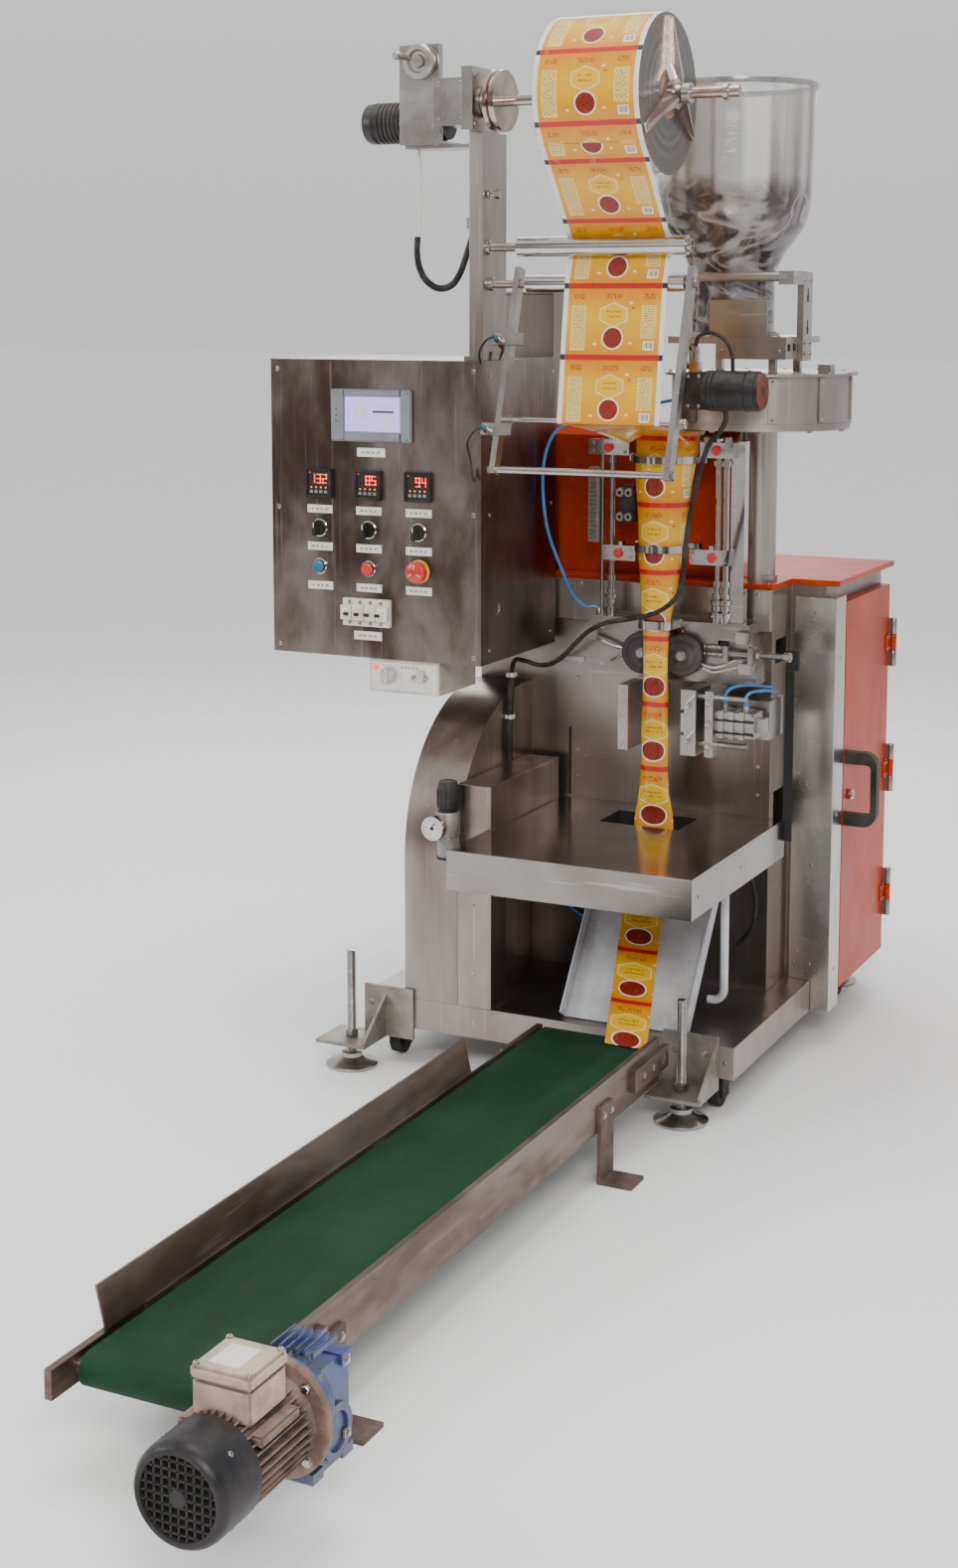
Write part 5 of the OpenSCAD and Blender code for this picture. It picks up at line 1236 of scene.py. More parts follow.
    def roll(self) -> None:
        """Makes the reel: wound print, layered ends and card core."""
        steps, half = 96, FILM_WIDTH / 2
        rows, place = [], []
        for k in range(steps + 1):
            a = FULL_TURN * k / steps
            row, uv = [], []
            for c in range(9):
                u = c / 4 - 1
                row.append(Vector((u * half, 124 * sin(a), REEL_HEIGHT + 124 * cos(a))))
                uv.append((u * half, 40.0 + 124.4 * a))
            rows.append(row)
            place.append(uv)
        cover = self.sheet("reel_print", rows, place, Body.REEL)
        ends = Solid("wound_edge", "card_core")
        for s in (-1, 1):
            ends.ring(38.5, 123.9, 3, (s * half if s < 0 else half - 3, 0, REEL_HEIGHT), X, 0, 96)
            ends.ring(9.2, 38.4, 6, (-half - 0.6 if s < 0 else half - 5.4, 0, REEL_HEIGHT), X,
                      1, 64)
        sides = ends.emit("reel_ends", "film", Body.REEL)
        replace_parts(cover, "film_reel")
        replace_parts(sides, "film_reel")

    def build(self) -> None:
        """Makes every film piece."""
        self.tube(self.web())
        self.roll()


class Grower(Graph):
    """A geometry node tree that makes a mesh from points or from a curve."""

    def __init__(self, name: str, entry: str, **numbers: float) -> None:
        """Starts the tree.

        Args:
            name: The tree's name.
            entry: The name of its geometry input.
            **numbers: Its number inputs with their defaults.
        """
        super().__init__(bpy.data.node_groups.new(name, "GeometryNodeTree"))
        socket = self.tree.interface.new_socket
        socket(entry, in_out="INPUT", socket_type="NodeSocketGeometry")
        self.keys: dict[str, str] = {}
        for label, default in numbers.items():
            made = socket(label, in_out="INPUT", socket_type="NodeSocketFloat")
            made.default_value = default
            self.keys[label] = made.identifier
        socket("Result", in_out="OUTPUT", socket_type="NodeSocketGeometry")
        self.entry = self.tree.nodes.new("NodeGroupInput").outputs
        self.leave = self.tree.nodes.new("NodeGroupOutput").inputs[0]

    def step(self, kind: str, inputs: dict[str, object], **settings: object) -> bpy.types.Node:
        """Adds a node.

        Args:
            kind: The node's type name.
            inputs: Plain values or sockets by the names of the node's inputs.
            **settings: Properties, which are set first.

        Returns:
            The new node.
        """
        made = self.tree.nodes.new(kind)
        for key, value in settings.items():
            setattr(made, key, value)
        for key, value in inputs.items():
            if isinstance(value, bpy.types.NodeSocket):
                self.tree.links.new(value, made.inputs[key])
            else:
                made.inputs[key].default_value = value
        return made

    def named(self, name: str, kind: str) -> Socket:
        """Reads a named attribute of the points."""
        made = self.step("GeometryNodeInputNamedAttribute", {"Name": name}, data_type=kind)
        return next(o for o in made.outputs if o.enabled and o.name == "Attribute")

    def end(self, last: Socket, finish: str) -> None:
        """Makes the instances real, sets their material and ends the tree."""
        solid = self.step("GeometryNodeRealizeInstances", {"Geometry": last})
        dress = self.step("GeometryNodeSetMaterial", {"Geometry": solid.outputs[0],
                                                      "Material": PALETTE.get(finish)})
        self.feed(self.leave, dress.outputs[0])

    def run(self, name: str, source: bpy.types.ID, **numbers: float) -> bpy.types.Mesh:
        """Runs the tree and keeps what it makes.

        Args:
            name: The new mesh's name.
            source: A mesh of points or a curve, in metres.
            **numbers: Values of the number inputs.

        Returns:
            The mesh, shaded smooth.
        """
        holder = bpy.data.objects.new(name + "_source", source)
        bpy.context.scene.collection.objects.link(holder)
        modifier = holder.modifiers.new("grow", "NODES")
        modifier.node_group = self.tree
        for label, value in numbers.items():
            modifier[self.keys[label]] = value
        bpy.context.view_layer.update()
        ready = holder.evaluated_get(bpy.context.evaluated_depsgraph_get())
        mesh = bpy.data.meshes.new_from_object(ready)
        mesh.name = name
        bpy.data.objects.remove(holder)
        mesh.polygons.foreach_set("use_smooth", [True] * len(mesh.polygons))
        return mesh


@dataclass(frozen=True)
class Head:
    """One screw head: where it sits, the way it faces, and its radius, in millimetres."""

    at: Point
    facing: Point
    radius: float


def grid(xs: Places, ys: Places, zs: Places, facing: Point, radius: float) -> list[Head]:
    """Gives equal screw heads at every mix of places.

    Args:
        xs: One place or several along X.
        ys: One place or several along Y.
        zs: One place or several along Z.
        facing: The way they face.
        radius: Their radius.

    Returns:
        The heads.
    """
    rows = [(row,) if isinstance(row, (int, float)) else row for row in (xs, ys, zs)]
    return [Head(at, facing, radius) for at in product(*rows)]


class Screws:
    """Places screw heads with geometry nodes, all turned a little differently."""

    finish = "bright_steel"

    def head(self, name: str, hexagon: bool) -> bpy.types.Object:
        """Makes one screw head of unit radius, facing +Z, as the pattern to repeat."""
        shape = bmesh.new()
        sides = 6 if hexagon else 24
        rings = []
        for radius, height in ((1.25, 0.0), (1.25, 0.12), (1.0, 0.14), (1.0, 0.5), (0.82, 0.66)):
            count = 24 if radius > 1.1 else sides
            rings.append((count, [shape.verts.new((radius * cos(FULL_TURN * k / count),
                                                   radius * sin(FULL_TURN * k / count), height))
                                  for k in range(count)]))
        for (n, low), (m, high) in zip(rings, rings[1:]):
            if n == m:
                for k in range(n):
                    shape.faces.new((low[k], low[(k + 1) % n], high[(k + 1) % n], high[k]))
            else:
                shape.faces.new(low)
        if hexagon:
            shape.faces.new(rings[-1][1])
        else:
            inner = [shape.verts.new((0.42 * cos(FULL_TURN * k / 6),
                                      0.42 * sin(FULL_TURN * k / 6), 0.66)) for k in range(6)]
            deep = [shape.verts.new((v.co.x, v.co.y, 0.25)) for v in inner]
            outer = rings[-1][1]
            for k in range(6):
                shape.faces.new((inner[k], outer[4 * k], outer[4 * k + 1], outer[4 * k + 2],
                                 outer[4 * k + 3], outer[(4 * k + 4) % 24], inner[(k + 1) % 6]))
                shape.faces.new((deep[k], inner[k], inner[(k + 1) % 6], deep[(k + 1) % 6]))
            shape.faces.new(deep)
        bmesh.ops.recalc_face_normals(shape, faces=shape.faces)
        mesh = bpy.data.meshes.new(name)
        shape.to_mesh(mesh)
        shape.free()
        mesh.materials.append(PALETTE.get(self.finish))
        return bpy.data.objects.new(name, mesh)

    def tree(self, pattern: bpy.types.Object) -> Grower:
        """Builds the tree that puts the pattern on every point."""
        g = Grower("screws on points", "Points", Size=1.0)
        align = g.step("FunctionNodeAlignRotationToVector",
                       {"Vector": g.named("facing", "FLOAT_VECTOR")}, axis="Z")
        chance = g.step("FunctionNodeRandomValue", {"Min": (0, 0, 0), "Max": (0, 0, 6.2),
                                                    "Seed": 7}, data_type="FLOAT_VECTOR")
        spin = g.step("FunctionNodeRotateRotation",
                      {"Rotation": align.outputs[0],
                       "Rotate By": next(o for o in chance.outputs if o.enabled)},
                      rotation_space="LOCAL")
        source = g.step("GeometryNodeObjectInfo", {"Object": pattern})
        spread = g.step("GeometryNodeInstanceOnPoints",
                        {"Points": g.entry["Points"], "Instance": source.outputs["Geometry"],
                         "Rotation": spin.outputs[0],
                         "Scale": g.mul(g.named("radius", "FLOAT"), g.entry["Size"])})
        g.end(spread.outputs[0], self.finish)
        return g

    def place(self, name: str, heads: Sequence[Head], body: Body = Body.MACHINE,
              hexagon: bool = False) -> None:
        """Makes one piece from a group of screw heads.

        Args:
            name: The piece's name.
            heads: The heads.
            body: The CAD body that carries them.
            hexagon: True for hexagon heads, False for socket heads.
        """
        points = bpy.data.meshes.new(name + "_points")
        points.from_pydata([tuple((Vector(h.at) + ORIGIN) * MM) for h in heads], [], [])
        facing = points.attributes.new("facing", "FLOAT_VECTOR", "POINT")
        facing.data.foreach_set("vector", [c for h in heads for c in h.facing])
        radius = points.attributes.new("radius", "FLOAT", "POINT")
        radius.data.foreach_set("value", [h.radius * MM for h in heads])
        pattern = self.head(name + "_pattern", hexagon)
        mesh = self.tree(pattern).run(name, points, Size=1.0)
        bpy.data.objects.remove(pattern)
        mesh.set_sharp_from_angle(angle=radians(35))
        adopt(name, mesh, [self.finish], self.finish, body)


SCREWS = Screws()
FRONT: Point = (0.0, -1.0, 0.0)
RIGHT: Point = (1.0, 0.0, 0.0)
UP: Point = (0.0, 0.0, 1.0)


class ControlPanel:
    """Instruments, knobs, labels and screws on the control box."""

    face = -23.0
    centre = -435.0
    step = 95.0
    low = 716.0

    def column(self, i: int) -> float:
        """Gives the middle of an instrument column."""
        return self.centre + i * self.step

    def rows(self, *heights: float) -> list[float]:
        """Turns heights above the box's bottom into heights above the floor."""
        return [self.low + height for height in heights]

    def screen(self) -> None:
        """Makes the operator screen: rounded bezel, lit picture and simple buttons on it."""
        low, high = box_mm("touch_screen")
        x0, x1 = low.x - ORIGIN.x, high.x - ORIGIN.x
        z0, z1 = low.z, high.z
        made = Solid("bezel_grey", "screen_glow", "label_white", "dark_trim_and_gap_shade")
        y = self.face - 6
        for low_x, low_z, high_x, high_z in ((x0, z0, x0 + 27, z1), (x1 - 22, z0, x1, z1),
                                             (x0 + 24, z0, x1 - 20, z0 + 17),
                                             (x0 + 24, z1 - 13, x1 - 20, z1)):
            made.box((low_x, y, low_z), (high_x, self.face, high_z), 2.2)
        made.box((x0 + 25, y + 2.2, z0 + 15), (x1 - 20, self.face, z1 - 11), 0.3, 1)
        made.disc(10, 0.5, (x0 + 58, y + 1.6, z0 + 52), Y, 2, 32)
        for k in range(3):
            made.box((x0 + 36 + 29 * k, y + 1.7, z0 + 21), (x0 + 56 + 29 * k, y + 3, z0 + 28),
                     0.4, 2)
            made.box((x0 + 80, y + 1.8, z0 + 40 + 9 * k), (x0 + 120, y + 3, z0 + 43 + 9 * k), 0.3,
                     3 if k == 1 else 2)
            made.disc(1.4, -0.3, (x0 + 11, y, z0 + 34 + 10 * k), Y, 3, 12)
        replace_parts(made.emit("operator_screen", "screen_plastic"), "touch_screen")

    def digit(self, made: Solid, number: int, x: float, z: float, size: float, slot: int) -> None:
        """Adds one seven-segment digit."""
        lit = {0: "abcdef", 1: "bc", 2: "abged", 3: "abgcd", 4: "fgbc", 5: "afgcd", 6: "afgedc",
               7: "abc", 8: "abcdefg", 9: "abcdfg"}[number]
        w, t = size * 0.55, size * 0.13
        y0, y1 = self.face - 6.1, self.face - 5.2
        bars = {"a": (0, size - t, w, size), "d": (0, 0, w, t),
                "g": (0, size / 2 - t / 2, w, size / 2 + t / 2), "f": (0, size / 2, t, size),
                "b": (w - t, size / 2, w, size), "e": (0, 0, t, size / 2),
                "c": (w - t, 0, w, size / 2)}
        for key in lit:
            a, b, c, d = bars[key]
            made.box((x + a, y0, z + b), (x + c, y1, z + d), 0.0, slot)

    def instruments(self) -> None:
        """Makes the three temperature controllers."""
        made = Solid("black_plastic", "dark_trim_and_gap_shade", "red_digit", "amber_dot", "bezel_grey")
        z0 = self.low + 270
        for i, number in ((-1, (1, 3, 2)), (0, (8, 5)), (1, (9, 4))):
            x = self.column(i) - 25
            y = self.face
            for a, b in (((0, 0), (5, 50)), ((45, 0), (50, 50)), ((5, 0), (45, 5)),
                         ((5, 46), (45, 50))):
                made.box((x + a[0], y - 8, z0 + a[1]), (x + b[0], y, z0 + b[1]), 1.0)
            made.box((x + 4, y - 5.2, z0 + 4), (x + 46, y, z0 + 47), 0.2, 1)
            for k, n in enumerate(number):
                self.digit(made, n, x + 33 - 11.5 * (len(number) - 1 - k), z0 + 25, 16, 2)
            made.box((x + 7, y - 6, z0 + 42.5), (x + 9, y - 5, z0 + 44), 0.0, 2)
            for k in range(4):
                made.box((x + 8 + 9.3 * k, y - 6.6, z0 + 8),
                         (x + 14.6 + 9.3 * k, y - 5, z0 + 13.5), 0.6, 4)
                made.box((x + 10 + 9.3 * k, y - 6, z0 + 17),
                         (x + 12.6 + 9.3 * k, y - 5, z0 + 19.4), 0.0, 3)
        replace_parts(made.emit("controller_faces", "black_plastic"), "temperature_controllers")

    def knobs(self) -> None:
        """Makes the selector knobs and the rings round the push buttons."""
        rings = Solid("chrome_rod", "yellow_cap")
        for i in (-1, 0, 1):
            ring = [(13.4, 0), (15.2, 0), (15.6, 1), (15.2, 3), (13.6, 4), (13.4, 4), (13.4, 0)]
            rings.lathe([(r, -z) for r, z in ring], (self.column(i), self.face, self.low + 219),
                        Y, 0, 48)
            if i < 1:
                rings.lathe([(r - 1.5, -z * 1.3) for r, z in ring],
                            (self.column(i), self.face, self.low + 153), Y, 0, 48)
        rings.lathe([(8, 0), (20, 0), (20, -0.8), (18, -1.2), (8, -1.2), (8, 0)],
                    (self.column(1), self.face, self.low + 153), Y, 1, 48)
        rings.emit("switch_rings", "bright_steel")
        for i, body, node in ((-1, Body.SELECTOR_LEFT, "selector_left"),
                              (0, Body.SELECTOR_MIDDLE, "selector_middle"),
                              (1, Body.SELECTOR_RIGHT, "selector_right")):
            knob = Solid("black_plastic", "label_white")
            at = (self.column(i), self.face - 0.3, self.low + 219)
            knob.lathe([(0, 0), (12.6, 0), (13, -1), (13, -5), (12, -6), (0, -6)], at, Y, 0, 48)
            knob.prism([(at[0] + x, at[2] + z) for x, z in ((-4, -9), (-2, -12.4), (2, -12.4),
                                                            (4, -9), (2.6, 9), (1.6, 12.4),
                                                            (-1.6, 12.4), (-2.6, 9))], Y,
                       self.face - 24, self.face - 5, 0, 1.0)
            knob.box((at[0] - 0.7, self.face - 24.3, at[2] + 2),
                     (at[0] + 0.7, self.face - 23.6, at[2] + 11), 0.0, 1)
            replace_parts(knob.emit(node + "_knob", "black_plastic", body), node)
        head = Solid("red_plastic", "label_white")
        at = (self.column(1), self.face - 6, self.low + 153)
        head.lathe([(0, -0.8), (14, -0.8), (16.5, -1.4), (19, -3), (19, -7), (17.5, -10.5),
                    (13, -13), (6, -13.9), (0, -14)], at, Y, 0, 48)
        for k in range(3):
            a = radians(90 + 120 * k)
            spin = Matrix.Rotation(-a, 4, "Y")
            head.box((at[0] + 9 * cos(a) - 4, at[1] - 14.3, at[2] + 9 * sin(a) - 0.6),
                     (at[0] + 9 * cos(a) + 4, at[1] - 12.4, at[2] + 9 * sin(a) + 0.6), 0.2, 1, spin)
        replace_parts(head.emit("stop_mushroom", "red_plastic", Body.EMERGENCY), "emergency_stop")

    def labels(self) -> None:
        """Makes the engraved labels with rows of unreadable marks."""
        made = Solid("label_white", "label_ink")
        places = [(self.column(i), z, 49, 14) for i in (-1, 0, 1) for z in (251, 187, 120)]
        places += [(self.centre - 3, 38, 54, 15), (self.centre + 5, 350, 54, 15)]
        for k, (x, z, w, h) in enumerate(places):
            made.box((x - w / 2, self.face - 1.2, self.low + z - h / 2),
                     (x + w / 2, self.face, self.low + z + h / 2), 0.3)
            for j in range(4):
                a = x - w * 0.34 + j * w * 0.18
                made.box((a, self.face - 1.4, self.low + z - 2),
                         (a + w * (0.1 + 0.03 * ((j + k) % 2)), self.face - 1.1,
                          self.low + z + 1.5), 0.0, 1)
        made.emit("panel_labels", "ivory_plastic")

    def breaker(self) -> None:
        """Adds the pole lines, toggles and screws of the circuit breaker."""
        made = Solid("dark_trim_and_gap_shade", "black_plastic", "bright_steel")
        x0, z0, y = self.centre - 47, self.low + 55, self.face - 19
        for k in range(1, 4):
            made.box((x0 + 22.5 * k - 0.4, y - 0.3, z0 + 11),
                     (x0 + 22.5 * k + 0.4, y + 2, z0 + 36), 0.0)
        for k in range(4):
            made.box((x0 + 9 + 20 * k, y - 6.6, z0 + 19), (x0 + 19 + 20 * k, y - 3, z0 + 25),
                     0.8, 1)
            for z in (z0 + 41.5, z0 + 5.5):
                made.disc(2.6, -1.6, (x0 + 14 + 20 * k, self.face - 10, z), Y, 2, 16)
        made.emit("breaker_toggles", "ivory_plastic")

    def feeder(self) -> None:
        """Adds the dial, lamp and switch of the feeder controller."""
        made = Solid("black_plastic", "red_digit", "controller_sheet", "label_ink",
                     "chrome_rod", "label_white")
        y = -20.0
        made.box((-433, y - 0.7, self.low - 53), (-308, y, self.low - 5), 0.5, 5)
        made.lathe([(0, 0), (14, 0), (13, -4), (11, -12), (10, -13), (0, -13)],
                   (-399, y - 0.5, self.low - 27), Y, 2, 40)
        made.box((-400, y - 14.2, self.low - 27), (-398, y - 12, self.low - 15), 0.2, 0)
        made.dial(around(9, -40, 32.5), (-399, y, self.low - 27), 18, 1.2, 3)
        made.lathe([(0, 0), (4.5, 0), (4.5, -3), (3, -6), (0, -7)], (-424, y, self.low - 15), Y,
                   1, 24)
        for x in (-352, -330):
            made.disc(5, -2, (x, y, self.low - 28), Y, 4, 24)
            made.lathe([(0, 0), (2, 0), (1.6, -12), (0, -13)], (x, y, self.low - 28), Y, 4, 16)
        for k in range(5):
            made.box((-376 + 7 * k, y - 0.9, self.low - 14),
                     (-372 + 7 * k, y - 0.4, self.low - 10.5), 0.0, 3)
        made.emit("feeder_face", "ivory_plastic")

    def build(self) -> None:
        """Makes everything on the control box."""
        self.screen()
        self.instruments()
        self.knobs()
        self.labels()
        self.breaker()
        self.feeder()
        heads = grid((-612, -238), self.face, self.rows(14, 252, 488), FRONT, 3.6)
        heads += grid((-482, -358), self.face - 6, self.rows(373, 450), FRONT, 1.6)
        heads += grid(-225, (10, 258), self.rows(22, 250, 480), RIGHT, 3.2)
        SCREWS.place("panel_screws", heads)


class Hopper:
    """The clear hopper with its rim and the bolted foot."""

    def build(self) -> None:
        """Makes the hopper's pieces."""
        wall = Solid("clear_acrylic")
        outer = [(70, 1260), (70, 1364), (86, 1398), (104, 1420), (120, 1444), (127, 1472),
                 (129, 1502), (130.5, 1560), (132, 1620), (133, 1672)]
        inner = [(r - 3.2, z) for r, z in reversed(outer)]
        wall.lathe([*outer, (134, 1674), (134, 1676), (129, 1676), *inner, (66.8, 1260),
                    (70, 1260)], (92, 300, 0), Z, 0, 96)
        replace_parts(wall.emit("hopper_wall", "clear_plastic", sharp=60), "hopper")
        made = Solid("machined_aluminium", "sight_bowl")
        made.lathe([(70.4, 1260), (79, 1260), (79, 1266), (70.4, 1266), (70.4, 1260)],
                   (92, 300, 0), Z, 0, 64)
        made.lathe([(133.2, 1668), (136, 1668), (136.6, 1672), (136, 1677), (133.2, 1677),
                    (133.2, 1668)], (92, 300, 0), Z, 1, 96)
        made.emit("hopper_rings", "aluminium")
        SCREWS.place("hopper_screws", [Head((92 + 75 * c, 300 + 75 * n, 1266), UP, 2.6)
                                       for c, n in around(8, 0, 45)])


class Unwind:
    """Small parts round the reel shaft, the post and the dancer."""

    def motor(self) -> None:
        """Makes the unwind motor: ribbed black can with flanges."""
        made = Solid("black_metal", "black_plastic")
        y, z = 27, 1611
        profile = [(0, -458), (24, -458), (31, -455), (33.5, -450), (34, -438), (32, -436),
                   (32, -434), (34, -432)]
        for k in range(11):
            x = -430 + 8 * k
            profile += [(34, x), (34, x + 4), (31.5, x + 5), (31.5, x + 7)]
        profile += [(34, -340), (34, -318), (30, -316), (30, -307), (0, -307)]
        made.lathe(profile, (0, y, z), X, 0, 48)
        made.box((-388, y - 18, z + 30), (-344, y + 18, z + 46), 3, 1)
        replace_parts(made.emit("unwind_motor_can", "black_metal"), "unwind_motor")

    def shaft(self) -> None:
        """Adds nuts, collars and bearings to the reel shaft, the post and the guide rollers."""
        made = Solid("machined_aluminium", "bright_steel")
        made.lathe([(9.4, 0), (15, 0), (16, 1), (16, 13), (15, 14), (9.4, 14), (9.4, 0)],
                   (113, 0, REEL_HEIGHT), X, 0, 32)
        made.ring(9.2, 13, 8, (180, 0, REEL_HEIGHT), X, 1, 24)
        made.ring(9.2, 12.5, 10, (-126, 0, REEL_HEIGHT), X, 0, 24)
        made.emit("shaft_collars", "aluminium", Body.REEL)
        fixed = Solid("machined_aluminium", "chrome_rod", "bright_steel")
        fixed.lathe([(9.6, 0), (24, 0), (25, 1), (25, 9), (24, 10), (9.6, 10), (9.6, 0)],
                    (-227, 0, REEL_HEIGHT), X, 0, 40)
        for x, y, z, r in ((-227, 6, 1405, 12), (-227, 18, 1346, 11), (121.5, 6, 1405, 10.5),
                           (119, 18, 1346, 10)):
            fixed.lathe([(7.4, 0), (r, 0), (r, 6), (r - 1, 7), (7.4, 7), (7.4, 0)], (x, y, z), X,
                        2, 32)
        # knobs that lock the rollers' shafts in the post
        fixed.lathe([(0, 0), (7, 0), (7, 3), (5, 4), (5, 18), (0, 18)], (-224, 6, 1490), X, 1, 20)
        fixed.disc(8, 8, (-212, 6, 1490), X, 2, 6)
        fixed.emit("post_bearings", "aluminium")
        heads = grid(-227, (-38, 38), (1600, 1676), RIGHT, 3.4)
        heads += grid(-301, -14, (1590, 1650), RIGHT, 3)
        heads += grid((-297, -257), -32, (1608, 1666), FRONT, 3)
        heads += grid(-239.5, (0, 68), 1229, UP, 3.2)
        SCREWS.place("unwind_screws", heads)

    def dancer(self) -> None:
        """Adds the sensors' blue lamps, cables and nuts, and the end caps of the dancer frame."""
        made = Solid("blue_cap", "black_rubber", "chrome_rod", "bright_steel")
        lean = radians(16.8)
        for drop in (96, 246):
            base = Vector((-194, 18 - drop * sin(lean) - 23, 1346 - drop * cos(lean) + 7))
            made.lathe([(0, -7), (3.5, -7), (4.6, -5), (4.8, 0), (0, 0)], base, Y, 0, 20)
            for k in (12, 30):
                made.ring(6.2, 9.5, 4, base + Vector((0, k, -1 - k * 0.22)),
                          Y, 3, 6)
            path = [base + Vector(step) for step in ((0, -6, 0), (-10, -14, -6), (-26, -6, -26),
                                                     (-34, 20, -52), (-38, 50, -84))]
            path.append(Vector((-226, min(70, base.y + 95), max(1235, base.z - 100))))
            made.tube(path, 1.9, 1, 8)
        for x in (-182, 118):
            made.lathe([(0, 0), (7, 0), (7.5, 1), (7.5, 4), (6, 5), (0, 5)],
                       (x + (10 if x > 0 else -5), -20, 1127), X, 2, 24)
            made.disc(7.5, 5, (x + (10 if x > 0 else -5), -71.6, 1049.2), X, 3, 6)
        made.emit("film_sensors", "bright_steel")

    def build(self) -> None:
        """Makes every small part of the unwind unit."""
        self.motor()
        self.shaft()
        self.dancer()


class Hose:
    """The corrugated hose, made with geometry nodes along its route."""

    depth = 0.14

    def tree(self, finish: str) -> Grower:
        """Builds the tree that sweeps a ribbed tube along a curve."""
        g = Grower("corrugated hose", "Route", Radius=0.006, Pitch=0.003)
        route = g.step("GeometryNodeResampleCurve",
                       {"Curve": g.entry["Route"],
                        "Length": g.math("DIVIDE", g.entry["Pitch"], 4.0)}, mode="LENGTH")
        wave = g.math("SINE", g.mul(g.step("GeometryNodeInputIndex", {}).outputs[0], pi / 2))
        ripple = g.add(g.mul(wave, self.depth), 1.0 - self.depth)
        ring = g.step("GeometryNodeCurvePrimitiveCircle", {"Resolution": 14, "Radius": 1.0})
        sweep = g.step("GeometryNodeCurveToMesh",
                       {"Curve": route.outputs[0], "Profile Curve": ring.outputs[0],
                        "Scale": g.mul(ripple, g.entry["Radius"]), "Fill Caps": True})
        g.end(sweep.outputs[0], finish)
        return g

    def build(self, name: str, route: Sequence[Point], radius: float, finish: str,
              slot: str) -> None:
        """Makes one hose along a route in millimetres."""
        data = bpy.data.curves.new(name + "_route", "CURVE")
        data.dimensions = "3D"
        line = data.splines.new("POLY")
        points = spline(route, 8)
        line.points.add(len(points) - 1)
        for point, at in zip(line.points, points):
            point.co = (*((at + ORIGIN) * MM), 1.0)
        mesh = self.tree(finish).run(name, data, Radius=radius * MM)
        adopt(name, mesh, [finish], slot)


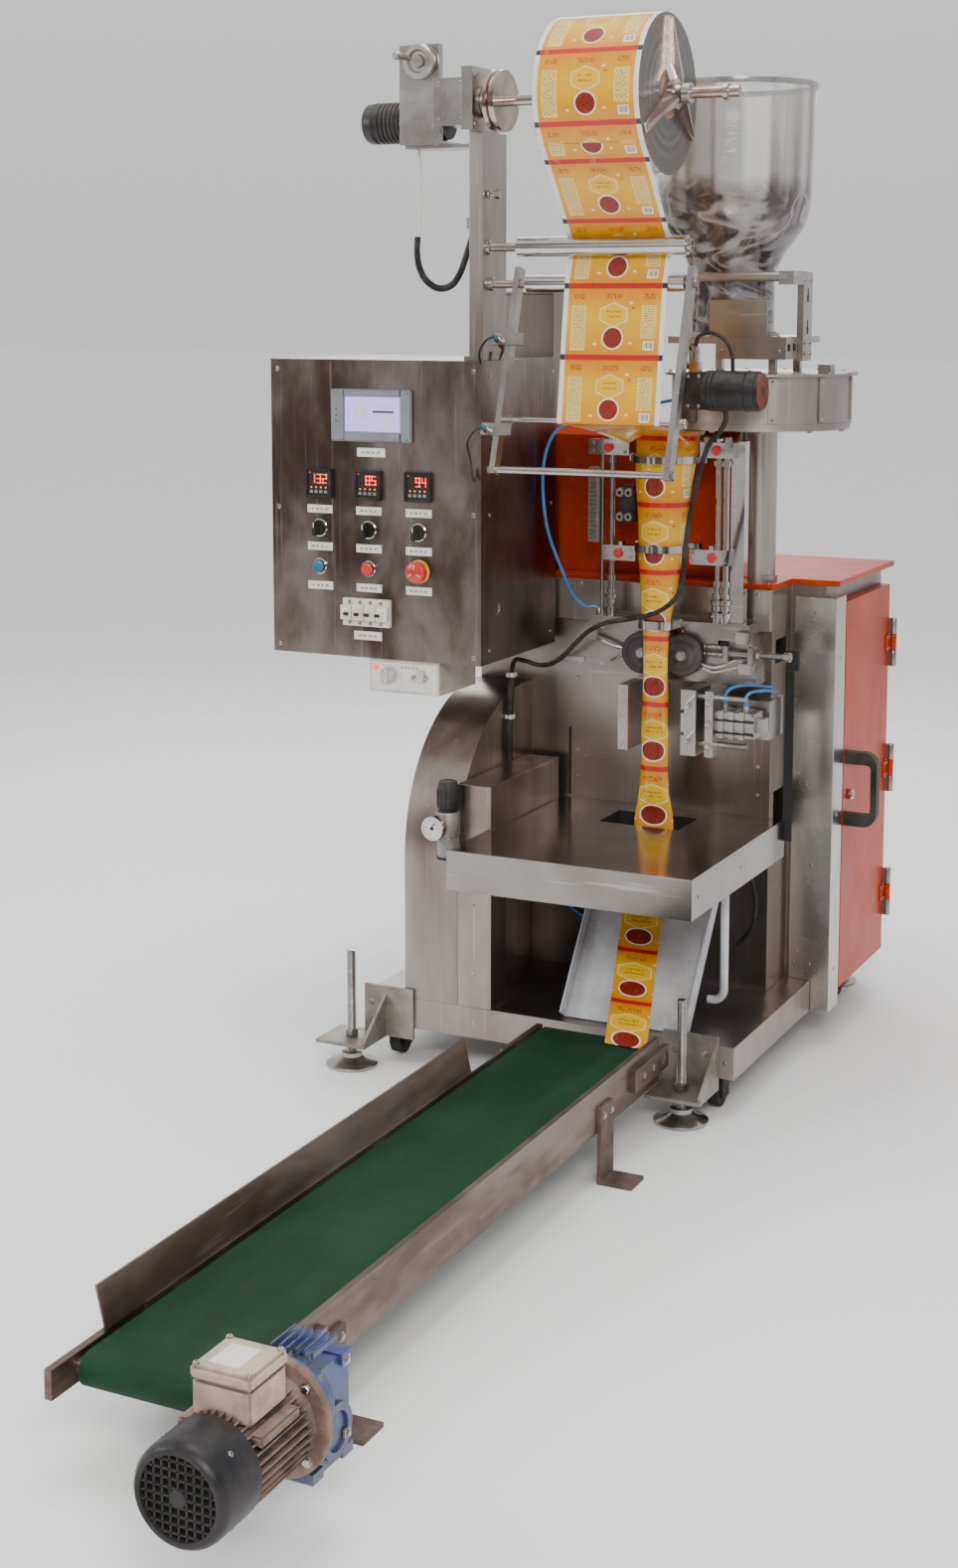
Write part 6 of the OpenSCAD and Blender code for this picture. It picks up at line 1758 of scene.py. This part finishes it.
class Dressing:
    """Small hardware of the forming, drawing, sealing and filling parts."""

    drum = (144, 300)
    feet_at = ((147, -44), (-464, -44), (147, 784), (-419, 784))

    def filler(self) -> None:
        """Adds the filler motor's connector, cable, end face and the drum's bolts."""
        made = Solid("black_metal", "chrome_rod", "black_rubber", "copper_face", "dark_trim_and_gap_shade")
        made.lathe([(0, 0), (29, 0), (29.4, 1), (29, 3.2), (21, 3.6), (0, 3.6)],
                   (211.5, 104, 1175), X, 3, 48)
        made.disc(7, 1.4, (214.5, 104, 1175), X, 0, 24)
        for x in (128, 136, 190):
            made.ring(32.6, 33.2, 2, (x, 104, 1175), X, 4, 48)
        made.box((98, 76, 1204), (116, 92, 1222), 2, 1)
        for k in range(4):
            made.disc(7 - k % 2, 6, (107, 84, 1222 + 6 * k), Z, 1, 16)
        made.tube([(107, 84, 1246), (112, 84, 1262), (132, 86, 1268), (152, 92, 1258),
                   (163, 98, 1236), (164, 102, 1206)], 3.2, 2, 12)
        made.tube([(92, 92, 1210), (84, 96, 1230), (76, 120, 1244), (70, 160, 1240),
                   (62, 200, 1222)], 2.4, 2, 10)
        made.emit("filler_wiring", "black_metal")
        x, y = self.drum
        ring = [Head((x + 156.5 * c, y + 156.5 * n, 1200), UP, 3.2) for c,
                n in around(14, -170, 24)]
        for c, n in (*around(2, -118, 54), *around(1, -30, 0)):
            ring += grid(x + 153.2 * c, y + 153.2 * n, (1126, 1188), (c, n, 0), 2.4)
        ring += grid((98, 116), 74, (1151, 1199), FRONT, 2.6)
        ring += grid(228, (272, 302), (1232, 1250, 1352), RIGHT, 3.2)
        ring += grid(228, (214, 232), 1356, RIGHT, 2.8)
        ring += grid((106, 206), 208, 1236, FRONT, 2.6)
        ring += grid((30, 160, 200), 220, 1260, UP, 2.8)
        SCREWS.place("filler_screws", ring)
        SCREWS.place("drum_bolts", [Head((x + 146 * c, y + 146 * n, 1107), (0, 0, -1), 4.5)
                                    for c, n in around(10, -170, 33)], hexagon=True)

    def columns(self) -> None:
        """Adds red caps, bushings, clamps and a ratchet rack to the guide columns."""
        made = Solid("red_plastic", "chrome_rod", "machined_aluminium", "black_metal", "dark_trim_and_gap_shade")
        for x, z in ((-106, 1069), (-87, 887), (90, 1069), (84, 887)):
            made.lathe([(0, 0), (8.5, 0), (8.5, -3), (7, -5), (0, -5)], (x, 236, z), Y, 0, 24)
        for x in (-105, 104, 89):
            for z, r in ((784, 12), (796, 9), (806, 11.5), (816, 8.5)):
                made.ring(5, r, 8, (x, 250, z), Z, 1, 28)
        for k in range(17):
            z = 905 + k * 7.4
            made.box((-154, 262, z), (-140, 274, z + 3.6), 0.5, 1)
        made.box((-158, 266, 900), (-136, 280, 1032), 1.5, 2)
        for z in (948, 990):
            for x in (-92, -76):
                made.lathe([(0, 0), (8, 0), (8, -10), (6.5, -12), (0, -12)], (x, 262, z), Y, 2, 24)
                # A thin near-black disc on each knob's end stands in for its socket: painted shade.
                made.lathe([(0, -12), (3.4, -12), (3.4, -12.6), (0, -12.6)], (x, 262, z), Y, 4, 16)
        made.box((-98, 262, 938), (-68, 284, 1002), 1.5, 3)
        for x in (70, 108):
            made.box((x, 226, 1074), (x + 9, 236, 1092), 1, 2)
        made.emit("column_fittings", "bright_steel")
        heads = grid((-136, -76), 236, (1062, 1076), FRONT, 2.6)
        heads += grid((-110, -64, 52, 106), 236, (880, 894), FRONT, 2.4)
        heads += grid(-160, 239, 692, FRONT, 3.2)
        heads += grid((-118, -70, -20, 30, 128), 239, (692, 756), FRONT, 3.2)
        heads += grid((-180, -60, 60, 150), 288, 822, FRONT, 3)
        heads += grid((-190, 150), 300, (470, 520, 650), FRONT, 3)
        SCREWS.place("column_screws", heads)

    def draw(self) -> None:
        """Makes the draw wheels' tyres and hubs, and the springs, wires and plates by them."""
        for x, body, node in ((-36.7, Body.LEFT_WHEEL, "draw_wheel_left"),
                              (36.7, Body.RIGHT_WHEEL, "draw_wheel_right")):
            made = Solid("wheel_rubber", "plate_steel")
            made.lathe([(6.1, 0), (13, 0), (14, 1.5), (16, 2.2), (24, 2.2), (24.6, 3.4),
                        (26.4, 3.4), (27, 2.2), (31, 2), (34, 1.5), (36, 3.5), (36, 12.5),
                        (34.5, 16), (6.1, 16), (6.1, 0)], (x, 217, 718), Y, 0, 72)
            made.lathe([(6.1, -2), (8, -2), (9, -1), (9, 2.4), (6.1, 2.4), (6.1, -2)],
                       (x, 217, 718), Y, 1, 32)
            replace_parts(made.emit(node + "_tyre", "rubber_wheel", body), node)
        made = Solid("bright_steel", "white_cord", "dark_trim_and_gap_shade", "machined_aluminium")
        for z in (700, 712):
            coil = []
            for k in range(97):
                a = FULL_TURN * k / 8
                coil.append((74 + 36 * k / 96, 234 + 4.2 * cos(a), z + 22 + 4.2 * sin(a)))
            made.tube(coil, 0.8, 0, 6, 1)
        made.tube([(70, 232, 704), (90, 226, 700), (112, 228, 706), (128, 236, 714),
                   (140, 240, 712)], 1.6, 1, 8)
        made.tube([(72, 234, 697), (92, 230, 692), (116, 232, 698), (138, 238, 704)], 1.6, 1, 8)
        made.box((100, 237.5, 730), (114, 241, 744), 0.3, 2)
        made.box((200, 290, 694), (222, 301, 728), 0.3, 2)
        made.ring(5.2, 9, 7, (166, 235, 726), X, 3, 6)
        made.ring(5.2, 8, 10, (216, 235, 726), X, 0, 20)
        made.box((-200, 236.5, 692), (-150, 239, 700), 0.4, 3)
        made.tube([(-130, 232, 742), (-112, 226, 735), (-92, 226, 727), (-76, 230, 722)], 3.4,
                  0, 10)
        made.box((-140, 224, 734), (-122, 239, 750), 1.5, 3)
        made.tube([(-96, 228, 700), (-82, 224, 706), (-74, 226, 714)], 2.2, 3, 8)
        made.box((-8, 226, 742), (8, 239, 752), 1, 3)
        made.box((132, 224, 744), (152, 239, 764), 1.5, 3)
        made.box((140, 218, 694), (164, 239, 712), 1.2, 0)
        made.emit("draw_fittings", "aluminium")

    def jaws(self) -> None:
        """Adds heater cartridges, fittings and blue tubes to the sealing jaws."""
        made = Solid("bright_steel", "blue_hose", "dark_trim_and_gap_shade")
        for z in (578, 615, 652):
            made.lathe([(0, 0), (6, 0), (6, -4), (4.6, -5), (0, -5)], (109, 160, z), Y, 0, 6)
        for x in (127, 163):
            made.lathe([(0, 0), (4.8, 0), (4.8, 7), (3.4, 8), (0, 8)], (x, 195, 645), Z, 1, 20)
        made.tube([(127, 195, 652), (127, 195, 662), (134, 200, 672), (150, 214, 676),
                   (168, 234, 674), (176, 262, 668), (176, 296, 662)], 2.6, 1, 10)
        made.tube([(163, 195, 652), (163, 195, 660), (170, 202, 668), (182, 226, 668),
                   (186, 270, 660), (184, 298, 654)], 2.6, 1, 10)
        made.box((117, 168.5, 600), (185, 170.5, 603), 0.3, 2)
        made.box((117, 168.5, 621), (185, 170.5, 624), 0.3, 2)
        made.emit("jaw_fittings", "aluminium")
        head = Solid("bright_steel", "white_cord")
        for z in (585, 645):
            head.lathe([(0, 0), (4.5, 0), (4.5, -6), (0, -7)], (73.5, 160, z), Y, 0, 20)
            head.tube([(73.5, 154, z), (75, 146, z + 5), (82, 144, z + 12), (86, 152, z + 18),
                       (86, 158, z + 19)], 1.4, 1, 8)
        head.emit("jaw_heaters", "bright_steel", Body.JAW)
        heads = grid(110, 160, (566, 664), FRONT, 2.6)
        heads += grid(-45, 160, (570, 615, 660), FRONT, 2.6)
        heads += grid((122, 180), 170, (598, 632), FRONT, 2.2)
        SCREWS.place("jaw_screws", heads)
        SCREWS.place("jaw_block_screws", grid(73.5, 160, (565, 600, 630, 665), FRONT, 2.4),
                     Body.JAW)

    def housing(self) -> None:
        """Adds cables, near-black strips of painted shade, the lock face and screws to the cabinet,
        door and frame.
        """
        made = Solid("dark_trim_and_gap_shade", "black_rubber", "blue_hose")
        # Near-black strips on the back wall stand in for shaded gaps: painted shade.
        made.box((197, 299, 395), (213, 300.6, 690), 0.3, 0)
        made.box((-206, 298.6, 437), (-202, 300.5, 560), 0.3, 0)
        made.tube([(-220, 240, 356), (-190, 200, 300), (-160, 230, 250), (-120, 270, 220),
                   (-60, 290, 200)], 4, 1, 10)
        made.tube([(-216, 220, 360), (-180, 190, 290), (-150, 240, 230), (-90, 285, 196)], 3, 2, 10)
        made.tube([(150, 250, 360), (162, 262, 300), (150, 285, 240), (120, 296, 200)], 4, 1, 10)
        # A near-black lining round the opening that the tube drops through: painted shade inside
        # the hole.
        for low, high in (((-81.4, 144.6, 366), (65.4, 145.4, 431)),
                          ((-81.4, 236.6, 366), (65.4, 237.4, 431)),
                          ((-81.4, 145, 366), (-80.6, 237, 431)),
                          ((64.6, 145, 366), (65.4, 237, 431))):
            made.box(low, high, 0.1, 0)
        made.emit("bay_cables", "rubber_wheel")
        door = Solid("chrome_rod", "dark_trim_and_gap_shade")
        door.lathe([(0, 0), (8.4, 0), (9.6, 1), (9.6, 3), (8, 4.6), (0, 4.6)], (258.4, 495, 443),
                   X, 0, 32)
        # A near-black slot stands in for the keyhole: painted shade.
        door.box((262.6, 493.4, 438), (263.4, 496.6, 448), 0.0, 1)
        door.emit("door_lock", "bright_steel", Body.DOOR)
        SCREWS.place("door_screws", grid(258, (717, 729), (194, 216, 434, 456, 674, 696),
                                         RIGHT, 2.6), Body.DOOR)
        heads = grid(255, 425, (140, 420, 700), RIGHT, 2.6)
        heads += grid(218, 398, (150, 330, 560, 780), FRONT, 2.8)
        heads += grid((-440, -250, 0, 205), 0, 92, FRONT, 3)
        heads += grid(-250, -2, (180, 300), FRONT, 2.6)
        heads += grid(200, (-120, 80, 270), 400, RIGHT, 2.6)
        heads += grid((-300, 120, 160), 310, 838, UP, 3)
        SCREWS.place("housing_screws", heads)
        bolts = grid((-446, 120, 172), -4, 104, FRONT, 5.5)
        SCREWS.place("frame_bolts", bolts, hexagon=True)

    def regulator(self) -> None:
        """Makes the filter regulator with bowl, gauge and knob."""
        made = Solid("cast_bracket", "sight_bowl", "black_plastic", "label_white",
                     "chrome_rod", "dark_trim_and_gap_shade")
        x, y = -286, -24
        made.lathe([(0, 372), (5, 372), (6, 377), (14, 380), (18.5, 388), (19, 420), (17, 424),
                    (0, 424)], (x, y, 0), Z, 1, 40)
        made.lathe([(17.5, 384), (19.4, 384), (19.4, 388), (17.5, 388), (17.5, 384)], (x, y, 0),
                   Z, 2, 40)
        made.lathe([(0, 423), (20, 423), (20.5, 426), (20.5, 462), (19, 465), (0, 465)],
                   (x, y, 0), Z, 0, 40)
        made.box((x - 26, y - 22, 427), (x + 5, y + 40, 455), 3, 0)
        made.lathe([(0, 464), (16, 464), (16, 470), (18.4, 472), (17.6, 508), (15, 517),
                    (12, 518), (0, 518)], (x, y, 0), Z, 2, 28)
        for k in range(14):
            a = FULL_TURN * k / 14
            made.box((x + 18 * cos(a) - 1, y + 18 * sin(a) - 1, 474),
                     (x + 18 * cos(a) + 1, y + 18 * sin(a) + 1, 504), 0.6, 2)
        gx, gy, gz = x - 13, y - 20, 440
        made.lathe([(0, 0), (21, 0), (21, -12), (20, -14), (17.4, -14), (17.4, -12.4),
                    (0, -12.4)], (gx, gy, gz), Y, 4, 48)
        made.disc(17.2, -0.4, (gx, gy - 12.6, gz), Y, 3, 48)
        made.dial(around(11, -45, 27), (gx, gy - 12.9, gz), 14, 0.6, 5)
        made.box((gx - 0.8, gy - 13.8, gz - 3), (gx + 0.8, gy - 13.0, gz + 12), 0.0, 5,
                 Matrix.Rotation(0.7, 4, "Y"))
        made.disc(2.4, -1.4, (gx, gy - 12.8, gz), Y, 5, 16)
        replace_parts(made.emit("air_regulator", "regulator"), "filter_regulator")

    def feet(self) -> None:
        """Makes the levelling feet with threads and nuts."""
        made = Solid("bright_steel", "chrome_rod")
        top = box_mm("levelling_feet")[1].z - 1
        for x, y in self.feet_at:
            made.lathe([(0, 0), (44.5, 0), (45, 1), (45, 4.5), (43, 6), (26, 12), (20, 15.5),
                        (18, 17), (18, 24), (16, 25), (0, 25)], (x, y, 0), Z, 0, 64)
            profile: list[Pair] = [(0, 22)]
            steps = int((top - 24) / 1.6)
            for k in range(steps):
                z = 24 + 1.6 * k
                profile += [(6.9, z), (7.9, z + 0.8)]
            profile += [(6.5, top), (0, top + 1)]
            made.lathe(profile, (x, y, 0), Z, 1, 20)
        feet = made.emit("foot_studs", "bright_steel")
        nuts = Solid("bright_steel")
        plate = box_mm("foot_brackets")[0].z
        for x, y in self.feet_at:
            for z in (plate - 11, plate + 8):
                nuts.lathe([(8, 0), (11, 0), (12, 1.2), (12, 9.8), (11, 11), (8, 11), (8, 0)],
                           (x, y, z), Z, 0, 6)
        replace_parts(feet, "levelling_feet")
        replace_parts(nuts.emit("foot_nuts", "bright_steel"), "levelling_feet")

    def build(self) -> None:
        """Makes all the small hardware."""
        self.filler()
        self.columns()
        self.draw()
        self.jaws()
        self.housing()
        self.regulator()
        self.feet()


class ConveyorDrive:
    """The gearmotor at the conveyor's end, in its separate stuffs."""

    z = 162.0

    def motor(self) -> None:
        """Makes the motor: flange, ribbed frame, black cowl with its grille, and terminal box."""
        low, high = box_mm("conveyor_motor")
        cx = 213.0
        y0 = low.y - ORIGIN.y
        y1 = high.y - ORIGIN.y
        cz = self.z
        made = Solid("motor_casting", "cowl_black", "dark_trim_and_gap_shade", "terminal_box",
                     "label_white", "black_rubber")
        made.lathe([(0, y1), (66, y1), (68, y1 - 2), (68, y1 - 9), (66, y1 - 10.5), (52, y1 - 11),
                    (48, y1 - 16), (46, y1 - 24), (46, y0 + 64), (0, y0 + 64)], (cx, 0, cz), Y,
                   0, 72)
        for k in range(36):
            a = FULL_TURN * (k + 0.5) / 36
            r = 49.5
            made.box((cx + r * sin(a) - 1.1, y0 + 62, cz + r * cos(a) - 5),
                     (cx + r * sin(a) + 1.1, y1 - 20, cz + r * cos(a) + 5), 0.5, 0,
                     Matrix.Rotation(a, 4, "Y"))
        # cowl with a rolled edge, sunk grille and centre boss
        made.lathe([(54, y0 + 68), (56, y0 + 67), (56, y0 + 13), (55, y0 + 7), (53, y0 + 3),
                    (50, y0 + 0.4), (46, y0), (44.4, y0 + 0.6), (44, y0 + 4), (44, y0 + 8),
                    (12, y0 + 8), (0, y0 + 8)], (cx, 0, cz), Y, 1, 72)
        # A near-black disc behind the grille stands in for the shaded inside of the cowl: painted
        # shade.
        made.disc(43.8, 0.5, (cx, y0 + 6.4, cz), Y, 2, 48)
        for k in range(-4, 5):
            half = sqrt(max(0.0, 44.5 ** 2 - (k * 9.4) ** 2))
            made.box((cx + k * 9.4 - 1.3, y0 + 1.6, cz - half),
                     (cx + k * 9.4 + 1.3, y0 + 4.4, cz + half), 0.5, 1)
            made.box((cx - half, y0 + 1.6, cz + k * 9.4 - 1.3),
                     (cx + half, y0 + 4.4, cz + k * 9.4 + 1.3), 0.5, 1)
        made.lathe([(0, y0 + 6), (9.5, y0 + 6), (9.5, y0 + 1), (8.5, y0 + 0.2), (0, y0 + 0.2)],
                   (cx, 0, cz), Y, 1, 32)
        # terminal box
        top = high.z
        made.box((cx - 35, y0 + 80, cz + 42), (cx + 35, y0 + 150, top - 15), 3.0, 3)
        made.box((cx - 37, y0 + 78, top - 16), (cx + 37, y0 + 152, top), 4.0, 3)
        made.box((cx - 22, y0 + 92, top - 0.5), (cx + 14, y0 + 136, top + 0.5), 0.3, 4)
        made.lathe([(0, 0), (9, 0), (9, -8), (7, -10), (0, -10)], (cx - 35, y0 + 112, cz + 62),
                   X, 5, 6)
        for side in (-1, 1):
            made.box((cx + side * 42 - 9, y0 + 76, cz + 26),
                     (cx + side * 42 + 9, y0 + 150, cz + 38), 2.5, 0)
        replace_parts(made.emit("gearmotor", "motor_paint"), "conveyor_motor")
        heads = grid((cx - 31, cx + 31), (y0 + 84, y0 + 146), top, UP, 3.4)
        heads += [Head((cx + 55 * c, y0 + 36, cz + 55 * n), (c, 0, n), 3) for c,
                  n in around(4, 45, 90)]
        SCREWS.place("motor_screws", heads)
        bolts = [Head((cx + 57 * c, y1 - 10.5, cz + 57 * n), FRONT, 5) for c,
                 n in around(4, 45, 90)]
        SCREWS.place("flange_bolts", bolts, hexagon=True)

    def gearbox(self) -> None:
        """Adds the gearbox's cover, plugs, worn pads and yellow cap."""
        low, high = box_mm("worm_gearbox")
        made = Solid("blue_enamel", "machined_aluminium", "yellow_cap")
        x1 = 249.0
        y, z = (low.y + high.y) / 2 - ORIGIN.y, 150.0
        made.lathe([(0, 0), (8, 0), (9.5, 2), (9.5, 9), (7, 13), (0, 14)],
                   (x1 - 1, low.y - ORIGIN.y + 22, z - 22), X, 2, 20)
        for a in (-1, 1):
            for b in (-1, 1):
                made.box((x1 - 2, y + 33 * a - 8, z + 42 * b - 7),
                         (x1 + 1.0, y + 33 * a + 8, z + 42 * b + 7), 1.5, 1)
        for k in range(6):
            made.box((x1 - 60 + 10 * k, y - 26, high.z - 8),
                     (x1 - 57 + 10 * k, y + 26, high.z - 0.5), 0.8, 0)
        made.emit("gearbox_cover", "blue_paint")
        bolts = grid(x1 + 1.0, (y - 33, y + 33), (z - 42, z + 42), RIGHT, 3.4)
        SCREWS.place("gearbox_screws", bolts, hexagon=True)

    def belt(self) -> None:
        """Adds the conveyor's bolts."""
        bolts = []
        for y in (-1138, -317):
            bolts += grid(132, (y - 14, y + 14), 106, RIGHT, 5)
            bolts += grid(-92, (y - 14, y + 14), 106, (-1, 0, 0), 5)
        bolts += grid(136, (-1260, -1200, -180, -140), 120, RIGHT, 4.5)
        SCREWS.place("conveyor_bolts", bolts, hexagon=True)

    def build(self) -> None:
        """Makes the drive and the conveyor's small parts."""
        self.motor()
        self.gearbox()
        self.belt()


class Cables:
    """The signal cable, hoses and wires along the CAD routes, smooth and round."""

    def build(self) -> None:
        """Makes every cable."""
        cable = [(152, 104, 1142), (152, 104, 1126), (142, 101, 1106), (122, 100, 1080),
                 (96, 108, 992), (78, 122, 906), (69, 135, 853), (49, 142, 821), (13, 148, 798),
                 (-32, 152, 786), (-79, 160, 775), (-114, 170, 757), (-145, 182, 731),
                 (-172, 192, 706), (-198, 202, 690), (-226, 212, 684), (-252, 216, 688),
                 (-271.3, 213, 690), (-276.3, 208, 676), (-276.3, 203, 640), (-276.3, 196, 580),
                 (-276.3, 196, 508.3)]
        made = Solid("black_rubber", "white_cord", "label_white")
        made.tube(cable, 4.2, 0, 12, 5)
        made.tube([(-360, 20, 1565), (-357, 20, 1530), (-357, 20, 1480), (-361, 20, 1420)], 1.8,
                  1, 10)
        made.tube([(-259, 27.5, 1435.7), (-259, 28, 1424), (-266, 32, 1404), (-270, 38, 1380),
                   (-272, 50, 1347), (-272, 68, 1304), (-265, 80, 1270), (-257, 88, 1240),
                   (-254, 90, 1221)], 3.8, 0, 12)
        made.tube([(-276.3, 206, 668), (-276.3, 203, 640), (-276.3, 196, 580),
                   (-276.3, 196, 512)], 6.4, 0, 14)
        for z, y in ((664, 205.5), (590, 197.5)):
            made.box((-284, y - 8, z - 4), (-268.5, y + 8, z + 4), 1.5, 2)
            made.box((-279, y - 14, z - 1.2), (-275, y - 6, z + 1.2), 0.4, 2)
        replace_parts(made.emit("signal_wiring", "rubber_wheel", sharp=60), "signal_cable")
        Hose().build("corrugated_sleeve", [(-363, 20, 1424), (-364, 20, 1398), (-360, 20, 1374),
                                           (-347, 20, 1352), (-324, 20, 1339), (-300, 20, 1344),
                                           (-284, 19, 1363), (-273, 18, 1388), (-265, 17, 1409),
                                           (-260, 16.5, 1424), (-260, 16.5, 1435.5)],
                     6.0, "black_rubber", "rubber_wheel")
        air = Solid("blue_hose", "machined_aluminium")
        air.tube([(-5.6, 285, 1150), (-28, 284, 1146), (-70, 276, 1133), (-130, 256, 1117),
                  (-180, 236, 1107), (-204, 222, 1090), (-217, 213, 1050), (-217, 205, 994),
                  (-208, 205, 926), (-191, 215, 869), (-171, 230, 812), (-153, 246, 789),
                  (-139, 254, 788), (-130.5, 257, 783), (-130.5, 257, 775.3)], 3.0, 0, 12, 6)
        air.lathe([(3.2, 0), (6, 0), (6, 9), (5, 11), (3.2, 11), (3.2, 0)], (-130.5, 257, 775.2),
                  Z, 1, 20)
        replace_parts(air.emit("air_hose", "blue_hose", sharp=60), "air_tube")


SOFT_EDGES: tuple[str, ...] = ("base_frame", "main_cabinet", "corner_column",
                               "shelf_beam", "cabinet_roof", "side_door",
                               "discharge_tray", "tray_guard", "control_box",
                               "control_panel", "film_post", "conveyor_frame",
                               "upper_housing", "rear_cover", "foot_brackets",
                               "unwind_unit", "feeder_controller", "circuit_breaker",)


def dress_nodes() -> None:
    """Gives every CAD node its finish."""
    for name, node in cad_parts.items():
        node.data.materials.clear()
        node.data.materials.append(PALETTE.get(CAD_FINISH[name]))


def soften(nodes: Sequence[str], width: float = 0.0012) -> None:
    """Rounds the sharp edges of sheet-metal nodes for the light to catch."""
    for name in nodes:
        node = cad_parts[name]
        weld = node.modifiers.new("weld", "WELD")
        weld.merge_threshold = 0.00001
        flat = node.modifiers.new("flat", "DECIMATE")
        flat.decimate_type = "DISSOLVE"
        flat.angle_limit = radians(1)
        edge = node.modifiers.new("edge", "BEVEL")
        edge.width = width
        edge.segments = 2
        edge.limit_method = "ANGLE"
        edge.angle_limit = radians(35)
        edge.harden_normals = True
        edge.use_clamp_overlap = True


def main() -> None:
    """Builds the stage, then every sub-assembly in order."""
    logging.basicConfig(level=logging.INFO, format="%(message)s")
    Studio().build()
    SharedGroups().build()
    FilmPrint().artwork()
    PALETTE.add("printed_film", FilmPrint().web)
    PALETTE.add("wound_edge", FilmPrint().layers)
    PALETTE.add("clear_acrylic", ClearPlastic().build)
    PALETTE.add("screen_glow", Lit.build("screen_glow", (0.42, 0.36, 0.75), 1.1))
    PALETTE.add("red_digit", Lit.build("red_digit", (1.0, 0.008, 0.004), 2.2))
    PALETTE.add("amber_dot", Lit.build("amber_dot", (1.0, 0.25, 0.01), 1.4))
    dress_nodes()
    soften(SOFT_EDGES)
    Film().build()
    ControlPanel().build()
    Hopper().build()
    Unwind().build()
    Dressing().build()
    ConveyorDrive().build()
    Cables().build()


if __name__ == "__main__":
    main()
